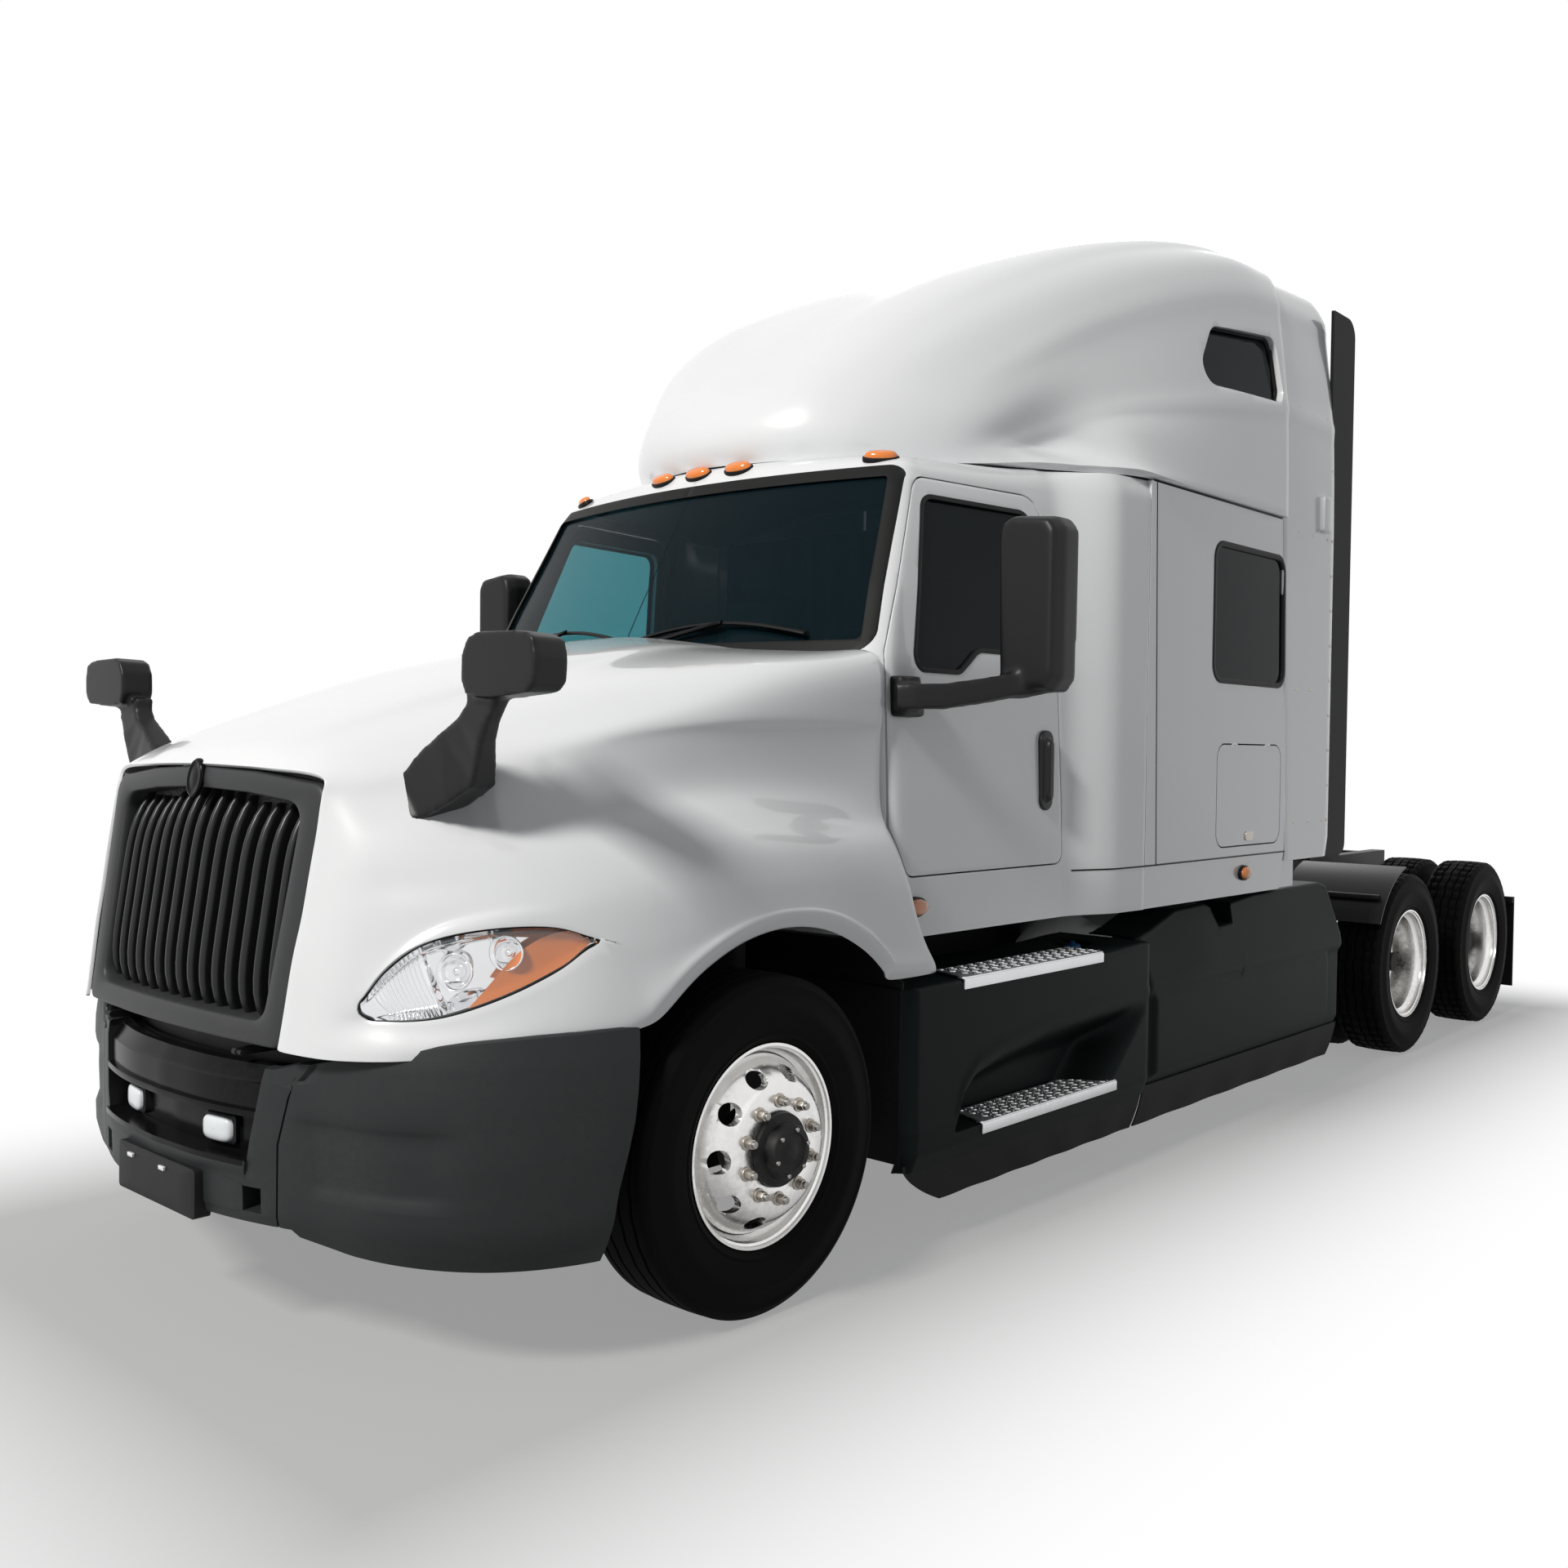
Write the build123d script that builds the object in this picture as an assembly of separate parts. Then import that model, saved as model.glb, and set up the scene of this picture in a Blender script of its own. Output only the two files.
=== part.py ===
"""Conventional sleeper tractor unit, 6x4: one solid or set of like solids per node, millimetres.

Row frame: +X forward, +Y to the driver's side, +Z up, origin on the ground under the middle of the
vehicle's length. Lengthways places are written as distances ahead of the front axle (negative is
behind it) and X() turns them into row coordinates.
"""

import os
from math import cos, pi, radians, sin

from build123d import *

# ---------------------------------------------------------------- driving dimensions (mm)
front_overhang = 1248  # front axle to the bumper's foremost point
wheelbase = 5930  # front axle to the middle of the rear tandem
tandem_spread = 1320  # between the two drive axles
tail_overhang = 640  # rear drive axle to the back of the mudflaps
overall_length = front_overhang + wheelbase + tandem_spread / 2 + tail_overhang
front_axle_x = overall_length / 2 - front_overhang

axle_height = 500  # equals the tyre's radius, so the tyres touch the ground
tyre_width = 276
tyre_bead_radius = 290
steer_track_half = 1062  # centre plane of a steer tyre
drive_outer_half = 1080  # centre plane of an outer drive tyre
dual_spacing = 343

rail_half = 430  # outer face of a frame rail
rail_height = 270
rail_flange = 88
rail_wall = 9
rail_top = 1015
rail_front = 960
rail_rear = -7020

cab_wall = 46
door_wall = 62
door_gap = 6
glass_thick = 7
glass_inset = 9
glass_gap = 0.6
sleeper_half = 1220
sleeper_front = -2170
sleeper_back = -3720
sleeper_seam_z = 2737
sill_z = 1030
floor_z = 1215
panel_seam = -3500  # where the roof and sleeper sides meet the side extenders
extender_rear = -4015
rubber_rear = -4285
hood_wall = 12
hood_gap = 14
running_gap = 0.05  # radial clearance of a pin or spindle in its bore
seat_gap = 0.3  # clearance between pieces that sit against each other


def X(ahead):
    """Row x of a place given as millimetres ahead of the front axle."""
    return front_axle_x + ahead


# ---------------------------------------------------------------- small builders
def block(x0, x1, y0, y1, z0, z1):
    """Box between two corners; x values are distances ahead of the front axle."""
    size = (abs(x1 - x0), abs(y1 - y0), abs(z1 - z0))
    return Pos(X((x0 + x1) / 2), (y0 + y1) / 2, (z0 + z1) / 2) * Box(*size)


def rod_y(ahead, z, radius, y0, y1):
    """Cylinder along Y."""
    return Pos(X(ahead), (y0 + y1) / 2, z) * Rot(90, 0, 0) * Cylinder(radius, abs(y1 - y0))


def rod_x(x0, x1, y, z, radius):
    """Cylinder along X."""
    return Pos(X((x0 + x1) / 2), y, z) * Rot(0, 90, 0) * Cylinder(radius, abs(x1 - x0))


def rod_z(ahead, y, radius, z0, z1):
    """Cylinder along Z."""
    return Pos(X(ahead), y, (z0 + z1) / 2) * Cylinder(radius, abs(z1 - z0))


def mirrored(shape):
    """The same shape on the other side of the vehicle."""
    return mirror(shape, about=Plane.XZ)


def pair(shape):
    """A shape and its mirror image, as separate solids in one compound."""
    return Compound([*shape.solids(), *mirrored(shape).solids()])


def group(*shapes):
    """Several shapes as separate solids in one compound."""
    return Compound([solid for shape in shapes for solid in shape.solids()])


def outline_y(points, radii, y0, y1, grow=0):
    """Prism along Y from a side-view outline of (ahead, z) points with rounded corners."""
    path = [(X(a), y0, z) for a, z in points]
    face = Face(Wire(FilletPolyline(*path, radius=radii, close=True).edges()))
    if grow:
        face = offset(face, amount=grow).face()
    return extrude(face, amount=abs(y1 - y0), dir=(0, 1 if y1 > y0 else -1, 0))


def outline_x(points, radii, x0, x1, grow=0):
    """Prism along X from a front-view outline of (y, z) points with rounded corners."""
    path = [(X(x0), y, z) for y, z in points]
    face = Face(Wire(FilletPolyline(*path, radius=radii, close=True).edges()))
    if grow:
        face = offset(face, amount=grow).face()
    return extrude(face, amount=abs(x1 - x0), dir=(1 if x1 > x0 else -1, 0, 0))


def sharp_y(points, y0, y1):
    """Prism along Y from a side-view outline with sharp corners."""
    face = Face(Wire(Polyline([(X(a), y0, z) for a, z in points], close=True).edges()))
    return extrude(face, amount=abs(y1 - y0), dir=(0, 1 if y1 > y0 else -1, 0))


def sharp_x(points, x0, x1):
    """Prism along X from a front-view outline with sharp corners."""
    face = Face(Wire(Polyline([(X(x0), y, z) for y, z in points], close=True).edges()))
    return extrude(face, amount=abs(x1 - x0), dir=(1 if x1 > x0 else -1, 0, 0))


# ---------------------------------------------------------------- cab: level sections, hollow
# z, windshield centre, front corner, corner half width, half width behind the door
CAB_LEVELS = [
    (sill_z, -630, -650, 1120, 1130),
    (1950, -430, -640, 1078, 1110),
    (2655, -850, -950, 930, 1035),
    (2735, -925, -1055, 800, 900),
]
door_rear = -1700


def cab_section(z, centre, corner, half_front, half_rear, inset):
    """One level section of the cab, a bowed front and straight sides that flare to the sleeper."""
    flare = sleeper_half - inset if z <= CAB_LEVELS[2][0] else half_rear + 110 - inset
    yf, yr = half_front - inset, half_rear - inset
    xc, xf = X(corner - inset), X(centre - inset)
    xr, xs = X(door_rear), X(sleeper_front)
    front = ThreePointArc((xc, -yf, z), (xf, 0, z), (xc, yf, z))
    left = [(xc, yf, z), (xr, yr, z), (xs, flare, z)]
    back = Polyline([*left, *[(x, -y, height) for x, y, height in reversed(left)]])
    return Face(Wire([*front.edges(), *back.edges()]))


def cab_body(inset=0):
    """The cab as a solid, drawn in by inset on its front and sides and, if inset, at the roof."""
    levels = [list(row) for row in CAB_LEVELS]
    levels[-1][0] -= inset
    levels[-2][0] -= inset / 2
    return loft([cab_section(*row, inset) for row in levels], ruled=True)


door_outline = [(-662, 1400), (-662, 1962), (-985, 2618), (-1640, 2618), (-1700, 1232), (-745, 1232)]
door_radii = [60, 90, 90, 90, 40, 40]
window_outline = [(-800, 1925), (-1005, 2548), (-1575, 2548), (-1610, 2010), (-1180, 2010), (-1060, 1925)]
window_radii = [45, 70, 60, 50, 90, 60]
windshield_outline = [(-905, 2010), (905, 2010), (800, 2600), (-800, 2600)]
windshield_radii = [70, 70, 60, 60]
side_out = 1400  # well outside the skin
door_inner_y = 860  # the doorway is cut no deeper than this
door_hinge_ahead, door_hinge_y = -672, 1106
DOOR_HINGES = (1440, 1610)  # heights of the door's two hinges
door_pin_radius = 4
hinge_barrel_radius = 8
hinge_barrel_half = 14
hinge_pocket_half = 34


def door_side_only(inset):
    """The cab's inside moved forward, which takes the front wall away and leaves the side wall."""
    return Pos(200, 0, 0) * cab_body(inset)


def hinge_lugs(z):
    """Cab half of a door hinge: a lug above and below the door's barrel, and the pin through them."""
    ahead, y, r = door_hinge_ahead, door_hinge_y, hinge_barrel_radius
    lugs = rod_z(ahead, y, door_pin_radius, z - 28, z + 28)
    for low in (z - 28, z + 16):
        lugs += rod_z(ahead, y, r, low, low + 12) + block(ahead, ahead + 18, y - 16, y + r, low, low + 12)
    return lugs


def make_cab():
    """Cab shell with its door and windshield openings, the floor and the fixed halves of the door hinges."""
    shell = cab_body(0) - cab_body(cab_wall)
    shell -= block(sleeper_front - 10, door_rear - 250, -1090, 1090, floor_z + 20, 2640)
    doorway = outline_y(door_outline, door_radii, door_inner_y, side_out) - door_side_only(door_wall + door_gap)
    for z in DOOR_HINGES:
        shell += hinge_lugs(z) + mirrored(hinge_lugs(z))
        doorway -= hinge_lugs(z)
    shell -= doorway
    shell -= mirrored(doorway)
    shell -= outline_x(windshield_outline, windshield_radii, -1150, -300)
    floor = cab_body(cab_wall) & block(sleeper_front, -560, -1300, 1300, floor_z - 40, floor_z)
    return shell + floor


def skin(body, outer_inset, thickness):
    """The slice of a body between two insets, used for glass and door panels."""
    return body(outer_inset) - body(outer_inset + thickness)


def make_windshield():
    """Bowed windshield glass, seated in the cab's opening."""
    pane = outline_x(windshield_outline, windshield_radii, -1150, -300, -glass_gap)
    return skin(cab_body, glass_inset, glass_thick) & pane


def make_door():
    """Left door: full wall thickness, window cut out, with the barrels of its two hinges."""
    panel = outline_y(door_outline, door_radii, door_inner_y, side_out, -door_gap)
    door = (skin(cab_body, 0, door_wall) - door_side_only(door_wall)) & panel
    door -= outline_y(window_outline, window_radii, 700, side_out)
    ahead, y, half = door_hinge_ahead, door_hinge_y, hinge_barrel_half
    for z in DOOR_HINGES:
        door -= block(ahead - 12, ahead + 20, y - 26, y + 30, z - hinge_pocket_half, z + hinge_pocket_half)
        door += block(ahead - 30, ahead, y - 16, y - 4, z - half, z + half)
        door += rod_z(ahead, y, hinge_barrel_radius, z - half, z + half)
        door -= rod_z(ahead, y, door_pin_radius + running_gap, z - half - 1, z + half + 1)
    return door


def make_door_glass():
    """Left door glass, seated in the door's window."""
    pane = outline_y(window_outline, window_radii, 700, side_out, -glass_gap)
    return skin(cab_body, glass_inset, glass_thick) & pane


# ---------------------------------------------------------------- sleeper box and roof fairing
lower_window = [(-2742, 1972), (-2742, 2558), (-3445, 2558), (-3465, 1972)]
upper_window = [(-2640, 3215), (-2800, 3480), (-3330, 3530), (-3375, 3245)]
luggage_outline = [(-2790, 1248), (-2790, 1702), (-3450, 1702), (-3450, 1248)]
sleeper_wall = 46
luggage_hinge_y, luggage_hinge_z = 1221, 1697.5
LUGGAGE_HINGES = (-2950, -3290)
luggage_pin_radius = 2

# ahead, half width at the base, half width at the shoulder, shoulder z, crown z, shoulder radius
FAIRING_STATIONS = [
    (-905, 520, 470, 2890, 2925, 40),
    (-1130, 800, 690, 3110, 3215, 110),
    (-1560, 985, 850, 3370, 3500, 150),
    (-2170, 1120, 985, 3640, 3760, 160),
    (-2900, 1205, 1085, 3850, 3960, 170),
    (panel_seam, 1220, 1130, 3845, 3950, 170),
]


def fairing_section(ahead, base, shoulder, shoulder_z, crown, radius, inset, low):
    """One cross-section of the roof fairing: sloped sides, rounded shoulders and a crowned top."""
    b, s, zs, zc = base - inset, shoulder - inset, shoulder_z - inset, crown - inset
    x, r = X(ahead), max(radius - inset, 12)
    sides = Polyline([(x, s, zs), (x, b, low), (x, -b, low), (x, -s, zs)])
    crown_arc = ThreePointArc((x, -s, zs), (x, 0, zc), (x, s, zs))
    face = Face(Wire([*sides.edges(), *crown_arc.edges()]))
    corners = [v for v in face.vertices() if v.Z > low + 20]
    return face.fillet_2d(r, corners)


def fairing_body(inset=0):
    """The roof fairing as a solid, drawn in by inset."""
    rows = [list(row) for row in FAIRING_STATIONS]
    rows[0][0] -= inset
    rows[-1][0] += inset
    low = sleeper_seam_z + seat_gap
    return loft([fairing_section(*row, inset, low) for row in rows])


def rear_outline(inset, low):
    """The fairing's last cross-section carried down to a given height."""
    _, base, shoulder, shoulder_z, crown, radius = FAIRING_STATIONS[-1]
    b, s, zs, zc = base - inset, shoulder - inset, shoulder_z - inset, crown - inset
    x = X(panel_seam)
    left = [(x, s, zs), (x, b, sleeper_seam_z), (x, b, low)]
    sides = Polyline([*left, *[(x, -y, z) for _, y, z in reversed(left)]])
    crown_arc = ThreePointArc((x, -s, zs), (x, 0, zc), (x, s, zs))
    face = Face(Wire([*sides.edges(), *crown_arc.edges()]))
    corners = [v for v in face.vertices() if v.Z > sleeper_seam_z + 100]
    return face.fillet_2d(max(radius - inset, 12), corners)


def sleeper_body(inset=0, grow_front=0):
    """The sleeper's box below the roof seam, narrower behind the seam to sit inside the extenders."""
    low, high = (floor_z, sleeper_seam_z + 10) if inset else (sill_z, sleeper_seam_z)
    front = sleeper_front + (grow_front if grow_front else -seat_gap)
    h, n = sleeper_half - inset, sleeper_half - sleeper_wall - seat_gap - inset
    tuck = 0 if inset else 20
    wide = [(h - tuck, low), (h, floor_z), (h, high), (-h, high), (-h, floor_z), (-h + tuck, low)]
    if inset:
        wide = [(h, low), (h, high), (-h, high), (-h, low)]
    narrow = [(n, low), (n, high), (-n, high), (-n, low)]
    return sharp_x(wide, panel_seam + inset, front) + sharp_x(narrow, sleeper_back + inset, panel_seam + inset)


def make_sleeper():
    """Sleeper box, open to the cab and to the roof, with its windows and luggage door openings."""
    box = sleeper_body() - sleeper_body(sleeper_wall, 50)
    rim = sleeper_half - 70
    box -= block(sleeper_back + sleeper_wall, sleeper_front - sleeper_wall, -rim, rim, sill_z - 1, floor_z - 40)
    window = outline_y(lower_window, 70, 1000, side_out)
    hatch = outline_y(luggage_outline, 70, 1000, side_out)
    for cut in (window, hatch):
        box -= cut
        box -= mirrored(cut)
    y, z = luggage_hinge_y, luggage_hinge_z
    for ahead in LUGGAGE_HINGES:
        lug = block(ahead - 30, ahead - 6, y - 7, y, z, z + 7) + rod_x(ahead - 30, ahead - 6, y, z, 4)
        lug += rod_x(ahead - 10, ahead + 18, y, z, luggage_pin_radius)
        box += lug + mirrored(lug)
    return box


def make_roof_fairing():
    """Hollow roof fairing over cab and sleeper, closed at the back, with the upper side windows."""
    shell = fairing_body() - fairing_body(sleeper_wall)
    shell -= block(sleeper_front - 30, sleeper_back - 500, -1300, 1300, 2000, sleeper_seam_z + seat_gap)
    window = outline_y(upper_window, 60, 900, side_out)
    shell -= window
    shell -= mirrored(window)
    return shell


def make_sleeper_glass():
    """Upper and lower side windows of the sleeper."""
    low = skin(sleeper_body, glass_inset, glass_thick) & outline_y(lower_window, 70, 1000, side_out, -glass_gap)
    high = skin(fairing_body, glass_inset, glass_thick) & outline_y(upper_window, 60, 900, side_out, -glass_gap)
    return pair(group(low, high))


def make_luggage_door():
    """Left luggage compartment door, hinged along its top edge."""
    panel = outline_y(luggage_outline, 70, 1000, side_out, -door_gap)
    door = block(sleeper_back, sleeper_front, sleeper_half - sleeper_wall, sleeper_half, sill_z, 2500) & panel
    y, z = luggage_hinge_y, luggage_hinge_z
    for ahead in LUGGAGE_HINGES:
        door -= rod_x(ahead - 32, ahead - 4, y, z, 4 + seat_gap)
        door += block(ahead - 4, ahead + 18, y - 7, y, z - 9, z) + rod_x(ahead - 4, ahead + 18, y, z, 4)
        door -= rod_x(ahead - 12, ahead + 20, y, z, luggage_pin_radius + running_gap)
    return door


def make_extenders():
    """Side extenders behind the sleeper, with the hoop that carries on the roof."""
    low = 1160
    outer = rear_outline(0, low)
    inner = rear_outline(sleeper_wall, low - 20)
    depth = panel_seam - extender_rear
    hoop = extrude(outer, amount=depth, dir=(-1, 0, 0)) - extrude(inner, amount=depth, dir=(-1, 0, 0))
    return Pos(-seat_gap, 0, 0) * hoop


def make_extender_rubbers():
    """Flexible flaps behind the extenders."""
    front, low, high = extender_rear - seat_gap, 1160, 3830
    outline = [(front, low), (rubber_rear, low), (rubber_rear, high), (front, high)]
    return pair(outline_y(outline, [1, 60, 90, 1], 1186, 1202))


# ---------------------------------------------------------------- hood
# z, front edge, half width of the flat front, ahead and half width where the corner arc ends
hood_side = 1190
HOOD_LOWER = [
    (860, 1195, 575, 430, 1190),
    (1200, 1150, 590, 400, 1180),
    (1500, 1095, 560, 250, 1130),
]
# ahead, half width low, half width at the shoulder, shoulder z, crown z, shoulder radius
HOOD_UPPER = [
    (1060, 700, 610, 1540, 1590, 60),
    (850, 830, 740, 1600, 1680, 80),
    (300, 1010, 930, 1780, 1880, 90),
    (-620, 1110, 1065, 1930, 2060, 90),
]
hood_rear = -640
fender_rear = -800
arch_ahead, arch_z, arch_radius = -60, 465, 676
hood_bottom = 860
FENDER_CUT = [(-500, 800), (-551, 930), (-797, 926), (-640, 1400), (-640, 2200), (-1000, 2200), (-1000, 800)]


def hood_plan(z, front, half, arc_ahead, arc_half, inset):
    """Level section of the hood's lower body: flat front, arced corners and straight sides."""
    f, h, s = X(front - inset), half - inset / 2, arc_half - inset
    xa, xr = X(arc_ahead), X(fender_rear - 40)
    mid = (X((front + arc_ahead) / 2 + 110 - inset * 0.7), (half + arc_half) / 2 + 75 - inset * 0.7)
    left = ThreePointArc((xa, s, z), (mid[0], mid[1], z), (f, h, z))
    right = ThreePointArc((f, -h, z), (mid[0], -mid[1], z), (xa, -s, z))
    front_edge = Line((f, h, z), (f, -h, z))
    back = Polyline([(xa, -s, z), (xr, -s, z), (xr, s, z), (xa, s, z)])
    return Face(Wire([*left.edges(), *front_edge.edges(), *right.edges(), *back.edges()]))


def hood_arch(ahead, base, shoulder, shoulder_z, crown, radius, inset):
    """Cross-section of the hood's upper body with rounded shoulders and a crowned top."""
    b, s, zs, zc = base - inset, shoulder - inset, shoulder_z - inset, crown - inset
    x, low = X(ahead), hood_bottom + 100
    sides = Polyline([(x, s, zs), (x, b, 1400), (x, b, low), (x, -b, low), (x, -b, 1400), (x, -s, zs)])
    crown_arc = ThreePointArc((x, -s, zs), (x, 0, zc), (x, s, zs))
    face = Face(Wire([*sides.edges(), *crown_arc.edges()]))
    return face.fillet_2d(max(radius - inset, 12), [v for v in face.vertices() if v.Z > 1450])


def hood_body(inset=0):
    """The hood as a solid, drawn in by inset."""
    lower = [list(row) for row in HOOD_LOWER]
    upper = [list(row) for row in HOOD_UPPER]
    lower[0][0] -= 60 if inset else 0
    lower[-1][0] -= inset
    upper[0][0] -= inset
    upper[-1][0] -= 60 if inset else 0
    body = loft([hood_plan(*row, inset) for row in lower], ruled=True)
    return body + loft([hood_arch(*row, inset) for row in upper])


# y, z of the grille opening and of the surround's outer edge
grille_opening = [(-478, 925), (478, 925), (500, 1505), (-500, 1505)]
surround_outline = [(-572, 864), (572, 864), (592, 1566), (-592, 1566)]


# ---------------------------------------------------------------- grille, lamps and hood hinge
grille_top = 1566
grille_bottom = 864
grille_lean = (1195 - 1088) / (1566 - 864)  # how far the grille leans back for each unit of height
grille_bow = 42
grille_half = 592
BAR_PITCH, BAR_COUNT, BAR_HALF = 66, 15, 11
boss_z = 1535
hinge_ahead, hinge_z, hinge_y = 1212, 836, 405
hinge_pin_radius = 7
headlamp_outline = [(1130, 912), (1085, 1012), (590, 1152), (578, 1092), (800, 985), (1000, 900)]
headlamp_radii = [30, 30, 20, 20, 60, 40]


def grille_slab(front, thickness):
    """Bowed, leaning slab that the grille's pieces are cut from."""
    z0, z1 = grille_bottom - 40, grille_top + 60
    lean = grille_lean * (z0 - grille_bottom)
    x1 = X(front) - lean
    half = grille_half + 20
    outer = ThreePointArc((x1, half, z0), (x1 + grille_bow, 0, z0), (x1, -half, z0))
    x0 = x1 - thickness
    inner = ThreePointArc((x0, -half, z0), (x0 + grille_bow, 0, z0), (x0, half, z0))
    ends = [Line((x1, -half, z0), (x0, -half, z0)), Line((x0, half, z0), (x1, half, z0))]
    face = Face(Wire([*outer.edges(), *ends[0].edges(), *inner.edges(), *ends[1].edges()]))
    return extrude(face, amount=(z1 - z0) * (1 + grille_lean**2) ** 0.5, dir=(-grille_lean, 0, 1))


def make_grille():
    """Grille surround, its upright bars and the plain boss at the top."""
    frame = outline_x(surround_outline, 40, 900, 1400) - outline_x(grille_opening, 50, 800, 1500)
    ring = grille_slab(1196, 34) & frame
    bars = grille_slab(1184, 26) & outline_x(grille_opening, 50, 900, 1400, 4)
    first = -(BAR_COUNT - 1) / 2 * BAR_PITCH
    middles = [first + i * BAR_PITCH for i in range(BAR_COUNT)]
    bars &= Compound([block(900, 1400, y - BAR_HALF, y + BAR_HALF, 900, 1540) for y in middles])
    oval = Plane((X(900), 0, boss_z), x_dir=(0, 1, 0), z_dir=(1, 0, 0)) * Ellipse(42, 28)
    boss = grille_slab(1200, 30) & extrude(oval, amount=500)
    lug = block(hinge_ahead - 22, hinge_ahead + 2, hinge_y - 9, hinge_y + 9, hinge_z, grille_bottom + 20)
    lug += rod_y(hinge_ahead, hinge_z, 12, hinge_y - 9, hinge_y + 9)
    lug -= rod_y(hinge_ahead, hinge_z, hinge_pin_radius + running_gap, 300, 500)
    return ring + bars + boss + lug + mirrored(lug)


def lamp_space(grow):
    """Side-view prism that the left headlamp occupies, grown by a gap."""
    return outline_y(headlamp_outline, headlamp_radii, 560, 1400, grow)


def make_headlamps():
    """Both headlamp units, wrapped round the hood's corners."""
    return pair((hood_body(4) - hood_body(64)) & lamp_space(-0.6))


def make_hood():
    """Tilting hood with fenders: arches, grille opening and lamp openings cut."""
    shell = hood_body() - hood_body(hood_wall)
    shell -= rod_y(arch_ahead, arch_z, arch_radius, -1400, 1400)
    shell -= sharp_y(FENDER_CUT, -1400, 1400)
    shell -= sharp_y([(1140, 864), (950, 905), (300, 935), (300, 700), (1140, 700)], -1400, 1400)
    shell -= cab_body(-hood_gap)
    shell -= outline_x(surround_outline, 40, 900, 1300, 0.6)
    shell -= block(1080, 1300, -560, 560, hood_bottom - 10, grille_bottom + 0.6)
    shell -= lamp_space(0)
    shell -= mirrored(lamp_space(0))
    return max(shell.solids(), key=lambda solid: solid.volume)


# y, z of the mirror's blade-shaped arm, from its foot on the hood up into the head
MIRROR_ARM = [
    (730, 1440), (735, 1560), (820, 1625), (930, 1800), (1010, 1860),
    (1040, 1830), (975, 1740), (880, 1560), (820, 1440),
]


def make_hood_mirrors():
    """Small mirrors on blade arms on the hood's shoulders."""
    head = outline_x([(1003, 1800), (1205, 1786), (1220, 1950), (1012, 1958)], 38, 826, 918)
    arm = outline_x(MIRROR_ARM, [5, 5, 40, 60, 10, 10, 60, 40, 5], 838, 900)
    foot = outline_y([(770, 1440), (770, 1560), (860, 1640), (975, 1560), (985, 1440)], 20, 700, 800)
    return pair((head + arm + foot) - hood_body(-seat_gap))


# ---------------------------------------------------------------- bumper
# z, inset of the plan at that height
BUMPER_LEVELS = [(318, 45), (420, 6), (600, 0), (760, 4), (886, 26)]
bumper_wall = 14
bumper_top = 812
lamp_tray = [(-431, 545), (431, 545), (462, 664), (-462, 664)]  # the recess that holds the fog lamps
tray_depth, tray_wall = 60, 12
fog_lamp_y, fog_lamp_z, fog_half_width, fog_half_height = 250, 605, 62, 38
tow_hole_y, tow_hole_z = 430, 450


def bumper_plan(z, inset):
    """Level section of the bumper: bowed front, arced corners and short straight sides."""
    y1, y2, x1, x2 = 620 - inset / 3, 1205 - inset, X(1135 - inset), X(640)
    front = ThreePointArc((x1, -y1, z), (X(1248 - inset), 0, z), (x1, y1, z))
    near = ThreePointArc((x1, y1, z), (X(965 - inset * 0.8), 1010 - inset * 0.8, z), (x2, y2, z))
    far = ThreePointArc((x2, -y2, z), (X(965 - inset * 0.8), -1010 + inset * 0.8, z), (x1, -y1, z))
    back = Polyline([(x2, y2, z), (X(400), y2, z), (X(400), -y2, z), (x2, -y2, z)])
    return Face(Wire([*front.edges(), *near.edges(), *back.edges(), *far.edges()]))


def bumper_body(inset=0):
    """The bumper as a solid, drawn in by inset."""
    rows = [list(row) for row in BUMPER_LEVELS]
    return loft([bumper_plan(z, i + inset) for z, i in rows], ruled=True)


def rectangle_x(y, z, half_width, half_height, radius):
    """Round-cornered rectangle seen from the front, as a prism through the bumper's face."""
    corners = [(y - half_width, z - half_height), (y + half_width, z - half_height)]
    corners += [(y + half_width, z + half_height), (y - half_width, z + half_height)]
    return outline_x(corners, radius, 1000, 1400)


def make_bumper():
    """Bumper shell in one piece, with the recess for the fog lamps, the tow holes and its two arms."""
    shell = bumper_body() - bumper_body(bumper_wall)
    shell -= sharp_y([(300, 200), (634, 200), (634, 316), (469, 900), (300, 900)], -1400, 1400)
    top = [(1400, bumper_top), (1120, bumper_top), (700, 880), (400, 886), (400, 1000), (1400, 1000)]
    shell -= sharp_y(top, -1400, 1400)
    recess = outline_x(lamp_tray, 24, 1000, 1400)
    around = outline_x(lamp_tray, 24, 1000, 1400, tray_wall)
    shell -= recess
    shell += skin(bumper_body, tray_depth, tray_wall) & around
    shell += skin(bumper_body, 4, tray_depth + tray_wall - 4) & (around - recess)
    for y in (-tow_hole_y, tow_hole_y):
        shell -= rectangle_x(y, tow_hole_z, 36, 33, 28)
    for y in (-390, 390):
        shell += block(rail_front + seat_gap, 1196, y - 25, y + 25, 775, 800)
    return shell


def make_fog_lamps():
    """Rectangular lamps standing in the bumper's recess."""
    housing = skin(bumper_body, 16, tray_depth - 16 - seat_gap)
    sides = (-fog_lamp_y, fog_lamp_y)
    return group(*[housing & rectangle_x(y, fog_lamp_z, fog_half_width, fog_half_height, 10) for y in sides])


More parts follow.
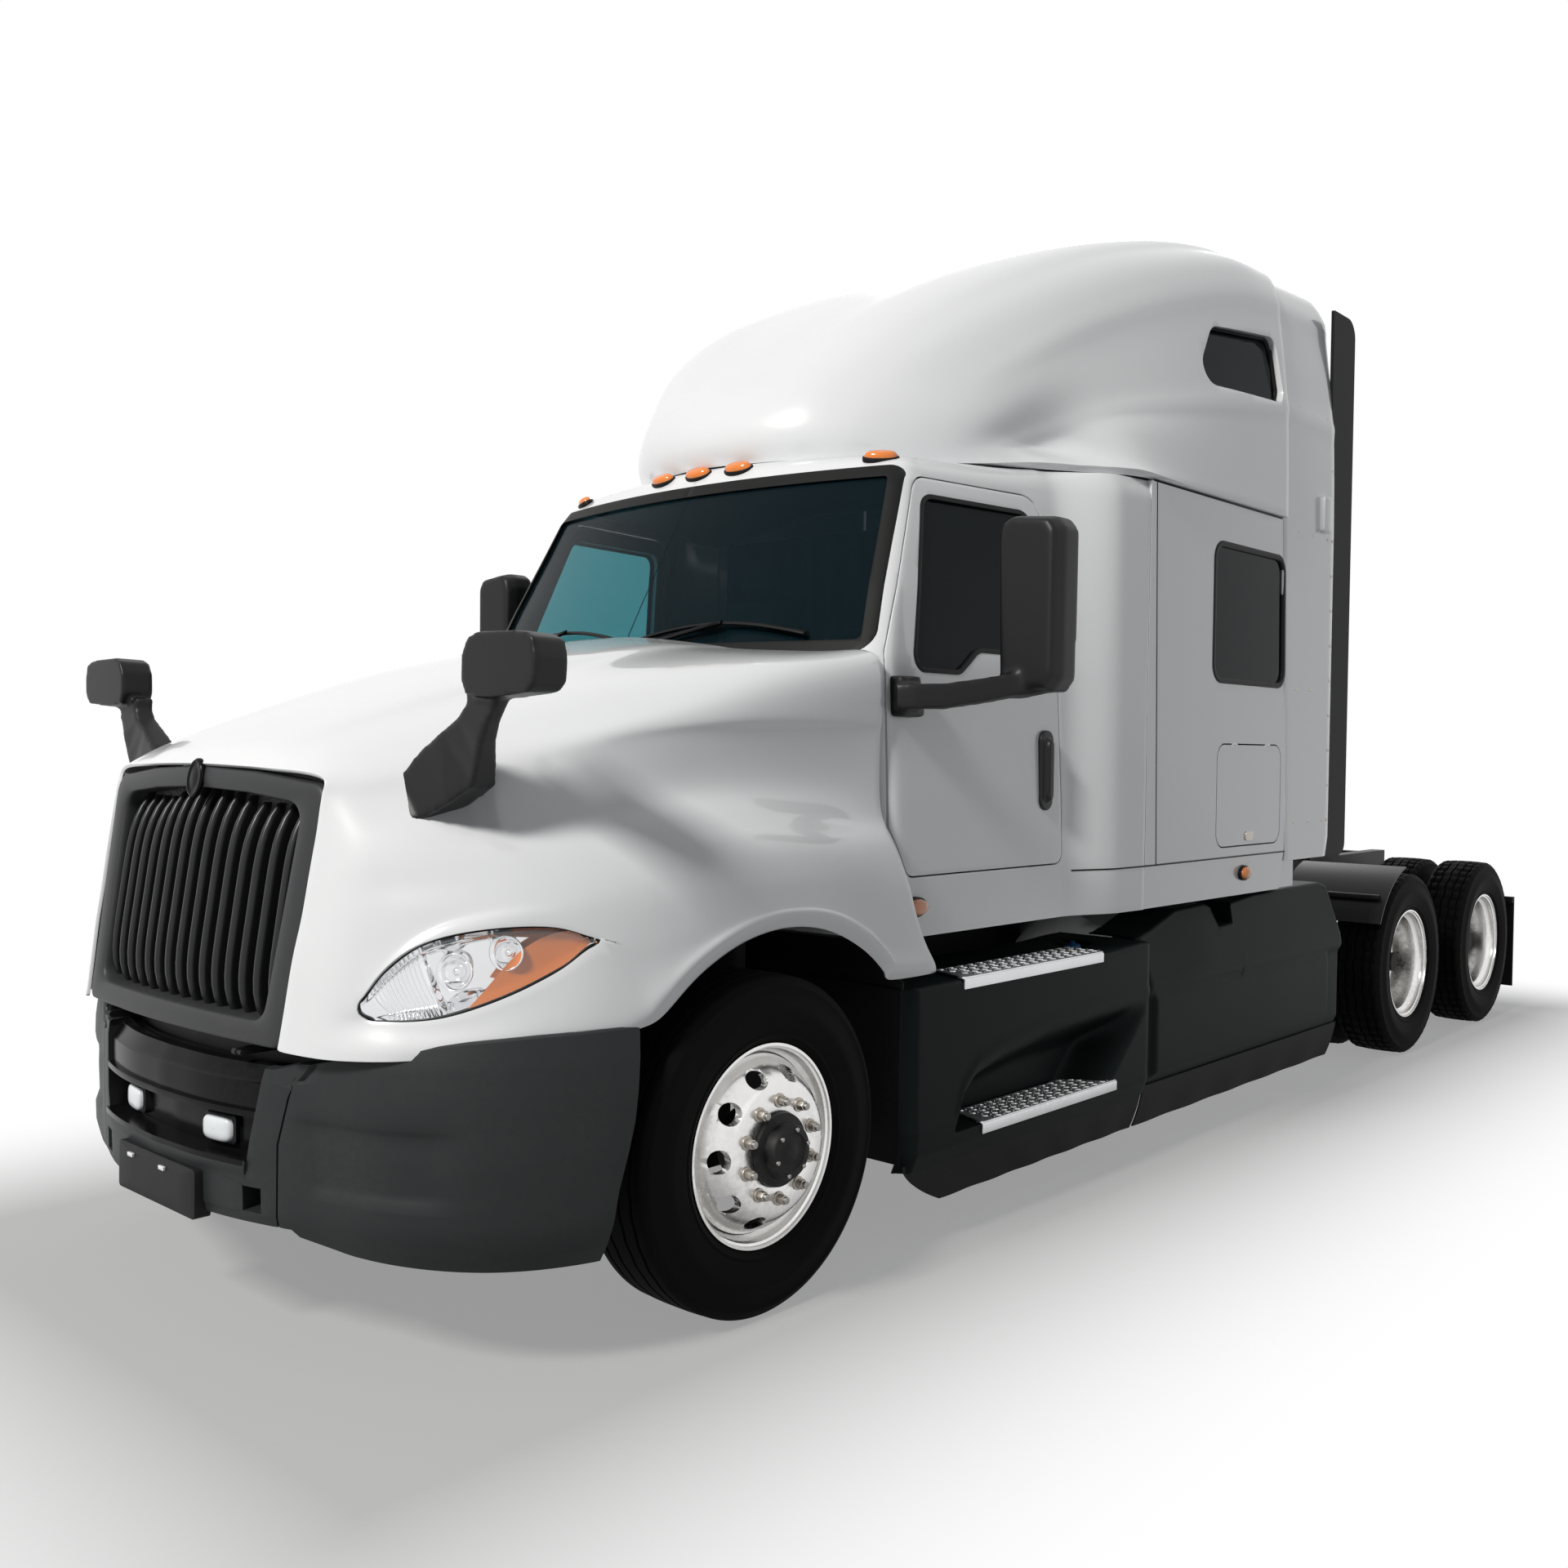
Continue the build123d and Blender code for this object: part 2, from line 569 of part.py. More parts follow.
# ---------------------------------------------------------------- chassis
CROSS_MEMBERS = [  # ahead, z low, z high
    (900, 780, 1000),
    (700, 760, 860),
    (-1450, 790, 990),
    (-2900, 790, 990),
    (-4350, 790, 990),
    (-5933, 790, 1000),
    (-6980, 760, 1000),
]
MOUNTS = [(-760, 70), (-2050, 70), (-2300, 70), (-3400, 70)]  # ahead of the cab and sleeper mounts, half length
spring_half_width = 45
spring_y = 385
kingpin_y = 885
kingpin_radius = 22
tie_arm = 200  # kingpin to tie rod, lengthways
tie_z = 420
beam_eye_half = 55
spindle_radius = 40
drive_ahead = (-(wheelbase - tandem_spread / 2), -(wheelbase + tandem_spread / 2))
drive_spindle_radius = 52


def make_frame():
    """Two C-section rails with cross members, cab mounts and the hood's hinge straps."""
    outer, web, low = rail_half, rail_half - rail_wall, rail_top - rail_height
    inner = rail_half - rail_flange
    section = [(outer, low), (outer, rail_top), (inner, rail_top), (inner, rail_top - rail_wall)]
    section += [(web, rail_top - rail_wall), (web, low + rail_wall), (inner, low + rail_wall), (inner, low)]
    rail = sharp_x(section, rail_rear, rail_front)
    frame = rail + mirrored(rail)
    for ahead, z0, z1 in CROSS_MEMBERS:
        member = block(ahead - 40, ahead + 40, -web, web, z0, z1)
        frame += member - block(ahead - 31, ahead + 50, -web, web, z0 + rail_wall, z1 - rail_wall)
    for ahead, half in MOUNTS:
        pad = block(ahead - half, ahead + half, 350, 425, rail_top, floor_z - 40 - seat_gap)
        frame += pad + mirrored(pad)
    strap = block(rail_front - 60, hinge_ahead, hinge_y - 33, hinge_y - 14, hinge_z - 11, hinge_z + 9)
    strap += rod_y(hinge_ahead, hinge_z, 10, hinge_y - 33, hinge_y - 14)
    strap += rod_y(hinge_ahead, hinge_z, hinge_pin_radius, hinge_y - 33, hinge_y + 9)
    strap += block(rail_front - 12, rail_front, inner, outer, low, rail_top)
    return frame + strap + mirrored(strap)


def make_engine():
    """Engine and gearbox as one plain block."""
    feet = block(60, 180, -rail_half + rail_wall + seat_gap, rail_half - rail_wall - seat_gap, 800, 860)
    return block(-515, 590, -320, 320, 600, 1500) + block(-1400, -515, -230, 230, 640, 1000) + feet


def make_radiator():
    """Radiator and charge cooler pack, standing on a cross member."""
    return block(660, 740, -330, 330, 860 + seat_gap, 1500) + block(660, 760, -460, 460, 1040, 1480)


def make_front_axle():
    """Dropped I-section axle beam with kingpin eyes."""
    half = kingpin_y
    spine = [(-half, 470), (-half + 170, 440), (-540, 370), (540, 370), (half - 170, 440), (half, 470)]
    top = [(half, 540), (half - 160, 530), (560, 460), (-560, 460), (-half + 160, 530), (-half, 540)]
    beam = sharp_x(spine + top, -45, 45)
    for y in (-half, half):
        beam += rod_z(0, y, beam_eye_half, 462, 542)
    for y in (-spring_y, spring_y):
        beam += block(-80, 80, y - 60, y + 60, 455, 480)
    for y in (-half, half):
        beam -= rod_z(0, y, kingpin_radius + running_gap, 400, 600)
    return beam


def make_front_springs():
    """Front leaf springs with their hangers."""
    w = spring_half_width
    leaf = [(-760, 690), (-400, 580), (-90, 495), (90, 495), (400, 560), (700, 655)]
    leaf += [(700, 637), (400, 540), (100, 480.3), (-100, 480.3), (-400, 560), (-760, 672)]
    spring = sharp_y(leaf, spring_y - w, spring_y + w)
    front = block(660, 720, spring_y - w, spring_y + w, 600, rail_top - rail_height - seat_gap)
    rear = block(-790, -730, spring_y - w, spring_y + w, 640, rail_top - rail_height - seat_gap)
    return pair(spring + front + rear)


def make_knuckle():
    """Left steering knuckle: yoke, kingpin, spindle and tie rod arm."""
    k = kingpin_y
    yoke = rod_z(0, k, 42, 400, 456) + rod_z(0, k, 42, 548, 600)
    yoke += block(-60, 60, k + 62, k + 92, 400, 600)
    yoke += block(-42, 42, k, k + 70, 400, 456) + block(-42, 42, k, k + 70, 548, 600)
    yoke += rod_z(0, k, kingpin_radius, 410, 590)
    yoke += rod_y(0, axle_height, spindle_radius, k + 80, 1190)
    arm = block(-tie_arm, -20, k - 18, k + 18, tie_z + 10, tie_z + 34)
    arm += rod_z(-tie_arm, k, 22, tie_z + 10, tie_z + 34)
    pin = rod_z(-tie_arm, k, 9, tie_z - 22, tie_z + 30)
    return yoke + arm + pin


def make_tie_rod():
    """Tie rod between the knuckle arms, with an eye at each end."""
    rod = rod_y(-tie_arm, tie_z - 7, 14, -kingpin_y + 15, kingpin_y - 15)
    for y in (-kingpin_y, kingpin_y):
        rod += rod_z(-tie_arm, y, 24, tie_z - 22, tie_z + 8)
        rod -= rod_z(-tie_arm, y, 9 + running_gap, tie_z - 60, tie_z + 60)
    return rod


def make_drive_axles():
    """Drive axle housings with their differential bowls and wheel spindles."""
    shapes = []
    for ahead in drive_ahead:
        bowl = Pos(X(ahead), 0, axle_height) * Sphere(225)
        housing = bowl & block(ahead - 190, ahead + 225, -225, 225, 280, 720)
        housing += rod_y(ahead, axle_height, 75, -560, 560)
        housing += rod_y(ahead, axle_height, drive_spindle_radius, -1120, 1120)
        shapes.append(housing)
    return group(*shapes)


def make_rear_suspension():
    """Trailing arms, air springs and hangers of the tandem."""
    shapes = []
    for ahead in drive_ahead:
        above = [(ahead + 520, 640), (ahead + 520, 720), (ahead + 80, 640)]
        below = [(ahead - 420, 470), (ahead - 420, 400), (ahead, 576)]
        arm = sharp_y(above + below, 350, 430)
        arm -= rod_y(ahead, axle_height, 75 + seat_gap, 300, 500)
        hanger = block(ahead + 470, ahead + 570, 350, 430, 560, rail_top - rail_height - seat_gap)
        spring = rod_z(ahead - 310, 390, 110, 470, rail_top - rail_height - seat_gap)
        shapes.append(arm + hanger + spring)
    return pair(group(*shapes))


# ---------------------------------------------------------------- wheels
# radius, half width
TYRE_PROFILE = [(290, 105), (300, 107), (330, 130), (400, 138), (468, 131), (495, 114), (500, 96)]
RIM_HALF, RIM_RADIUS, RIM_WALL = 116, 298.5, 9
disc_offset = 168  # rim centre plane to the disc's mounting face


def turned_y(points, ahead):
    """Solid of revolution about a wheel's axis from (radius, y) points."""
    path = [(X(ahead), y, axle_height + r) for r, y in points]
    face = Face(Wire(Polyline(path, close=True).edges()))
    return revolve(face, Axis((X(ahead), 0, axle_height), (0, 1, 0)), 360)


def make_tyre(ahead, centre):
    """One tyre about a given centre plane."""
    half = [(r, centre + w) for r, w in TYRE_PROFILE]
    other = [(r, centre - w) for r, w in reversed(TYRE_PROFILE)]
    return turned_y(half + other, ahead)


def make_rim(ahead, centre, side):
    """Rim and dished disc; side is +1 when the disc bulges outward."""
    r, h, w = 290 - seat_gap, RIM_HALF, RIM_WALL
    near = [(RIM_RADIUS, h), (RIM_RADIUS, h - 7), (r, h - 8), (r, h - 32), (262, h - 52)]
    barrel = near + [(p, -q) for p, q in reversed(near)]
    inner = [(r - w, -h), (r - w, -h + 32), (262 - w, -h + 48)]
    inner += [(p, -q) for p, q in reversed(inner)]
    rim = turned_y([(p, centre + side * q) for p, q in barrel + inner], ahead)
    disc = [(262, 78), (225, 120), (190, disc_offset), (70, disc_offset)]
    disc += [(70, disc_offset - 12), (184, disc_offset - 12), (212, 112), (250, 60), (262, 60)]
    return rim + turned_y([(p, centre + side * q) for p, q in disc], ahead)


def make_steer_wheel():
    """Left steer wheel with its hub."""
    rim = make_rim(0, steer_track_half, 1)
    face = steer_track_half + disc_offset
    hub = rod_y(0, axle_height, 112, face - 150, face - 12) + rod_y(0, axle_height, 69, face - 20, face + 38)
    hub -= rod_y(0, axle_height, spindle_radius + running_gap, 900, 1190 + 4)
    return rim + hub


def make_drive_wheels(ahead):
    """Left pair of drive rims on one hub."""
    inner_centre = drive_outer_half - dual_spacing
    middle = drive_outer_half - dual_spacing / 2
    rims = make_rim(ahead, drive_outer_half, -1) + make_rim(ahead, inner_centre, 1)
    hub = rod_y(ahead, axle_height, 165, 700, middle) + rod_y(ahead, axle_height, 110, middle, 1130)
    hub += rod_y(ahead, axle_height, 168, middle - 20, middle + 20)
    hub -= rod_y(ahead, axle_height, drive_spindle_radius + running_gap, 500, 1120 + 4)
    return rims + hub


# ---------------------------------------------------------------- sides: tanks, skirts, steps
skirt_top, skirt_bottom = 930, 270
skirt_half = 1205
skirt_wall = 12
STEPS = [  # front, rear, z top, y inner, y outer
    (-1000, -2060, 860, 987.3, 1180),
    (-1080, -2079.7, 372, 987.3, 1190),
]


def make_fuel_tanks():
    """Round tanks hung beside the rails, with their brackets."""
    tank = rod_x(-4050, -2350, 770, 640, 320)
    for ahead in (-2530, -3830):
        tank += block(ahead - 30, ahead + 30, rail_half + seat_gap, 700, 640, 960)
    return pair(tank)


def make_skirts_front():
    """Front side skirts with the scalloped step recess."""
    outline = [(-680, skirt_bottom + 30), (-2120, skirt_bottom), (-2120, skirt_top)]
    outline += [(-820, skirt_top - 10), (-720, 800)]
    panel = outline_y(outline, [40, 10, 10, 60, 60], skirt_half - skirt_wall, skirt_half)
    scallop = [(-1020, 372), (-2085, 372), (-2060, 900), (-1090, 900)]
    recess = outline_y(scallop, [120, 120, 60, 160], 1100, 1300)
    back = outline_y([(-940, 330), (-2119, 330), (-2119, 910), (-960, 910)], 40, 975, 975 + skirt_wall)
    for ahead in (-980, -2080):
        back += block(ahead - 30, ahead + 30, rail_half + seat_gap, 976, 800, 880)
    tie = block(-2119, -2080, 976, skirt_half - 2, 330, 372) + block(-990, -950, 976, skirt_half - 2, 330, 372)
    return pair((panel - recess) + back + tie)


def make_skirts_rear():
    """Rear side skirts over the tanks, with the flexible lip."""
    outline = [(-2126, skirt_bottom), (-4290, skirt_bottom), (-4290, 985), (-2126, 985)]
    panel = outline_y(outline, [10, 60, 60, 10], skirt_half - skirt_wall, skirt_half)
    for ahead in (-2610, -3750):
        panel += block(ahead - 30, ahead + 30, 1085, skirt_half - 2, 700, 760)
    return pair(panel)


def make_skirt_lips():
    """Flexible lips under the skirts."""
    lip = block(-720, -4280, skirt_half - 10, skirt_half - 2, 125, skirt_bottom - seat_gap)
    return pair(lip)


def make_steps():
    """Step treads in the skirt recess."""
    shapes = []
    for front, rear, top, y0, y1 in STEPS:
        tread = block(front, rear, y0, y1, top - 26, top)
        holes = block(front - 100, rear + 100, y0 + 50, y1 - 40, top - 60, top - 8)
        shapes.append(tread - holes)
    return pair(group(*shapes))


# ---------------------------------------------------------------- rear of the chassis
coupling_ahead, coupling_z = -5860, 1175
jaw_radius = 27  # takes the usual 50.8 mm kingpin


def make_fifth_wheel_base():
    """Bracket that carries the coupling plate's cross pin."""
    base = block(coupling_ahead - 230, coupling_ahead + 230, -480, 480, rail_top + seat_gap, rail_top + 20)
    for y in (-300, 300):
        foot = [(coupling_ahead - 150, rail_top + 20), (coupling_ahead + 150, rail_top + 20)]
        head = [(coupling_ahead + 45, coupling_z), (coupling_ahead - 45, coupling_z)]
        ear = sharp_y(foot + head, y - 25, y + 25)
        base += ear + rod_y(coupling_ahead, coupling_z, 45, y - 25, y + 25)
    for y in (-300, 300):
        base -= rod_y(coupling_ahead, coupling_z, 20 + running_gap, y - 60, y + 60)
    return base


def make_fifth_wheel_plate():
    """Coupling plate with its rearward throat and cross pin."""
    z0, z1 = 1228, 1268
    plate = Pos(X(coupling_ahead), 0, (z0 + z1) / 2) * Cylinder(480, z1 - z0)
    plate &= block(coupling_ahead - 460, coupling_ahead + 360, -480, 480, z0, z1)
    throat = [(-500, 190), (-130, jaw_radius), (-60, jaw_radius)]
    throat += [(a, -y) for a, y in reversed(throat)]
    face = Face(Wire(Polyline([(X(coupling_ahead + a), y, z0 - 10) for a, y in throat], close=True).edges()))
    plate -= extrude(face, amount=80, dir=(0, 0, 1))
    plate -= rod_z(coupling_ahead - 60, 0, jaw_radius, z0 - 10, z1 + 10)
    for y in (-220, 220):
        plate += block(coupling_ahead - 50, coupling_ahead + 50, y - 25, y + 25, coupling_z - 25, z0)
        plate += rod_y(coupling_ahead, coupling_z, 20, y, y + (110 if y > 0 else -110))
    return plate


def make_rear_fenders():
    """Quarter fenders ahead of the drive tyres, with their brackets."""
    ahead = drive_ahead[0]
    ring = rod_y(ahead, axle_height, 560, 640, 1215) - rod_y(ahead, axle_height, 552, 600, 1300)
    ring &= block(ahead + 120, ahead + 560, 600, 1300, 760, 1200)
    post = rod_y(ahead + 415, 893, 16, 430 + seat_gap, 1180)
    return pair(ring + post)


def make_mudflaps():
    """Rear mudflaps on their hangers."""
    rear = -(wheelbase + tandem_spread / 2 + tail_overhang)
    flap = block(rear, rear + 10, 620, 1200, 154, 700)
    arm = block(rear, rear + 40, 380, 1200, 700, 740)
    arm += block(rear + 30, -6960, 430 + seat_gap, 462, 770, 900) + block(rear, rear + 40, 432, 462, 700, 900)
    return pair(flap + arm)


def make_tail_lamps():
    """Round tail lamps on the rear cross member."""
    return group(*[rod_x(-7066, -7020 - seat_gap, y, 880, 55) for y in (-250, -115, 115, 250)])


# ---------------------------------------------------------------- interior
seat_y, seat_ahead = 560, -1650


def make_dashboard():
    """Dashboard across the cab with the steering column and wheel."""
    top = [(-700, 1830), (-760, 1900), (-1000, 1880), (-1040, 1640), (-820, 1450)]
    dash = sharp_y([(-700, floor_z + seat_gap), *top, (-820, floor_z + seat_gap)], -985, 985)
    column = sweep_rod([(-980, 560, 1640), (-1190, 560, 1800)], 32)
    lean = Rot(0, -37.3, 0)
    rim = Pos(X(-1200), 560, 1806) * lean * Torus(225, 16)
    spokes = Pos(X(-1200), 560, 1806) * lean * (Box(36, 440, 14) + Cylinder(70, 40))
    return dash + column + rim + spokes


def make_seats():
    """Driver and passenger seats on their pedestals."""
    base = block(seat_ahead - 190, seat_ahead + 190, seat_y - 180, seat_y + 180, floor_z + seat_gap, 1560)
    cushion = block(seat_ahead - 260, seat_ahead + 250, seat_y - 245, seat_y + 245, 1560, 1690)
    side = [(-260, 1640), (-120, 1660), (-250, 2330), (-380, 2310)]
    back = outline_y([(seat_ahead + a, z) for a, z in side], 40, seat_y - 235, seat_y + 235)
    return pair(base + cushion + back)


def make_bunk():
    """Lower bunk with its base locker."""
    base = block(-2720, -3660, -1115, 1115, floor_z + seat_gap, 1700)
    base -= block(-2740, -3640, -1095, 1095, floor_z - 5, 1680)
    base -= block(-2700, -2760, -1000, 1000, floor_z + 40, 1640)
    base -= block(-2790, -3450, -1200, 1200, 1248, 1680)
    return base + block(-2700, -3660, -1115, 1115, 1700, 1860)


# ---------------------------------------------------------------- doors' fittings and lamps
def sweep_rod(points, radius, bend=0):
    """Round bar through (ahead, y, z) points, bent to a radius at each corner."""
    places = [(X(a), y, z) for a, y, z in points]
    path = FilletPolyline(*places, radius=bend) if bend else Line(*places)
    start = Plane(origin=path @ 0, z_dir=path % 0)
    return sweep(start * Circle(radius), path=path)


def make_door_fittings():
    """Left door mirror with its arm, and the door handle."""
    head = outline_x([(1335, 1850), (1555, 1850), (1565, 2440), (1325, 2440)], 50, -1075, -985)
    arm = sweep_rod([(-720, 1108, 1842), (-860, 1230, 1838), (-1030, 1400, 1880)], 20, 80)
    foot = block(-770, -690, 1060, 1125, 1790, 1880)
    handle = block(-1590, -1545, 1100, 1150, 1447, 1725)
    return group((head + arm + foot) - cab_body(-seat_gap), handle - cab_body(-seat_gap))


def make_marker_lamps():
    """Roof marker lamps and the side lamps on the sleeper sills."""
    roof = [block(-905, -862, y - 42, y + 42, 2700, 2728) for y in (-165, 0, 165)]
    outer = [block(-965, -905, y - 40, y + 40, 2672, 2700) for y in (-850, 850)]
    side = [block(-3110, -3050, y - 5, y + 5, 1110, 1150) for y in (-1218.5, 1218.5)]
    return group(*[lamp - cab_body(-seat_gap) for lamp in roof + outer], *side)


# ---------------------------------------------------------------- all parts
def make_all():
    """Every node's shape by name."""
    parts = {
        "frame": make_frame(),
        "engine_block": make_engine(),
        "radiator": make_radiator(),
        "front_axle_beam": make_front_axle(),
        "front_springs": make_front_springs(),
        "drive_axles": make_drive_axles(),
        "rear_suspension": make_rear_suspension(),
        "fuel_tanks": make_fuel_tanks(),
        "skirts_front": make_skirts_front(),
        "skirts_rear": make_skirts_rear(),
        "skirt_lips": make_skirt_lips(),
        "step_treads": make_steps(),
        "bumper": make_bumper(),
        "fog_lamps": make_fog_lamps(),
        "cab_shell": make_cab(),
        "windshield": make_windshield(),
        "sleeper_shell": make_sleeper(),
        "roof_fairing": make_roof_fairing(),
        "sleeper_glass": make_sleeper_glass(),
        "side_extenders": make_extenders(),
        "extender_rubbers": make_extender_rubbers(),
        "marker_lamps": make_marker_lamps(),
        "dashboard": make_dashboard(),
        "seats": make_seats(),
        "bunk": make_bunk(),
        "rear_fenders": make_rear_fenders(),
        "mudflaps": make_mudflaps(),
        "tail_lamps": make_tail_lamps(),
        "fifth_wheel_base": make_fifth_wheel_base(),
        "fifth_wheel_plate": make_fifth_wheel_plate(),
        "hood_shell": make_hood(),
        "grille": make_grille(),
        "headlamps": make_headlamps(),
        "hood_mirrors": make_hood_mirrors(),
        "tie_rod": make_tie_rod(),
    }
    sided = {
        "door": make_door(),
        "door_glass": make_door_glass(),
        "door_fittings": make_door_fittings(),
        "luggage_door": make_luggage_door(),
        "knuckle": make_knuckle(),
        "steer_tyre": make_tyre(0, steer_track_half),
        "steer_wheel": make_steer_wheel(),
    }
    inner_centre = drive_outer_half - dual_spacing
    for place, ahead in zip(("front", "rear"), drive_ahead):
        tyres = [make_tyre(ahead, centre) for centre in (drive_outer_half, inner_centre)]
        sided[f"drive_tyres_{place}"] = group(*tyres)
        sided[f"drive_wheels_{place}"] = make_drive_wheels(ahead)
    for name, shape in sided.items():
        parts[f"{name}_left"] = shape
        parts[f"{name}_right"] = mirrored(shape)
    return parts


os.makedirs("parts", exist_ok=True)
for name, shape in make_all().items():
    export_step(shape, f"parts/{name}.step")
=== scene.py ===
# %% [markdown]
# # A sleeper tractor unit, dressed for the camera
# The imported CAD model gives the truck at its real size: its chassis, cab, wheels and joints.
# This lesson keeps that frame untouched and builds the looks around it: smooth body panels,
# wheels and tyres with all their detail, lamps, trim, the cab's padded seats, and a finish for
# every surface. All lengths are in metres. +X points forward, +Y to the driver's side, +Z up.

# %% Load the fixed frame
import math
import bmesh
import bpy
from mathutils import Matrix, Vector


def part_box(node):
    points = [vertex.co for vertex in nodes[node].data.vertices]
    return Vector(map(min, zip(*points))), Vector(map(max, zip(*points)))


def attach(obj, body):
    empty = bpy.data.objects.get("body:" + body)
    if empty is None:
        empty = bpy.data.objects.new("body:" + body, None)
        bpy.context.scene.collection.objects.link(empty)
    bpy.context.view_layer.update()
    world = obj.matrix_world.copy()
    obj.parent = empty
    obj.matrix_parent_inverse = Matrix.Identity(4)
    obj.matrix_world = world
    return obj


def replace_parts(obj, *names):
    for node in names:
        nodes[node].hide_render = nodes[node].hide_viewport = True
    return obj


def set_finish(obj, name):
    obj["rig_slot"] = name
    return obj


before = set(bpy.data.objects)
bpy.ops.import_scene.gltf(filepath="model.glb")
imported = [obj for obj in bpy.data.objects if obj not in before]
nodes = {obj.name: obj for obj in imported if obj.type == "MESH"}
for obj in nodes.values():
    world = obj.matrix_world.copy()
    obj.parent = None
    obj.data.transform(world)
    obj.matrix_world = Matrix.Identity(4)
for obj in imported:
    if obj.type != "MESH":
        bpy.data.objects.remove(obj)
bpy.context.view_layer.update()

# %% Places read from the frame
hub_low, hub_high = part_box("steer_wheel_left")
axle_x = (hub_low.x + hub_high.x) / 2  # the front axle; lengthways places are given ahead of it
axle_z = (hub_low.z + hub_high.z) / 2
tandem_x = [sum(c.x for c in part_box(f"drive_wheels_{place}_left")) / 2 for place in ("front", "rear")]
print("front axle at", round(axle_x, 3), "drive axles at", [round(x, 3) for x in tandem_x])


def at(ahead, y, z):
    """A point given by its distance ahead of the front axle."""
    return Vector((axle_x + ahead, y, z))


def link(thing):
    """Put a new object in the scene."""
    bpy.context.scene.collection.objects.link(thing)
    return thing


# %% [markdown]
# ## The camera
# A camera in Blender is a position, a direction and a lens. The truck is seen from ahead of its
# left corner, a little above the hood's side, with a wide lens quite close by, which makes the
# nose large and the tail small. The angles are turned into a rotation matrix whose columns are
# the camera's right, up and backward directions.

# %% Camera
camera_place = at(3.1131, 4.0340, 1.6578)
yaw, pitch, roll = math.radians(-138.02), math.radians(-1.407), math.radians(0.7066)
frame_pixels, focal_pixels, sensor_mm = 1920, 1788.7, 36.0

forward = Vector((math.cos(pitch) * math.cos(yaw), math.cos(pitch) * math.sin(yaw), math.sin(pitch)))
level_right = Vector((math.sin(yaw), -math.cos(yaw), 0))
level_up = level_right.cross(forward)
right = level_right * math.cos(roll) + level_up * math.sin(roll)
up = -level_right * math.sin(roll) + level_up * math.cos(roll)

camera = link(bpy.data.objects.new("camera", bpy.data.cameras.new("camera")))
camera.matrix_world = Matrix.Translation(camera_place) @ Matrix((right, up, -forward)).transposed().to_4x4()
camera.data.sensor_width = sensor_mm
camera.data.sensor_fit = "HORIZONTAL"
camera.data.lens = focal_pixels / frame_pixels * sensor_mm
bpy.context.scene.camera = camera
print("lens", round(camera.data.lens, 2), "mm")

# %% [markdown]
# ## Building with shader nodes
# A finish is a small network of nodes. These helpers add a node and feed its inputs in one call,
# whether an input takes a plain value or the output of another node.

# %% Node helpers
def feed(tree, socket, value):
    """Fill an input with a plain value or link another node's output to it."""
    if hasattr(value, "links"):
        tree.links.new(value, socket)
    else:
        socket.default_value = value


def fill(tree, node, values):
    """Feed a node's inputs by their labels."""
    for label, value in values.items():
        feed(tree, node.inputs[label], value)
    return node


def add(tree, kind, *values, **named):
    """A node; plain values go to its inputs in order, named ones to the input or setting of that name."""
    node = tree.nodes.new(kind)
    for key, value in named.items():
        label = key.replace("_", " ").title()
        if label in node.inputs:
            feed(tree, node.inputs[label], value)
        else:
            setattr(node, key, value)
    for socket, value in zip(node.inputs, values):
        feed(tree, socket, value)
    return node


def math_node(tree, operation, a, b):
    """The result of an operation on two values; each may be a socket or a number."""
    return add(tree, "ShaderNodeMath", a, b, operation=operation).outputs[0]


def smooth_range(tree, value, low, high):
    """Map a value so that low becomes 0 and high becomes 1, smoothly."""
    return add(tree, "ShaderNodeMapRange", interpolation_type="SMOOTHSTEP", value=value,
               from_min=low, from_max=high).outputs["Result"]


def new_material(name):
    """An empty node material and its Principled shader."""
    material = bpy.data.materials.new(name)
    material.use_nodes = True
    return material, material.node_tree, material.node_tree.nodes["Principled BSDF"]


print("node helpers ready")

# %% [markdown]
# ## Floor, sky and studio light
# The floor is grey near the truck and white further out, which paints a soft shade round the
# truck besides the lamps' real shadows. A Light Path node gives the camera, mirrors and glass a
# clean white background while the light on the truck stays soft and level, so white paint keeps
# its shape instead of burning out. One large lamp ahead of the truck stands for the sun: it lights
# the nose fully and only grazes the long side, which then reads as pale grey.

# %% Floor and world
floor_reach = 60
truck_half_length, truck_half_width = 4.4, 1.3
fade_start, fade_end = -0.8, 1.35  # distances from the truck's outline, inside and outside, over which the painted shade round the truck fades to white


def bright_where_seen(tree, lit, factor=None):
    """Show plain white to the camera, mirrors and glass, while the scene is still lit by the other shader."""
    output = next(n for n in tree.nodes if n.type in ("OUTPUT_MATERIAL", "OUTPUT_WORLD"))
    path = tree.nodes.new("ShaderNodeLightPath")
    seen = path.outputs["Is Camera Ray"]
    for label in ("Is Glossy Ray", "Is Transmission Ray"):
        seen = math_node(tree, "MAXIMUM", seen, path.outputs[label])
    if factor:
        seen = math_node(tree, "MULTIPLY", seen, factor)
    kind = "ShaderNodeEmission" if output.type == "OUTPUT_MATERIAL" else "ShaderNodeBackground"
    white = tree.nodes.new(kind)
    fill(tree, white, {"Color": (1, 1, 1, 1), "Strength": 1.0})
    blend = add(tree, "ShaderNodeMixShader", seen, lit, white.outputs[0])
    tree.links.new(blend.outputs[0], output.inputs[0])


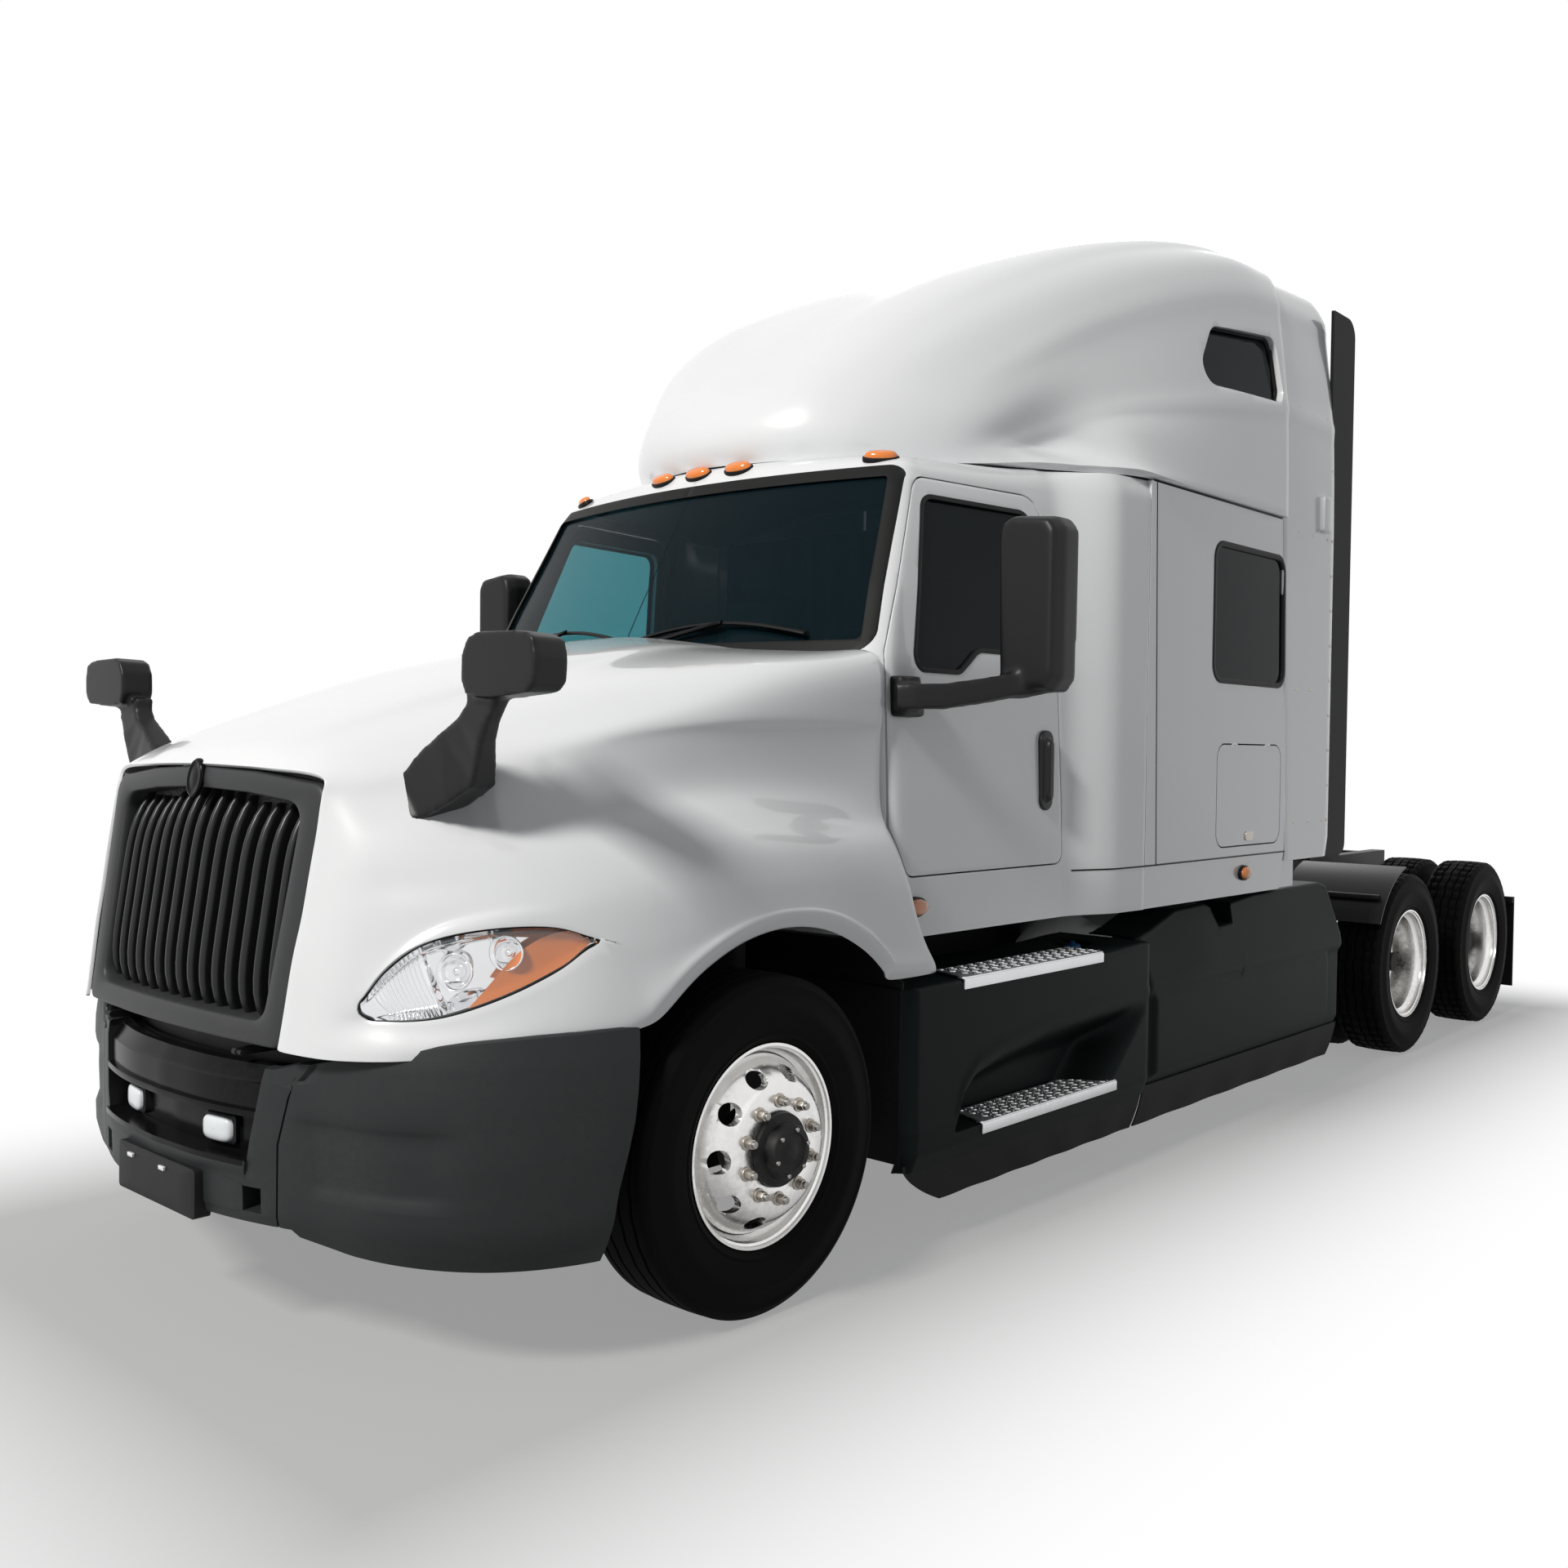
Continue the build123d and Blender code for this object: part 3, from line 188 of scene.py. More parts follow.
floor_mesh = bpy.data.meshes.new("floor")
corners = [(x * floor_reach, y * floor_reach, 0) for x, y in ((-1, -1), (1, -1), (1, 1), (-1, 1))]
floor_mesh.from_pydata(corners, [], [(0, 1, 2, 3)])
floor = link(bpy.data.objects.new("floor", floor_mesh))
floor.location.z = -0.0005
floor_material, tree, shader = new_material("studio_floor")
fill(tree, shader, {"Base Color": (0.32, 0.32, 0.32, 1), "Roughness": 0.9, "Specular IOR Level": 0.1})
place = tree.nodes.new("ShaderNodeTexCoord").outputs["Object"]
for operation, *values in (("ABSOLUTE",), ("SUBTRACT", (truck_half_length, truck_half_width, 0)),
                           ("MAXIMUM", (0, 0, 0))):
    place = add(tree, "ShaderNodeVectorMath", place, *values, operation=operation).outputs[0]
distance = add(tree, "ShaderNodeVectorMath", place, operation="LENGTH").outputs["Value"]
# the camera sees the lit grey floor near the truck and plain white further out: painted shade round the truck
bright_where_seen(tree, shader.outputs[0], smooth_range(tree, distance, fade_start, fade_end))
floor_mesh.materials.append(floor_material)

world = bpy.data.worlds.new("studio")
bpy.context.scene.world = world
world.use_nodes = True
background = world.node_tree.nodes["Background"]
fill(world.node_tree, background, {"Color": (0.90, 0.95, 1.0, 1), "Strength": 0.15})
bright_where_seen(world.node_tree, background.outputs[0])
bpy.context.scene.view_settings.view_transform = "Standard"
print("floor and world ready")


# %% Lamps
def soft_lamp(name, place, target, size, power, colour=(1, 1, 1)):
    """A large square area lamp turned towards a target."""
    lamp = link(bpy.data.objects.new(name, bpy.data.lights.new(name, "AREA")))
    lamp.data.shape, lamp.data.size, lamp.data.energy, lamp.data.color = "SQUARE", size, power, colour
    lamp.location = place
    lamp.rotation_euler = (target - place).to_track_quat("-Z", "Y").to_euler()


soft_lamp("key_lamp", at(14.0, 1.6, 12.6), at(-1.5, 0, 1.5), 3.0, 3050, (1.0, 0.985, 0.95))
soft_lamp("side_lamp", at(-2.0, 15.0, 6.0), at(-2.5, 0, 1.8), 9.0, 40, (0.90, 0.95, 1.0))
soft_lamp("rear_lamp", at(-16.0, -8.0, 9.0), at(-3.0, 0, 1.8), 7.0, 500)
print("three lamps")

# %% [markdown]
# ## Shared finishes
# Several finishes need the same small effects: a film of road dust that is thicker near the
# ground, the pebbled grain of moulded plastic, and the faint waviness of sprayed paint. Each is
# a node group with named sockets, built once and placed in every material that needs it.

# %% Road dust
ROAD_DUST = (0.32, 0.29, 0.25)


def new_group(name, inputs, outputs):
    """A shader node group with its interface; returns the tree and its two ends."""
    group = bpy.data.node_groups.new(name, "ShaderNodeTree")
    for label, value in inputs.items():
        kind = "NodeSocketColor" if hasattr(value, "__len__") else "NodeSocketFloat"
        group.interface.new_socket(label, in_out="INPUT", socket_type=kind).default_value = value
    for label, kind in outputs.items():
        group.interface.new_socket(label, in_out="OUTPUT", socket_type=kind)
    return group, group.nodes.new("NodeGroupInput").outputs, group.nodes.new("NodeGroupOutput")


road_dust, given, result = new_group(
    "road_dust", {"Clean Color": (0.8, 0.8, 0.8, 1), "Dust Color": (*ROAD_DUST, 1), "Amount": 0.3,
                  "Clean Roughness": 0.3},
    {"Color": "NodeSocketColor", "Roughness": "NodeSocketFloat"})
where = road_dust.nodes.new("ShaderNodeTexCoord").outputs["Object"]
height = add(road_dust, "ShaderNodeSeparateXYZ", where).outputs["Z"]
blotches = add(road_dust, "ShaderNodeTexNoise", vector=where, scale=3.1, detail=6.0, roughness=0.62)
speckle = add(road_dust, "ShaderNodeTexNoise", vector=where, scale=46.0, detail=3.0, roughness=0.7)
film = given["Amount"]
for value, low, high in ((blotches.outputs[0], 0.36, 0.72), (speckle.outputs[0], 0.25, 0.75),
                         (height, 1.5, 0.15)):
    film = math_node(road_dust, "MULTIPLY", film, smooth_range(road_dust, value, low, high))
colour = add(road_dust, "ShaderNodeMix", film, data_type="RGBA")
for socket, label in ((6, "Clean Color"), (7, "Dust Color")):  # the colour pair among the mix node's inputs
    road_dust.links.new(given[label], colour.inputs[socket])
roughness = add(road_dust, "ShaderNodeMapRange", value=film, to_min=given["Clean Roughness"], to_max=0.85)
fill(road_dust, result, {"Color": colour.outputs[2], "Roughness": roughness.outputs[0]})
print("road_dust", len(road_dust.nodes), "nodes")

# %% Moulded grain and paint waviness
moulded_grain, given, result = new_group(
    "moulded_grain", {"Cell Scale": 420.0, "Depth": 0.5}, {"Height": "NodeSocketFloat"})
where = moulded_grain.nodes.new("ShaderNodeTexCoord").outputs["Object"]
cells = add(moulded_grain, "ShaderNodeTexVoronoi", feature="SMOOTH_F1", vector=where,
            scale=given["Cell Scale"])
depth = math_node(moulded_grain, "MULTIPLY", cells.outputs["Distance"], given["Depth"])
fill(moulded_grain, result, {"Height": depth})

paint_waves, given, result = new_group("paint_waves", {"Wave Scale": 190.0}, {"Height": "NodeSocketFloat"})
where = paint_waves.nodes.new("ShaderNodeTexCoord").outputs["Object"]
noise = add(paint_waves, "ShaderNodeTexNoise", vector=where, scale=given["Wave Scale"], detail=1.0)
fill(paint_waves, result, {"Height": noise.outputs[0]})
print("grain groups ready")


# %% Putting a finish together
def grained(cell_scale):
    """Moulded grain of a size, for a finish."""
    return moulded_grain, {"Cell Scale": cell_scale, "Depth": 1.0}


def finish(name, colour, rough, grain=None, bump=0.1, dust=0.0, dust_colour=ROAD_DUST, metal=0.0,
           coat=0.0, specular=0.5, alpha=1.0, distance=0.001):
    """A Principled material: colour and roughness go through road_dust, and bump comes from a grain group."""
    material, tree, shader = new_material(name)
    film = add(tree, "ShaderNodeGroup", node_tree=road_dust)
    fill(tree, film, {"Clean Color": (*colour, 1), "Dust Color": (*dust_colour, 1), "Amount": dust,
                      "Clean Roughness": rough})
    fill(tree, shader, {"Base Color": film.outputs["Color"], "Roughness": film.outputs["Roughness"],
                        "Metallic": metal, "Coat Weight": coat, "Coat Roughness": 0.06,
                        "Specular IOR Level": specular, "Alpha": alpha})
    if grain:
        group, settings = grain
        source = fill(tree, add(tree, "ShaderNodeGroup", node_tree=group), settings)
        bumps = add(tree, "ShaderNodeBump", strength=bump, distance=distance, height=source.outputs["Height"])
        tree.links.new(bumps.outputs[0], shader.inputs["Normal"])
    return material


waves = (paint_waves, {"Wave Scale": 150.0})
fine_grain, coarse_grain = grained(520.0), grained(260.0)

cab_paint = finish("cab_paint_white", (0.79, 0.80, 0.815), 0.26, waves, 0.03, 0.10,
                   (0.5, 0.48, 0.45), coat=0.8)
bumper_plastic = finish("moulded_plastic_grey", (0.020, 0.023, 0.024), 0.48, fine_grain, 0.16, 0.14,
                        (0.10, 0.095, 0.09), specular=0.22)
skirt_plastic = finish("skirt_plastic_grey", (0.0055, 0.0085, 0.0085), 0.46, fine_grain, 0.13, 0.10,
                       (0.03, 0.03, 0.028), specular=0.06)
surround_plastic = finish("surround_plastic_grey", (0.030, 0.031, 0.033), 0.45, fine_grain, 0.12, 0.08,
                          specular=0.25)
mirror_plastic = finish("mirror_plastic_black", (0.0055, 0.0055, 0.006), 0.40, coarse_grain, 0.14, 0.06,
                        (0.06, 0.06, 0.055), specular=0.25)
gloss_black = finish("gloss_black", (0.004, 0.004, 0.0045), 0.20, waves, 0.03, 0.03, specular=0.08)
bar_plastic = finish("grille_bar_black", (0.012, 0.0125, 0.013), 0.33, fine_grain, 0.06, 0.06, specular=0.3)
soft_rubber = finish("soft_rubber", (0.006, 0.006, 0.0065), 0.62, coarse_grain, 0.1, 0.22,
                     (0.06, 0.055, 0.05), specular=0.15)
seal_rubber = finish("seal_rubber", (0.004, 0.004, 0.004), 0.5, fine_grain, 0.05, specular=0.15)
chassis_black = finish("chassis_paint_black", (0.008, 0.008, 0.0085), 0.5, waves, 0.2, 0.3,
                       (0.08, 0.075, 0.07), specular=0.2)
cast_iron = finish("cast_iron", (0.022, 0.021, 0.020), 0.7, coarse_grain, 0.5, 0.5, (0.12, 0.11, 0.10),
                   specular=0.2)
print("body finishes", cab_paint.name, bumper_plastic.name)

# %% [markdown]
# Bright metal on a working truck is not a mirror: polished wheels carry fine turning marks and
# dried spray, tread plates are dull with bright worn tops, and steel fasteners are a warm grey.
# The metals use the same helper with metal set to 1, and the dust group lowers their shine.

# %% Metals, rubber, lenses and glass
polished_alloy = finish("polished_alloy", (0.78, 0.775, 0.765), 0.2, waves, 0.12, 0.38,
                        (0.28, 0.25, 0.22), metal=1.0)
tread_plate_metal = finish("tread_plate_metal", (0.66, 0.67, 0.68), 0.34, waves, 0.3, 0.3, metal=1.0)
nut_steel = finish("nut_steel", (0.42, 0.39, 0.35), 0.38, waves, 0.2, 0.6, metal=1.0)
reflector_chrome = finish("reflector_chrome", (0.9, 0.9, 0.91), 0.07, waves, 0.02, metal=1.0)
worn_steel = finish("worn_steel", (0.30, 0.29, 0.28), 0.42, coarse_grain, 0.2, 0.5, metal=1.0)
tyre_rubber = finish("tyre_rubber", (0.0035, 0.0038, 0.0036), 0.68, fine_grain, 0.1, 0.08,
                     (0.03, 0.028, 0.026), specular=0.05)
frosted_lens = finish("frosted_lens", (0.80, 0.83, 0.86), 0.25, waves, 0.3, 0.1)
dash_plastic = finish("dash_plastic", (0.014, 0.015, 0.016), 0.6, coarse_grain, 0.2, specular=0.15)
amber_lens = finish("amber_lens", (0.86, 0.22, 0.012), 0.18, waves, 0.1, 0.2, coat=0.6)
red_lens = finish("red_lens", (0.45, 0.012, 0.012), 0.18, waves, 0.1, 0.3, coat=0.6)


def glass_finish(name, colour, alpha, specular=0.5):
    """Thin sheet glass: a gloss film that lets part of the light straight through."""
    return finish(name, colour, 0.03, dust=0.1, specular=specular, alpha=alpha)


windshield_glass = glass_finish("windshield_glass", (0.004, 0.013, 0.018), 0.56, 0.07)
side_glass = glass_finish("side_glass", (0.003, 0.009, 0.012), 0.86, 0.08)
bunk_glass = glass_finish("sleeper_window_glass", (0.004, 0.010, 0.013), 0.975, 0.06)
# The far door's pane is the same glass as the near one; its bright teal tint is painted light.
far_glass_painted_light = glass_finish("passenger_glass", (0.10, 0.85, 1.0), 0.82, 0.10)
far_tree = far_glass_painted_light.node_tree  # a bright teal tint, painted light seen through the far door's window: its colour shows in the light that it lets in
fill(far_tree, far_tree.nodes["Principled BSDF"], {"Transmission Weight": 1.0, "IOR": 1.01})
lamp_glass = glass_finish("lamp_glass", (0.72, 0.76, 0.80), 0.16)
print("metals, lenses and glass ready")

# %% [markdown]
# ## Modelling tools
# Body panels are modelled like sheet over a net: a coarse grid of points, each given one by one,
# is smoothed by subdivision into one flowing skin, then given the panel's thickness. Moulded
# plastic parts with recesses are easier as relief: a fine grid whose depth is a formula.

# %% Shares, tables and outlines
def shares(count, low=0.0, high=1.0):
    """Evenly spread values, with both ends."""
    return [low + (high - low) * i / (count - 1) for i in range(count)]


def full_turn(count):
    """Evenly spread angles of one turn."""
    return [2 * math.pi * k / count for k in range(count)]


def step_up(value, low, high):
    """Smooth step from 0 at low to 1 at high."""
    t = min(1.0, max(0.0, (value - low) / (high - low)))
    return t * t * (3 - 2 * t)


def along(table, value):
    """Straight-line reading of a table of (place, value) rows."""
    if value <= table[0][0]:
        return table[0][1]
    for (a, u), (b, v) in zip(table, table[1:]):
        if value <= b:
            return u + (v - u) * (value - a) / (b - a)
    return table[-1][1]


def round_outline(points, radii, steps=6):
    """A closed outline with its corners rounded by arcs."""
    rounded = []
    n = len(points)
    for i, (point, radius) in enumerate(zip(points, radii if hasattr(radii, "__len__") else [radii] * n)):
        here, before, after = Vector(point), Vector(points[i - 1]), Vector(points[(i + 1) % n])
        a, b = (before - here).normalized(), (after - here).normalized()
        half = a.angle(b) / 2
        reach = min(radius / math.tan(half), (before - here).length * 0.48, (after - here).length * 0.48)
        centre = here + (a + b).normalized() * reach / math.cos(half)
        start, end = here + a * reach - centre, here + b * reach - centre
        turn = start.angle_signed(end)
        for k in range(steps + 1):
            c, s = math.cos(-turn * k / steps), math.sin(-turn * k / steps)
            rounded.append((centre.x + start.x * c - start.y * s, centre.y + start.x * s + start.y * c))
    return rounded


def grown(outline, amount):
    """An outline of points moved outward by an amount."""
    points = [Vector(p) for p in outline]
    area = sum(a.x * b.y - b.x * a.y for a, b in zip(points, points[1:] + points[:1]))
    side = 1 if area > 0 else -1
    moved = []
    for k, point in enumerate(points):
        tangent = (points[(k + 1) % len(points)] - points[k - 1]).normalized()
        moved.append(point + Vector((tangent.y, -tangent.x)) * side * amount)
    return moved


def box_outline(low, high):
    """The four corners of a rectangle."""
    return [(low[0], low[1]), (high[0], low[1]), (high[0], high[1]), (low[0], high[1])]


# %% From points to objects
def loose(name, points, faces):
    """A mesh object that is not yet in the scene."""
    mesh = bpy.data.meshes.new(name)
    mesh.from_pydata([tuple(p) for p in points], [], faces)
    return bpy.data.objects.new(name, mesh)


def mount(thing, body, slot):
    """Make a piece ride on a body and name the kind of surface it has."""
    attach(thing, body)
    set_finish(thing, slot)
    return thing


def piece(name, points, faces, material, body, slot, smooth=True):
    """A mesh object that rides on a body and takes a material."""
    thing = link(loose(name, points, faces))
    thing.data.validate()
    thing.data.materials.append(material)
    if smooth:
        thing.data.shade_smooth()
    return mount(thing, body, slot)


def net(rows, wrap=False):
    """Points and quads of a grid given as rows of points; wrap joins each row's ends."""
    width = len(rows[0])
    points = [p for row in rows for p in row]
    faces = []
    for i in range(len(rows) - 1):
        for j in range(width if wrap else width - 1):
            k = (j + 1) % width
            faces.append((i * width + j, i * width + k, (i + 1) * width + k, (i + 1) * width + j))
    return points, faces


def sheet(name, rows, material, body, slot, wrap=False):
    """A piece made of one net."""
    return piece(name, *net(rows, wrap), material, body, slot)


def plate(name, outline, material, body, slot):
    """A piece that is one flat face."""
    return piece(name, outline, [tuple(range(len(outline)))], material, body, slot, False)


def round_loops(middle, wide_way, high_way, out_way, rings, count):
    """Loops of points about an axis; rings gives each loop's share of the width and its rise."""
    return [[middle + wide_way * (r * math.cos(t)) + high_way * (r * math.sin(t)) + out_way * rise
             for t in full_turn(count)] for r, rise in rings]


def both_halves(rows):
    """Rows that start on the truck's middle line, with their mirror image before them."""
    return [[mirrored(p) for p in reversed(row[1:])] + row for row in rows]


def mirrored(p):
    """A point on the other side of the truck."""
    return Vector((p.x, -p.y, p.z))


# %% Changing a mesh
def rework(mesh, merge=False, split=False):
    """Turn all faces outward; merge joins doubled points and split cuts large faces into triangles."""
    work = bmesh.new()
    work.from_mesh(mesh)
    if merge:
        bmesh.ops.remove_doubles(work, verts=work.verts, dist=1e-5)
    if split:
        bmesh.ops.triangulate(work, faces=[f for f in work.faces if len(f.verts) > 4])
    bmesh.ops.recalc_face_normals(work, faces=work.faces)
    work.to_mesh(mesh)
    work.free()


def settle(thing):
    """Apply all of an object's modifiers, so that its mesh is what shows."""
    graph = bpy.context.evaluated_depsgraph_get()
    mesh = bpy.data.meshes.new_from_object(thing.evaluated_get(graph))
    thing.modifiers.clear()
    old, thing.data = thing.data, mesh
    bpy.data.meshes.remove(old)


def modify(thing, kind, **settings):
    """Change a mesh for good by a modifier with its settings."""
    modifier = thing.modifiers.new(kind.lower(), kind)
    for key, value in settings.items():
        setattr(modifier, key, value)
    settle(thing)


def thicken(thing, thickness, offset=-1.0):
    """Give a net its panel's thickness."""
    modify(thing, "SOLIDIFY", thickness=thickness, offset=offset)


def soften(thing, width, degrees=40):
    """Round the edges where faces meet at more than an angle."""
    modify(thing, "BEVEL", width=width, segments=2, limit_method="ANGLE", angle_limit=math.radians(degrees))


def smooth_by_angle(thing, degrees):
    """Smooth shading with sharp edges where faces meet at more than an angle."""
    thing.data.shade_smooth()
    work = bmesh.new()
    work.from_mesh(thing.data)
    for edge in work.edges:
        if len(edge.link_faces) == 2 and edge.calc_face_angle(0) > math.radians(degrees):
            edge.smooth = False
    work.to_mesh(thing.data)
    work.free()
    return thing


# %% Prisms and cutters
def prism(lower, upper, split=True):
    """A closed prism between two outlines of as many points; split cuts its ends into triangles."""
    n = len(lower)
    sides = [(i, i + n, (i + 1) % n + n, (i + 1) % n) for i in range(n)]
    thing = loose("prism", list(lower) + list(upper),
                  [tuple(range(n)), tuple(range(2 * n - 1, n - 1, -1))] + sides)
    rework(thing.data, split=split)
    return thing


def extrude(outline, low, high, axis="y", split=True):
    """A prism along an axis; its outline is given by the other two of ahead, across and up."""
    def place(a, b, depth):
        return {"x": at(depth, a, b), "y": at(a, depth, b), "z": at(a, b, depth)}[axis]
    return prism(*([place(a, b, depth) for a, b in outline] for depth in (low, high)), split)


def cut(thing, cutter, operation="DIFFERENCE"):
    """Cut a solid out of a piece, or keep what is inside it, and throw the cutter away."""
    modify(thing, "BOOLEAN", operation=operation, solver="EXACT", object=link(cutter))
    bpy.data.objects.remove(cutter)


def finish_piece(thing, name, material, body, slot, bevel=0.0, degrees=35):
    """Name a loose prism or a cut sheet, soften its edges and make it a piece of a body."""
    if not thing.users_collection:
        link(thing)
    thing.data.materials.clear()
    thing.data.materials.append(material)
    if bevel:
        soften(thing, bevel)
    thing.name = name
    return smooth_by_angle(mount(thing, body, slot), degrees)


def twin(thing, body="chassis", *stands_for, name=None):
    """A mirrored copy for the other side of the truck, which may stand for CAD pieces."""
    copy = link(bpy.data.objects.new(name or thing.name.replace("_left", "_right"), thing.data.copy()))
    for vertex in copy.data.vertices:
        vertex.co.y = -vertex.co.y
    copy.data.flip_normals()
    mount(copy, body, thing["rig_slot"])
    if stands_for:
        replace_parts(copy, *stands_for)
    return copy


print("modelling tools ready")

# %% [markdown]
# ## A finish for the CAD pieces
# Most of the chassis is shown as the CAD model has it. Every CAD piece gets a material here,
# also those that smoother pieces replace further down.

# %% Finishes by piece
SIDES = ("left", "right")
CAD_FINISHES = {
    cab_paint: ["cab_shell", "door_left", "door_right", "sleeper_shell", "roof_fairing", "side_extenders",
                "hood_shell",
                "luggage_door_left", "luggage_door_right"],
    bumper_plastic: ["bumper"],
    skirt_plastic: ["skirts_front", "skirts_rear"],
    surround_plastic: ["grille"],
    mirror_plastic: ["hood_mirrors", "door_fittings_left", "door_fittings_right", "rear_fenders",
                     "dashboard"],
    windshield_glass: ["windshield"],
    bunk_glass: ["sleeper_glass"],
    side_glass: ["door_glass_left", "door_glass_right"],
    lamp_glass: ["headlamps", "fog_lamps"],
    tyre_rubber: [f"{kind}_{side}" for side in SIDES
                  for kind in ("steer_tyre", "drive_tyres_front", "drive_tyres_rear")],
    polished_alloy: [f"{kind}_{side}" for side in SIDES
                     for kind in ("steer_wheel", "drive_wheels_front", "drive_wheels_rear")],
    tread_plate_metal: ["step_treads", "fuel_tanks", "radiator"],
    soft_rubber: ["skirt_lips", "extender_rubbers", "mudflaps", "seats", "bunk"],
    chassis_black: ["frame", "front_springs", "rear_suspension", "fifth_wheel_base"],
    cast_iron: ["engine_block", "front_axle_beam", "drive_axles", "knuckle_left", "knuckle_right", "tie_rod"],
    worn_steel: ["fifth_wheel_plate"],
    amber_lens: ["marker_lamps"],
    red_lens: ["tail_lamps"],
}
for material, names in CAD_FINISHES.items():
    for name in names:
        for holder in nodes[name].material_slots:
            holder.material = material
print("finished", sum(len(names) for names in CAD_FINISHES.values()), "of", len(nodes), "CAD pieces")

# %% [markdown]
# ## The hood
# The hood is one moulding: a crowned top with a raised middle, a shoulder that carries the hood
# mirrors, a hollow below it, and two full fenders that swell over the front wheels. No box or
# cylinder gives that, so it is drawn as a net. Each row of the net is a line that a body designer
# would draw from the grille back to the door, given by a few points. The lower rows carry the
# lamp opening and the wheel arch, so they give a point for every station of the net.

# %% The hood's design lines
HOOD_UPPER_LINES = {  # (ahead, half width, height) from the grille back to the windshield or door
    "crown": [(1.126, 0.0, 1.588), (1.085, 0.0, 1.63), (0.95, 0.0, 1.692), (0.6, 0.0, 1.812),
              (0.2, 0.0, 1.928), (-0.2, 0.0, 2.012), (-0.44, 0.0, 2.047)],
    "bulge_top": [(1.116, 0.26, 1.584), (1.075, 0.27, 1.626), (0.95, 0.29, 1.687), (0.6, 0.35, 1.803),
                  (0.2, 0.40, 1.914), (-0.2, 0.43, 1.988), (-0.47, 0.45, 2.003)],
    "bulge_foot": [(1.108, 0.38, 1.579), (1.065, 0.39, 1.612), (0.95, 0.41, 1.666), (0.6, 0.47, 1.772),
                   (0.2, 0.52, 1.882), (-0.2, 0.55, 1.963), (-0.5, 0.57, 1.985)],
    "top_outer": [(1.096, 0.52, 1.573), (1.05, 0.53, 1.600), (0.94, 0.56, 1.642), (0.6, 0.68, 1.737),
                  (0.2, 0.79, 1.842), (-0.2, 0.87, 1.932), (-0.55, 0.90, 1.968)],
    "shoulder": [(1.082, 0.592, 1.558), (1.03, 0.625, 1.568), (0.9, 0.70, 1.597), (0.6, 0.83, 1.675),
                 (0.2, 0.945, 1.77), (-0.2, 1.03, 1.876), (-0.612, 1.088, 1.957)],
    "crease": [(1.088, 0.598, 1.525), (1.035, 0.655, 1.512), (0.9, 0.745, 1.535), (0.735, 0.83, 1.595),
               (0.5, 0.915, 1.667), (0.3, 0.965, 1.711), (0.0, 1.03, 1.746), (-0.3, 1.07, 1.759),
               (-0.613, 1.094, 1.758)],
    "under_crease": [(1.095, 0.60, 1.48), (1.045, 0.675, 1.462), (0.9, 0.785, 1.478), (0.735, 0.858, 1.537),
                     (0.5, 0.932, 1.615), (0.3, 0.968, 1.665), (0.0, 1.018, 1.70), (-0.3, 1.058, 1.712),
                     (-0.614, 1.088, 1.712)],
    "hollow": [(1.104, 0.602, 1.42), (1.058, 0.69, 1.405), (0.92, 0.815, 1.415), (0.7, 0.93, 1.45),
               (0.4, 0.985, 1.505), (0.1, 1.01, 1.54), (-0.3, 1.05, 1.55), (-0.616, 1.086, 1.54)],
    "fender_rise": [(1.114, 0.60, 1.36), (1.07, 0.70, 1.345), (0.93, 0.84, 1.355), (0.7, 0.985, 1.385),
                    (0.4, 1.07, 1.425), (0.1, 1.09, 1.45), (-0.3, 1.095, 1.445), (-0.617, 1.10, 1.43)],
    "fender_top": [(1.124, 0.598, 1.30), (1.08, 0.705, 1.285), (0.93, 0.865, 1.29), (0.7, 1.025, 1.315),
                   (0.4, 1.13, 1.345), (0.1, 1.163, 1.375), (-0.3, 1.166, 1.372), (-0.63, 1.143, 1.348)],
    "fender_face": [(1.140, 0.594, 1.20), (1.10, 0.70, 1.19), (0.95, 0.88, 1.215), (0.7, 1.055, 1.245),
                    (0.4, 1.162, 1.262), (0.1, 1.196, 1.287), (-0.3, 1.196, 1.283), (-0.62, 1.182, 1.235),
                    (-0.662, 1.175, 1.225)],
}
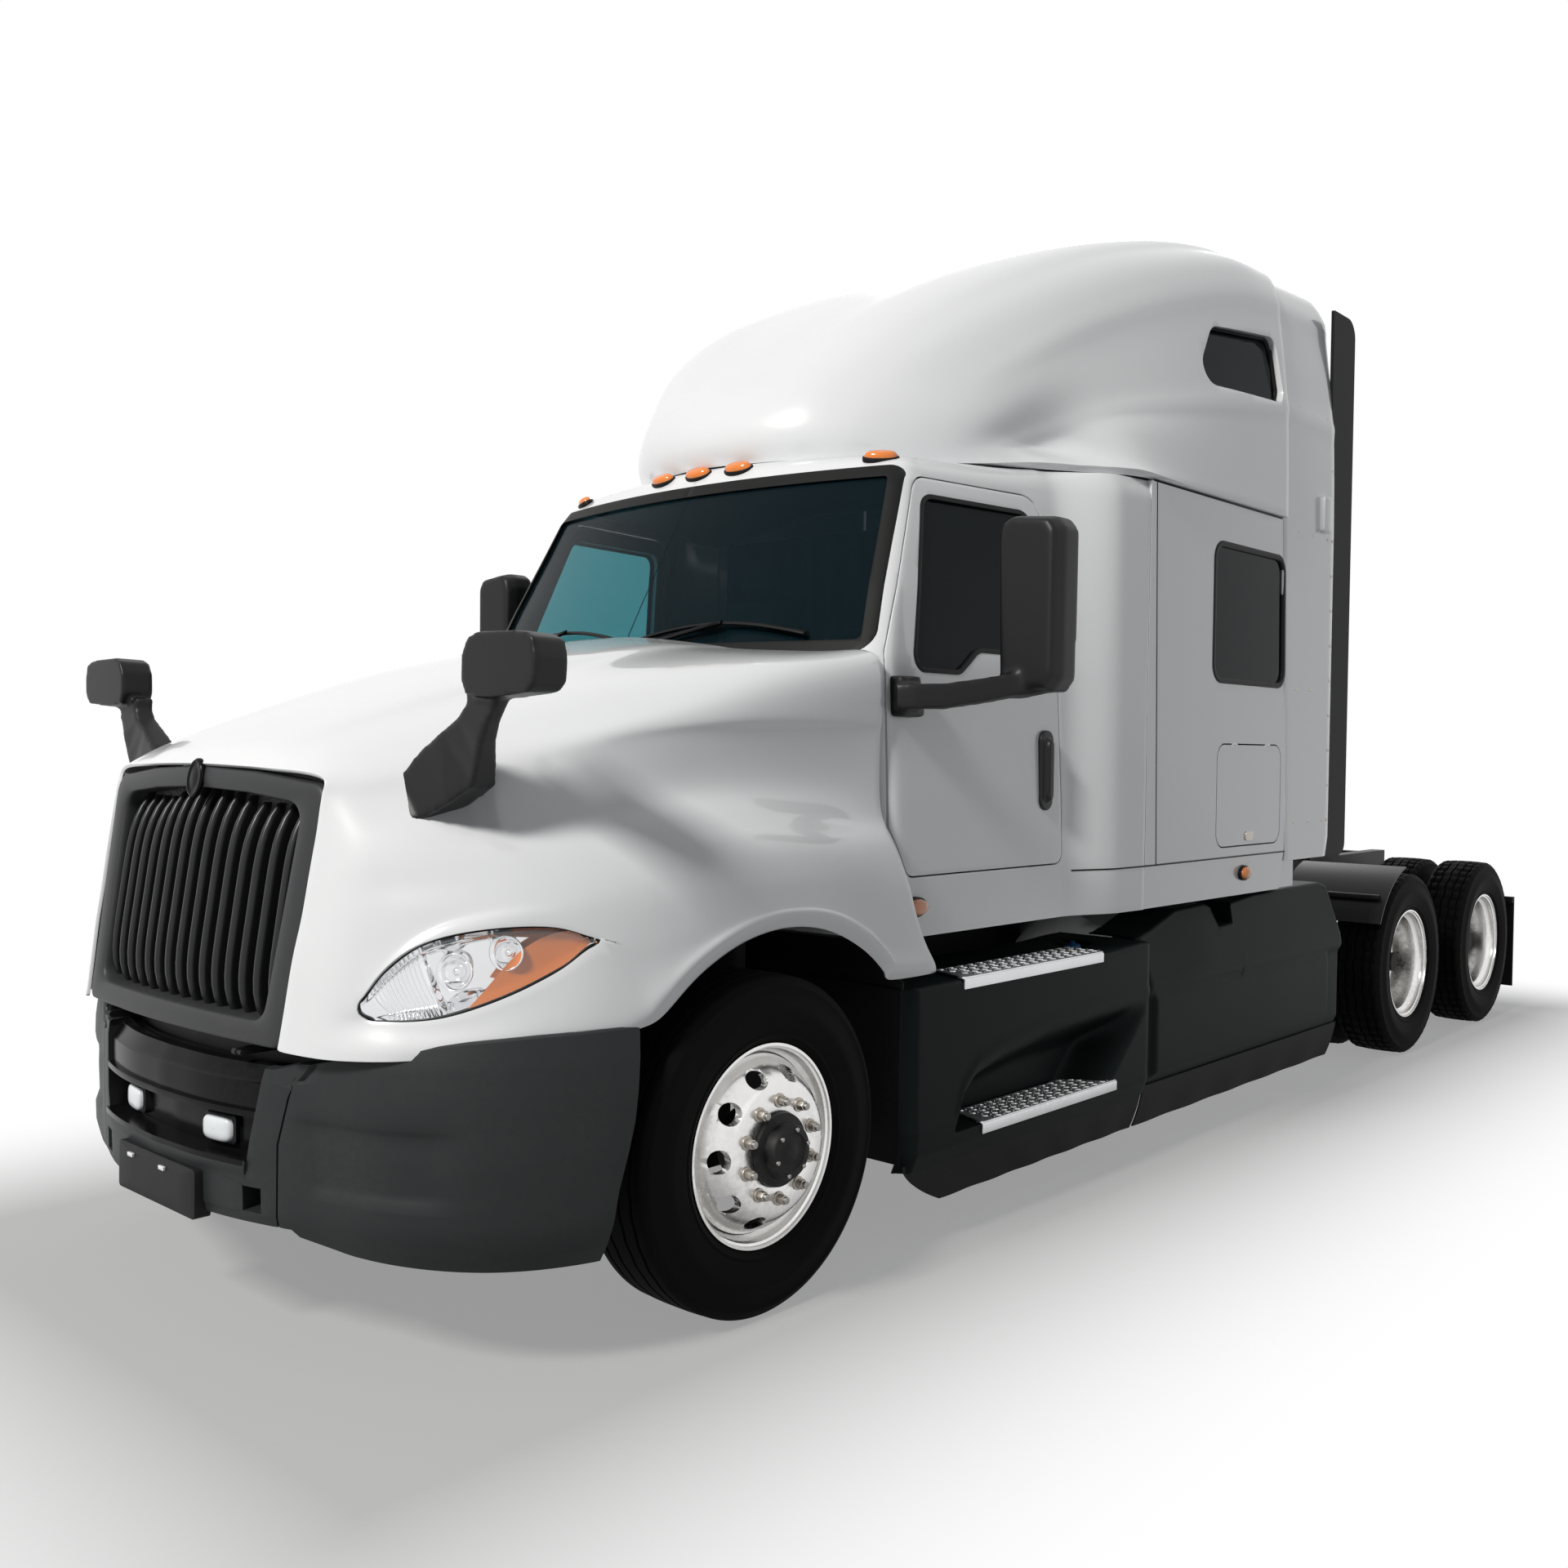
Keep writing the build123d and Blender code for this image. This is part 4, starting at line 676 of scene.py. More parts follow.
HOOD_LOWER_LINES = {
    "lamp_top": [(1.160, 0.586, 1.10), (1.125, 0.695, 1.02), (1.087, 0.762, 0.995), (1.042, 0.813, 1.078),
                 (0.972, 0.890, 1.152), (0.850, 0.988, 1.186), (0.700, 1.071, 1.187), (0.592, 1.123, 1.150),
                 (0.47, 1.160, 1.152), (0.37, 1.181, 1.172), (0.26, 1.196, 1.196), (0.11, 1.206, 1.218),
                 (-0.06, 1.209, 1.225), (-0.24, 1.207, 1.212), (-0.40, 1.203, 1.165), (-0.50, 1.199, 1.120),
                 (-0.575, 1.196, 1.100), (-0.698, 1.186, 1.105)],
    "lamp_bottom": [(1.178, 0.580, 0.975), (1.132, 0.702, 0.935), (1.062, 0.790, 0.949),
                    (1.002, 0.860, 0.949), (0.920, 0.932, 0.963), (0.800, 1.018, 1.013),
                    (0.682, 1.083, 1.078), (0.591, 1.126, 1.140), (0.48, 1.166, 1.065),
                    (0.395, 1.186, 1.075), (0.285, 1.200, 1.122), (0.12, 1.211, 1.176),
                    (-0.06, 1.214, 1.190), (-0.243, 1.212, 1.170), (-0.408, 1.207, 1.105),
                    (-0.512, 1.203, 1.035), (-0.572, 1.200, 1.015), (-0.742, 1.192, 1.015)],
    "arch_swell": [(1.190, 0.576, 0.895), (1.137, 0.709, 0.885), (1.060, 0.835, 0.888),
                   (0.982, 0.913, 0.894), (0.885, 0.988, 0.902), (0.775, 1.058, 0.915),
                   (0.655, 1.118, 0.930), (0.555, 1.155, 0.945), (0.485, 1.178, 0.960),
                   (0.440, 1.192, 0.982), (0.322, 1.206, 1.072), (0.14, 1.216, 1.152), (-0.06, 1.219, 1.180),
                   (-0.26, 1.217, 1.152), (-0.44, 1.213, 1.072), (-0.545, 1.209, 0.990),
                   (-0.578, 1.206, 0.962), (-0.782, 1.198, 0.955)],
    "lower_edge": [(1.196, 0.574, 0.862), (1.140, 0.710, 0.853), (1.060, 0.840, 0.856),
                   (0.980, 0.915, 0.862), (0.880, 0.988, 0.869), (0.770, 1.058, 0.880),
                   (0.650, 1.118, 0.893), (0.550, 1.152, 0.905), (0.472, 1.172, 0.917),
                   (0.415, 1.180, 0.945), (0.300, 1.190, 1.037), (0.130, 1.196, 1.114),
                   (-0.060, 1.198, 1.141), (-0.250, 1.196, 1.114), (-0.420, 1.194, 1.037),
                   (-0.525, 1.192, 0.957), (-0.556, 1.190, 0.930), (-0.797, 1.192, 0.926)],
}
UPPER_SHARES = [0, 0.025, 0.06, 0.105, 0.155, 0.21, 0.27, 0.325, 0.38, 0.435, 0.50, 0.57, 0.65, 0.73, 0.81,
                0.88, 0.94, 1]
LAMP_COLUMNS = (2, 7)  # the lamp opening lies between these stations


def curve_between(before, start, end, after, t):
    """A point on the smooth curve from start to end that passes through both."""
    return 0.5 * ((2 * start) + (end - before) * t + (2 * before - 5 * start + 4 * end - after) * t * t
                  + (3 * start - before - 3 * end + after) * t ** 3)


def curve_at(points, place):
    """A point on the smooth curve through some points; place counts spans from the first point."""
    k = max(0, min(int(place), len(points) - 2))
    before = points[k - 1] if k else points[0] * 2 - points[1]
    after = points[k + 2] if k + 2 < len(points) else points[-1] * 2 - points[-2]
    return curve_between(before, points[k], points[k + 1], after, place - k)


def halved(low, high, too_low, rounds=20):
    """The place between two values where a test turns from true to false, found by halving."""
    for _ in range(rounds):
        middle = (low + high) / 2
        low, high = (middle, high) if too_low(middle) else (low, middle)
    return low


def read_line(line, ahead):
    """The point of a design line at a distance ahead of the axle."""
    points = [Vector(p) for p in line]
    for k in range(len(points) - 1):
        if ahead >= points[k + 1].x - 1e-9:
            return curve_at(points, k + halved(0.0, 1.0, lambda t: curve_at(points, k + t).x > ahead))
    return points[-1]


def point_on(rows, row, column):
    """A point of a half net of design lines, counted in rows from the truck's middle and in stations."""
    k = max(0, min(int(row), len(rows) - 2))
    picked = [curve_at(rows[i], column) for i in range(max(k - 1, 0), min(k + 3, len(rows)))]
    if k == 0:  # the first row is the middle of the truck, so the row before it is a mirrored one
        picked.insert(0, mirrored(picked[1]))
    if k == len(rows) - 2:
        picked.append(picked[-1] * 2 - picked[-2])
    return curve_between(*picked, row - k)


def fine_net(rows, place, per_span):
    """Both halves of a net, finer than its design lines by a number of parts per span."""
    left = [[place(i / per_span, j / per_span) for j in range((len(rows[0]) - 1) * per_span + 1)]
            for i in range((len(rows) - 1) * per_span + 1)]
    return [[mirrored(p) for p in row] for row in reversed(left[1:])] + left


upper_lines, lower_lines = list(HOOD_UPPER_LINES.values()), list(HOOD_LOWER_LINES.values())
LAMP_ROW, last_upper = len(upper_lines), len(upper_lines)
edge = lower_lines[-1]
lower_shares = [(edge[0][0] - p[0]) / (edge[0][0] - edge[-1][0]) for p in edge]
hood_rows = []
for number, line in enumerate(upper_lines):
    down = (number / last_upper) ** 2
    places = [u + (v - u) * down for u, v in zip(UPPER_SHARES, lower_shares)]
    hood_rows.append([read_line(line, line[0][0] + (line[-1][0] - line[0][0]) * share) for share in places])
hood_rows += [[Vector(p) for p in line] for line in lower_lines]
print("hood net", len(hood_rows), "rows of", len(hood_rows[0]))


def on_hood(row, column):
    """A point of the hood's left half, in rows from the crown and in stations from the grille."""
    return at(*point_on(hood_rows, row, column))


# %% The hood's skin
per_span = 3
hood_points, hood_faces = net(fine_net(hood_rows, on_hood, per_span))
across, middle_row = (len(hood_rows[0]) - 1) * per_span + 1, (len(hood_rows) - 1) * per_span


def in_lamp(face):
    """True for the net's faces inside a lamp opening."""
    rows = [abs(v // across - middle_row) for v in face]
    columns = [v % across for v in face]
    return (min(rows) >= LAMP_ROW * per_span and max(rows) <= (LAMP_ROW + 1) * per_span
            and min(columns) >= LAMP_COLUMNS[0] * per_span and max(columns) <= LAMP_COLUMNS[1] * per_span)


hood = piece("hood_skin", hood_points, [f for f in hood_faces if not in_lamp(f)], cab_paint, "hood",
             "body_paint")
modify(hood, "SUBSURF", levels=1, render_levels=1)
thicken(hood, 0.010)
hood.data.shade_smooth()
soften(hood, 0.0025, 60)
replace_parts(hood, "hood_shell")
print("hood skin", len(hood.data.polygons), "faces")

# %% [markdown]
# ## The grille
# The surround leans back and bows forward in the middle, so one formula gives its front face.
# Loops drawn between an outer and an inner outline make its rounded frame. Behind it stand
# upright bars with rounded noses, whose ends curve back out of sight.

# %% Surround, bars and screen
def ring_outline(corners, radii, edge_parts, arc_parts=5):
    """A closed outline with rounded corners whose straight edges are cut into equal parts."""
    rounded = round_outline(corners, radii, arc_parts)
    per_corner = arc_parts + 1
    outline = []
    for k in range(len(corners)):
        arc = rounded[k * per_corner:(k + 1) * per_corner]
        start, end = Vector(arc[-1]), Vector(rounded[(k + 1) * per_corner % len(rounded)])
        outline += [Vector(p) for p in arc] + [start.lerp(end, i / edge_parts) for i in range(1, edge_parts)]
    return outline


GRILLE_OUTER = [(-0.572, 0.862), (0.572, 0.862), (0.618, 1.546), (0.30, 1.578), (0.0, 1.590), (-0.30, 1.578),
                (-0.618, 1.546)]
GRILLE_INNER = [(-0.482, 0.925), (0.482, 0.925), (0.520, 1.494), (0.27, 1.517), (0.0, 1.527), (-0.27, 1.517),
                (-0.520, 1.494)]
FRAME_SHAPE = [(0.0, 0.045), (0.0, 0.012), (0.05, 0.003), (0.17, 0.0), (0.5, -0.004), (0.80, 0.0),
               (0.95, 0.004), (1.0, 0.012), (1.03, 0.030), (1.05, 0.075)]
bar_pitch, bar_count, bar_foot, bar_setback, screen_setback = 0.0675, 15, 0.915, 0.013, 0.075


def grille_front(y, z, depth):
    """A point at a depth behind the grille's bowed, leaning front."""
    lean, bow = 0.1524 * (z - 0.864), 0.042 * (1 - (y / 0.592) ** 2)
    return at(1.196 - lean + bow - depth, y, z)


outer_loop = ring_outline(GRILLE_OUTER, [0.035, 0.035, 0.055, 0.2, 0.2, 0.2, 0.055], 8)
inner_loop = ring_outline(GRILLE_INNER, [0.05, 0.05, 0.06, 0.2, 0.2, 0.2, 0.06], 8)
loops = [[grille_front(*a.lerp(b, share), depth) for a, b in zip(outer_loop, inner_loop)]
         for share, depth in FRAME_SHAPE]
surround = sheet("grille_surround", loops, surround_plastic, "hood", "dark_trim", True)
modify(surround, "SUBSURF", levels=1, render_levels=1)
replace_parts(surround, "grille")

bar_points, bar_faces = [], []
HALF_NOSE = [(-0.0125, 0.050), (-0.0125, 0.016), (-0.0115, 0.008), (-0.0085, 0.003),
             (-0.004, 0.0005), (0.0, 0.0)]
nose = HALF_NOSE + [(-y, d) for y, d in reversed(HALF_NOSE[:-1])]
for k in range(bar_count):
    y0 = (k - (bar_count - 1) / 2) * bar_pitch
    top = 1.528 - 0.037 * (y0 / 0.27 if abs(y0) < 0.27 else 1) ** 2
    rows = []
    for share in shares(17):
        z = bar_foot + (top - bar_foot) * share
        end = abs(2 * share - 1)  # 1 at the bar's ends, which narrow and curve back
        rows.append([grille_front(y0 + y * (1 - 0.25 * end ** 6), z, bar_setback + d + 0.045 * end ** 5)
                     for y, d in nose])
    points, faces = net(rows)
    bar_faces += [tuple(v + len(bar_points) for v in face) for face in faces]
    bar_points += points
piece("grille_bars", bar_points, bar_faces, bar_plastic, "hood", "dark_trim")

grille_screen = finish("grille_screen_black", (0.006, 0.006, 0.006), 0.6, grained(95.0), 0.9, distance=0.004)
screen_rows = [[grille_front(y, z, screen_setback) for y in shares(11, -0.5, 0.5)]
               for z in (0.9, 1.05, 1.2, 1.35, 1.535)]
sheet("grille_screen", screen_rows, grille_screen, "hood", "dark_trim")

BOSS_SHAPE = [(1.0, -0.004), (1.0, 0.004), (0.93, 0.009), (0.84, 0.009), (0.78, 0.006), (0.5, 0.008),
              (0.02, 0.009)]
boss_rows = [[grille_front(0.042 * share * math.cos(a), 1.553 + 0.056 * share * math.sin(a), -rise - 0.004)
              for a in full_turn(32)] for share, rise in BOSS_SHAPE]
sheet("grille_boss", boss_rows, gloss_black, "hood", "dark_trim", True)
print("grille", len(surround.data.polygons), "frame faces,", bar_count, "bars")

# %% [markdown]
# ## Headlamps
# The lens is the patch of the hood's net that was left out of its skin, so it flows on from the
# paint around it. Behind the lens sit a chrome housing with ribs, two reflector bowls with their
# bulbs, an amber wedge that wraps round to the side, and a dark gasket.

# %% Lamp surfaces
def lamp_point(u, v, inward=0.0):
    """A point of the left lamp: u from the grille to the rear tip, v from the top edge down."""
    low, high = LAMP_COLUMNS
    row, column = LAMP_ROW + v, low + u * (high - low)
    along_u = on_hood(row, min(column + 0.1, high)) - on_hood(row, max(column - 0.1, low))
    along_v = on_hood(LAMP_ROW + 0.9, column) - on_hood(LAMP_ROW + 0.1, column)
    normal = along_u.cross(along_v)
    if normal.length < 1e-7:
        normal = Vector((-0.7, -0.7, 0))
    normal.normalize()
    if normal.x > 0:
        normal.negate()
    return on_hood(row, column) + normal * inward


def lamp_patch(name, us, vs_at, inward, material, slot):
    """A patch under the lens; vs_at gives the v values at each u, and inward gives the depth."""
    return sheet(name, [[lamp_point(u, v, inward(u, v)) for v in vs_at(u)] for u in us], material,
                 "hood", slot)


def lens_depth(u, v):
    """The lens bulges a little out of the hood's surface."""
    return 0.003 - 0.010 * math.sin(math.pi * u) ** 0.6 * math.sin(math.pi * v) ** 0.6


def housing_depth(u, v):
    """The chrome housing: a shell that deepens from its rim, with fine upright flutes near the grille."""
    rim = min(1.0, 5.5 * min(u, 1 - u)) * min(1.0, 4.5 * min(v, 1 - v))
    flutes = 0.0035 * math.cos(2 * math.pi * u * 46) if 0.10 < u < 0.36 else 0.0
    step = 0.016 * step_up(u, 0.36, 0.40) - 0.022 * step_up(u, 0.80, 0.86)
    return 0.007 + rim * (0.034 + step + flutes)


def wedge_places(u):
    """The v values of the amber wedge, from its slanting upper edge down."""
    top = min(1.0, max(0.0, 1 - (u - 0.45) / 0.43))
    return shares(9, top * 0.96 + 0.02, 0.985)


def wedge_depth(u, v):
    """The amber wedge rises to its rim."""
    return 0.008 + 0.006 * min(1.0, 6 * min(1 - u, 1 - v))


def bowl(name, middle, radius, depth):
    """A dished reflector with a domed bulb shield, facing forward and out."""
    wide, high, out = Vector((0.86, 0.50, 0.05)).normalized().to_track_quat("Z", "Y").to_matrix().col
    shape = [(1.06, -0.006), (1.06, 0.004), (1.0, 0.004), (0.86, -0.42 * depth), (0.62, -0.80 * depth),
             (0.36, -depth),
             (0.30, -depth), (0.29, -0.50 * depth), (0.20, -0.30 * depth), (0.02, -0.25 * depth)]
    loops = round_loops(middle, wide * radius, high * radius, out, shape, 28)
    return sheet(name, loops, reflector_chrome, "hood", "clear_lamp", True)


edge_path = ([(u, 0.0) for u in shares(33)] + [(1.0, v) for v in shares(9)[1:]]
             + [(u, 1.0) for u in shares(33, 1.0, 0.0)[1:]] + [(0.0, v) for v in shares(9, 1.0, 0.0)[1:-1]])
rim_rows = []
for inset, inward in ((-0.012, 0.001), (0.012, -0.002), (0.035, 0.001), (0.045, 0.02)):
    rim_rows.append([lamp_point(min(1, max(0, u + (0.5 - u) * inset)),
                                min(1, max(0, v + (0.5 - v) * inset * 2.2)), inward)
                     for u, v in edge_path])
lens = lamp_patch("headlamp_lens_left", shares(33), lambda u: shares(13), lens_depth, lamp_glass,
                  "clear_lamp")
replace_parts(lens, "headlamps")
wedge = lamp_patch("headlamp_amber_left", shares(25, 0.46, 0.985), wedge_places, wedge_depth, amber_lens,
                   "amber_lamp")
modify(wedge, "TRIANGULATE")
lamp_pieces = [
    lens, wedge,
    lamp_patch("headlamp_housing_left", shares(185), lambda u: shares(21), housing_depth, reflector_chrome,
               "clear_lamp"),
    sheet("headlamp_gasket_left", rim_rows, seal_rubber, "hood", "black_plastic", True),
    bowl("headlamp_bowl_0_left", lamp_point(0.47, 0.50, 0.022), 0.046, 0.03),
    bowl("headlamp_bowl_1_left", lamp_point(0.64, 0.45, 0.022), 0.043, 0.03)]
for part in lamp_pieces:
    twin(part, "hood")
print("headlamp pieces", len(lamp_pieces), "a side")

# %% [markdown]
# ## The bumper
# The bumper is moulded relief over a plan curve: a grid whose columns follow the curve from the
# middle to the wheel, and whose depth comes from a formula. The recess with the lamps, the gloss
# strip above it, the seam between middle and corner, the pressed-in panel and the tow holes are
# all parts of that formula. The left half is mirrored.

# %% Bumper relief
BUMPER_PLAN = [(1.248, 0.0), (1.236, 0.22), (1.198, 0.42), (1.135, 0.62), (1.068, 0.83), (0.965, 0.99),
               (0.82, 1.11), (0.64, 1.185), (0.469, 1.205)]
BUMPER_LEAN = [(0.313, 0.045), (0.36, 0.022), (0.42, 0.006), (0.60, 0.0), (0.76, 0.004), (0.84, 0.014),
               (0.91, 0.030)]  # height, set back
BUMPER_BOTTOM = [(0.0, 0.386), (0.5, 0.380), (0.73, 0.342), (1.06, 0.320), (1.205, 0.313)]
BUMPER_TOP = [(0.0, 0.812), (0.50, 0.812), (0.62, 0.820), (0.72, 0.845), (0.93, 0.882), (1.01, 0.896),
              (1.12, 0.908), (1.205, 0.912)]
plan_points = [Vector((x, y, 0)) for x, y in BUMPER_PLAN]
plan_spans = len(plan_points) - 1
lip_high, pocket_low, pocket_high = 0.50, 0.548, 0.666
upper_start, strip_low, strip_high = 0.674, 0.680, 0.752
corner_start = 0.56  # the half width from which the rows spread to the bumper's own top and bottom
tow_hole_middle, tow_hole_half = (0.430, 0.4505), (0.034, 0.033)


def bumper_place(t):
    """A point of the plan curve and the outward direction there."""
    after = curve_at(plan_points, min(t + 0.05, plan_spans - 0.001))
    tangent = after - curve_at(plan_points, max(t - 0.05, 0.0))
    return curve_at(plan_points, t), Vector((tangent.y, -tangent.x, 0)).normalized()


def plan_at_width(y):
    """The place on the plan curve with a given half width."""
    return halved(0.0, plan_spans, lambda t: curve_at(plan_points, t).y < y, 24)


def opening_edge(z):
    """Half width of the lamp recess and the gloss strip at a height."""
    return 0.415 + (z - 0.545) * 0.2255


def seam_width(z):
    """Half width of the seam between the bumper's middle and its corner."""
    return along([(0.379, 0.513), (0.605, 0.521), (0.746, 0.556), (0.815, 0.626)], z)


def bumper_depth(y, z):
    """How far the surface lies behind the plan curve."""
    depth = along(BUMPER_LEAN, z)
    if y < opening_edge(z) + 0.001:
        if pocket_low <= z <= pocket_high:
            depth += 0.060
        if strip_low <= z:
            depth += 0.012 + 0.10 * max(0.0, z - strip_high) ** 0.5
        if lip_high < z < pocket_low:
            depth -= 0.010 * step_up(z, lip_high, 0.535)
    if abs(y - seam_width(z)) < 0.0035:
        depth += 0.009
    panel_edge = along([(0.487, 0.612), (0.674, 0.560)], z)
    panel = step_up(y, panel_edge, panel_edge + 0.05) * step_up(z, 0.475, 0.515)
    panel *= 1 - step_up(z, 0.655, 0.70)
    depth += 0.013 * panel * (1 - step_up(y, 0.93, 1.03))
    if max(abs(a - b) / half for a, b, half in zip((y, z), tow_hole_middle, tow_hole_half)) < 1.0:
        depth += 0.06
    return depth


Z_KNOTS = [0.395, 0.408, 0.4165, 0.4190, 0.434, 0.450, 0.466, 0.4820, 0.4845, 0.500, 0.512, 0.524, 0.536,
           0.5465, 0.5485, 0.565, 0.585, 0.605, 0.625, 0.645, 0.6655,
           0.6685, 0.674, 0.6785, 0.6805, 0.695, 0.712, 0.730, 0.7515, 0.7545, 0.760, 0.768, 0.780, 0.795]
# half widths up to the tow hole's inner wall, in the rows that pass through it
WIDE_KNOTS = [0.0, 0.045, 0.09, 0.14, 0.19, 0.24, 0.29, 0.33, 0.36, 0.382, 0.3945, 0.3975]


def bumper_row(knot):
    """Places on the plan curve for one row of the grid, with the half width where it is chosen."""
    edge, seam = opening_edge(knot), seam_width(knot)
    if 0.414 < knot < 0.486:  # rows through the tow hole
        widths = WIDE_KNOTS + [0.415, 0.4305, 0.446, 0.4625, 0.4655, 0.480]
    else:
        widths = [edge * k / 13 for k in range(13)]
        widths += [edge + out for out in (-0.0015, 0, 0.0025, 0.012, 0.03)]
    widths = widths + [max(seam - 0.02, widths[-1] + 0.004)]
    widths += [seam + out for out in (-0.006, -0.003, 0.003, 0.006, 0.02)]
    row = [(plan_at_width(width), width) for width in widths]
    t_end = along([(0.316, 7.03), (0.90, 8.0)], knot)
    return row + [(t, None) for t in shares(43, row[-1][0], t_end)[1:]]


def bumper_height(knot, y):
    """The height of a row at a half width: the corner's rows spread to its own bottom and top."""
    if knot < lip_high:
        if y > corner_start:
            bottom = along(BUMPER_BOTTOM, y)
            return lip_high - (lip_high - knot) * (lip_high - bottom) / (lip_high - Z_KNOTS[0])
        return knot - 0.009 * (lip_high - knot) / 0.105
    if knot > upper_start and y > corner_start:
        top = along(BUMPER_TOP, y)
        return upper_start + (knot - upper_start) * (top - upper_start) / (Z_KNOTS[-1] - upper_start)
    return knot


def turned_edge(row, drop_and_back):
    """Rows that continue an edge row inward: each is moved by a rise and a set back."""
    return [[p + Vector((-back if k < 55 else -back * 0.4, -back * 0.5 * min(1, k / 40), rise))
             for k, p in enumerate(row)]
            for rise, back in drop_and_back]


bumper_rows = []
for knot in Z_KNOTS:
    row = []
    for t, width in bumper_row(knot):
        here, outward = bumper_place(min(t, plan_spans - 0.001))
        z = bumper_height(knot, here.y)
        spot = here - outward * bumper_depth(here.y if width is None else width,
                                             knot if here.y < corner_start else z)
        row.append(at(spot.x, spot.y, z))
    bumper_rows.append(row)
under = turned_edge(bumper_rows[0], ((0.004, 0.05), (0.0, 0.022), (0.0, 0.006)))
over = turned_edge(bumper_rows[-1], ((0.003, 0.008), (0.003, 0.025), (-0.003, 0.05)))
bumper = sheet("bumper_skin", both_halves(under + bumper_rows + over), bumper_plastic, "chassis", "dark_trim")
bumper.data.materials.append(gloss_black)
for face in bumper.data.polygons:
    if abs(face.center.y) < opening_edge(face.center.z) - 0.0005 and 0.535 < face.center.z < 0.80:
        face.material_index = 1
smooth_by_angle(bumper, 30)
thicken(bumper, 0.005, 1.0)
rework(bumper.data)
smooth_by_angle(bumper, 30)
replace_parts(bumper, "bumper")
print("bumper", len(bumper.data.polygons), "faces")


# %% Fog lamps, plate bracket and a black sheet of painted shade above
def rounded_slab(name, middle, half_wide, half_high, depth, radius, material, turn=0.0, crown=0.0,
                 bevel=0.004):
    """A round-cornered slab standing upright, facing forward, turned about Z."""
    outline = round_outline(box_outline((-half_wide, -half_high), (half_wide, half_high)), radius, 5)
    about_z = Matrix.Rotation(turn, 3, "Z")
    rows = []
    for share, ahead in ((1.0, -depth), (1.0, -bevel), (1 - bevel / half_high, 0.0), (0.6, crown * 0.7),
                         (0.25, crown)):
        rows.append([middle + about_z @ Vector((ahead, a * share, b * share)) for a, b in outline])
    points, faces = net(rows, wrap=True)
    faces.append(tuple(range(len(points) - len(outline), len(points))))
    return smooth_by_angle(piece(name, points, faces, material, "chassis", "black_plastic"), 40)


def squared(value):
    """A sine or cosine pushed outward, which turns a circle into a rounded square."""
    return math.copysign(abs(value) ** 0.55, value)


FOG_LENS_SHAPE = [(1.0, -0.004), (0.98, 0.006), (0.90, 0.012), (0.70, 0.016), (0.35, 0.018), (0.02, 0.018)]
fog_turn = math.radians(9)
for side, word in ((1, "left"), (-1, "right")):
    turn = side * fog_turn
    middle = at(1.192, side * 0.250, 0.605)
    rim = rounded_slab(f"fog_lamp_body_{word}", middle, 0.066, 0.040, 0.030, 0.014, chassis_black, turn)
    about_z = Matrix.Rotation(turn, 3, "Z")
    loops = [[middle + Vector((out, 0, 0))
              + about_z @ Vector((0, 0.060 * r * squared(math.cos(t)), 0.036 * r * squared(math.sin(t))))
              for t in full_turn(32)] for r, out in FOG_LENS_SHAPE]
    sheet(f"fog_lamp_lens_{word}", loops, frosted_lens, "chassis", "clear_lamp", True)
    if side > 0:
        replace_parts(rim, "fog_lamps")

rounded_slab("plate_bracket", at(1.262, 0.01, 0.430), 0.232, 0.068, 0.05, 0.012, chassis_black)
for word, y in (("right", -0.130), ("left", 0.063)):
    rounded_slab(f"plate_clip_{word}", at(1.270, y, 0.471), 0.016, 0.006, 0.012, 0.003, cab_paint, 0.0,
                 0.001, 0.002)

# A black sheet behind the bumper's top, between bumper, grille and hood: painted shade for the dark gap
# there.
shade_rows = []
for z, back in ((0.74, 0.10), (0.84, 0.115), (0.92, 0.13)):
    spots = [here - outward * back
             for here, outward in (bumper_place(plan_at_width(y)) for y in shares(41, 0.0, 1.15))]
    shade_rows.append([at(spot.x, spot.y, z) for spot in spots])
sheet("bumper_shade_sheet", both_halves(shade_rows), chassis_black, "chassis", "black_plastic")
print("front trim ready")

# %% [markdown]
# ## Mirrors
# A mirror head is a rounded block with soft corners. Prisms cut from its outline are joined,
# wrapped in a fine voxel skin and smoothed, which rounds every corner and blends the arm into
# the head as a moulding does.

# %% Soft mouldings
def moulded(name, prisms, material, body, slot, voxel, rounds, keep=1.0):
    """Join prisms under one voxel skin, smooth it, and keep a share of its faces."""
    bpy.ops.object.select_all(action="DESELECT")
    for part in prisms:
        link(part).select_set(True)
    thing = bpy.context.view_layer.objects.active = prisms[0]
    if len(prisms) > 1:
        bpy.ops.object.join()
    thing.name = name
    modify(thing, "REMESH", mode="VOXEL", voxel_size=voxel)
    modify(thing, "SMOOTH", factor=0.5, iterations=rounds)
    if keep < 1.0:
        modify(thing, "DECIMATE", ratio=keep)
    thing.data.materials.clear()
    thing.data.materials.append(material)
    thing.data.shade_smooth()
    return mount(thing, body, slot)


HOOD_MIRROR_HEAD = [(0.962, 1.822), (0.968, 1.890), (0.990, 1.926), (1.030, 1.940), (1.214, 1.934),
                    (1.252, 1.918), (1.266, 1.866), (1.258, 1.806), (1.230, 1.784), (1.08, 1.772),
                    (0.985, 1.780)]
HOOD_MIRROR_ARM = [  # ahead, across and up for pairs of points down the arm's two edges
    ((0.880, 0.935, 1.80), (0.880, 1.085, 1.80)), ((0.880, 0.945, 1.765), (0.880, 1.072, 1.765)),
    ((0.885, 0.915, 1.728), (0.885, 1.040, 1.716)), ((0.890, 0.852, 1.692), (0.890, 1.020, 1.665)),
    ((0.900, 0.770, 1.640), (0.885, 0.995, 1.600)), ((0.915, 0.705, 1.575), (0.880, 0.970, 1.550)),
    ((0.960, 0.712, 1.492), (0.900, 0.880, 1.500)), ((0.965, 0.725, 1.452), (0.915, 0.800, 1.462))]
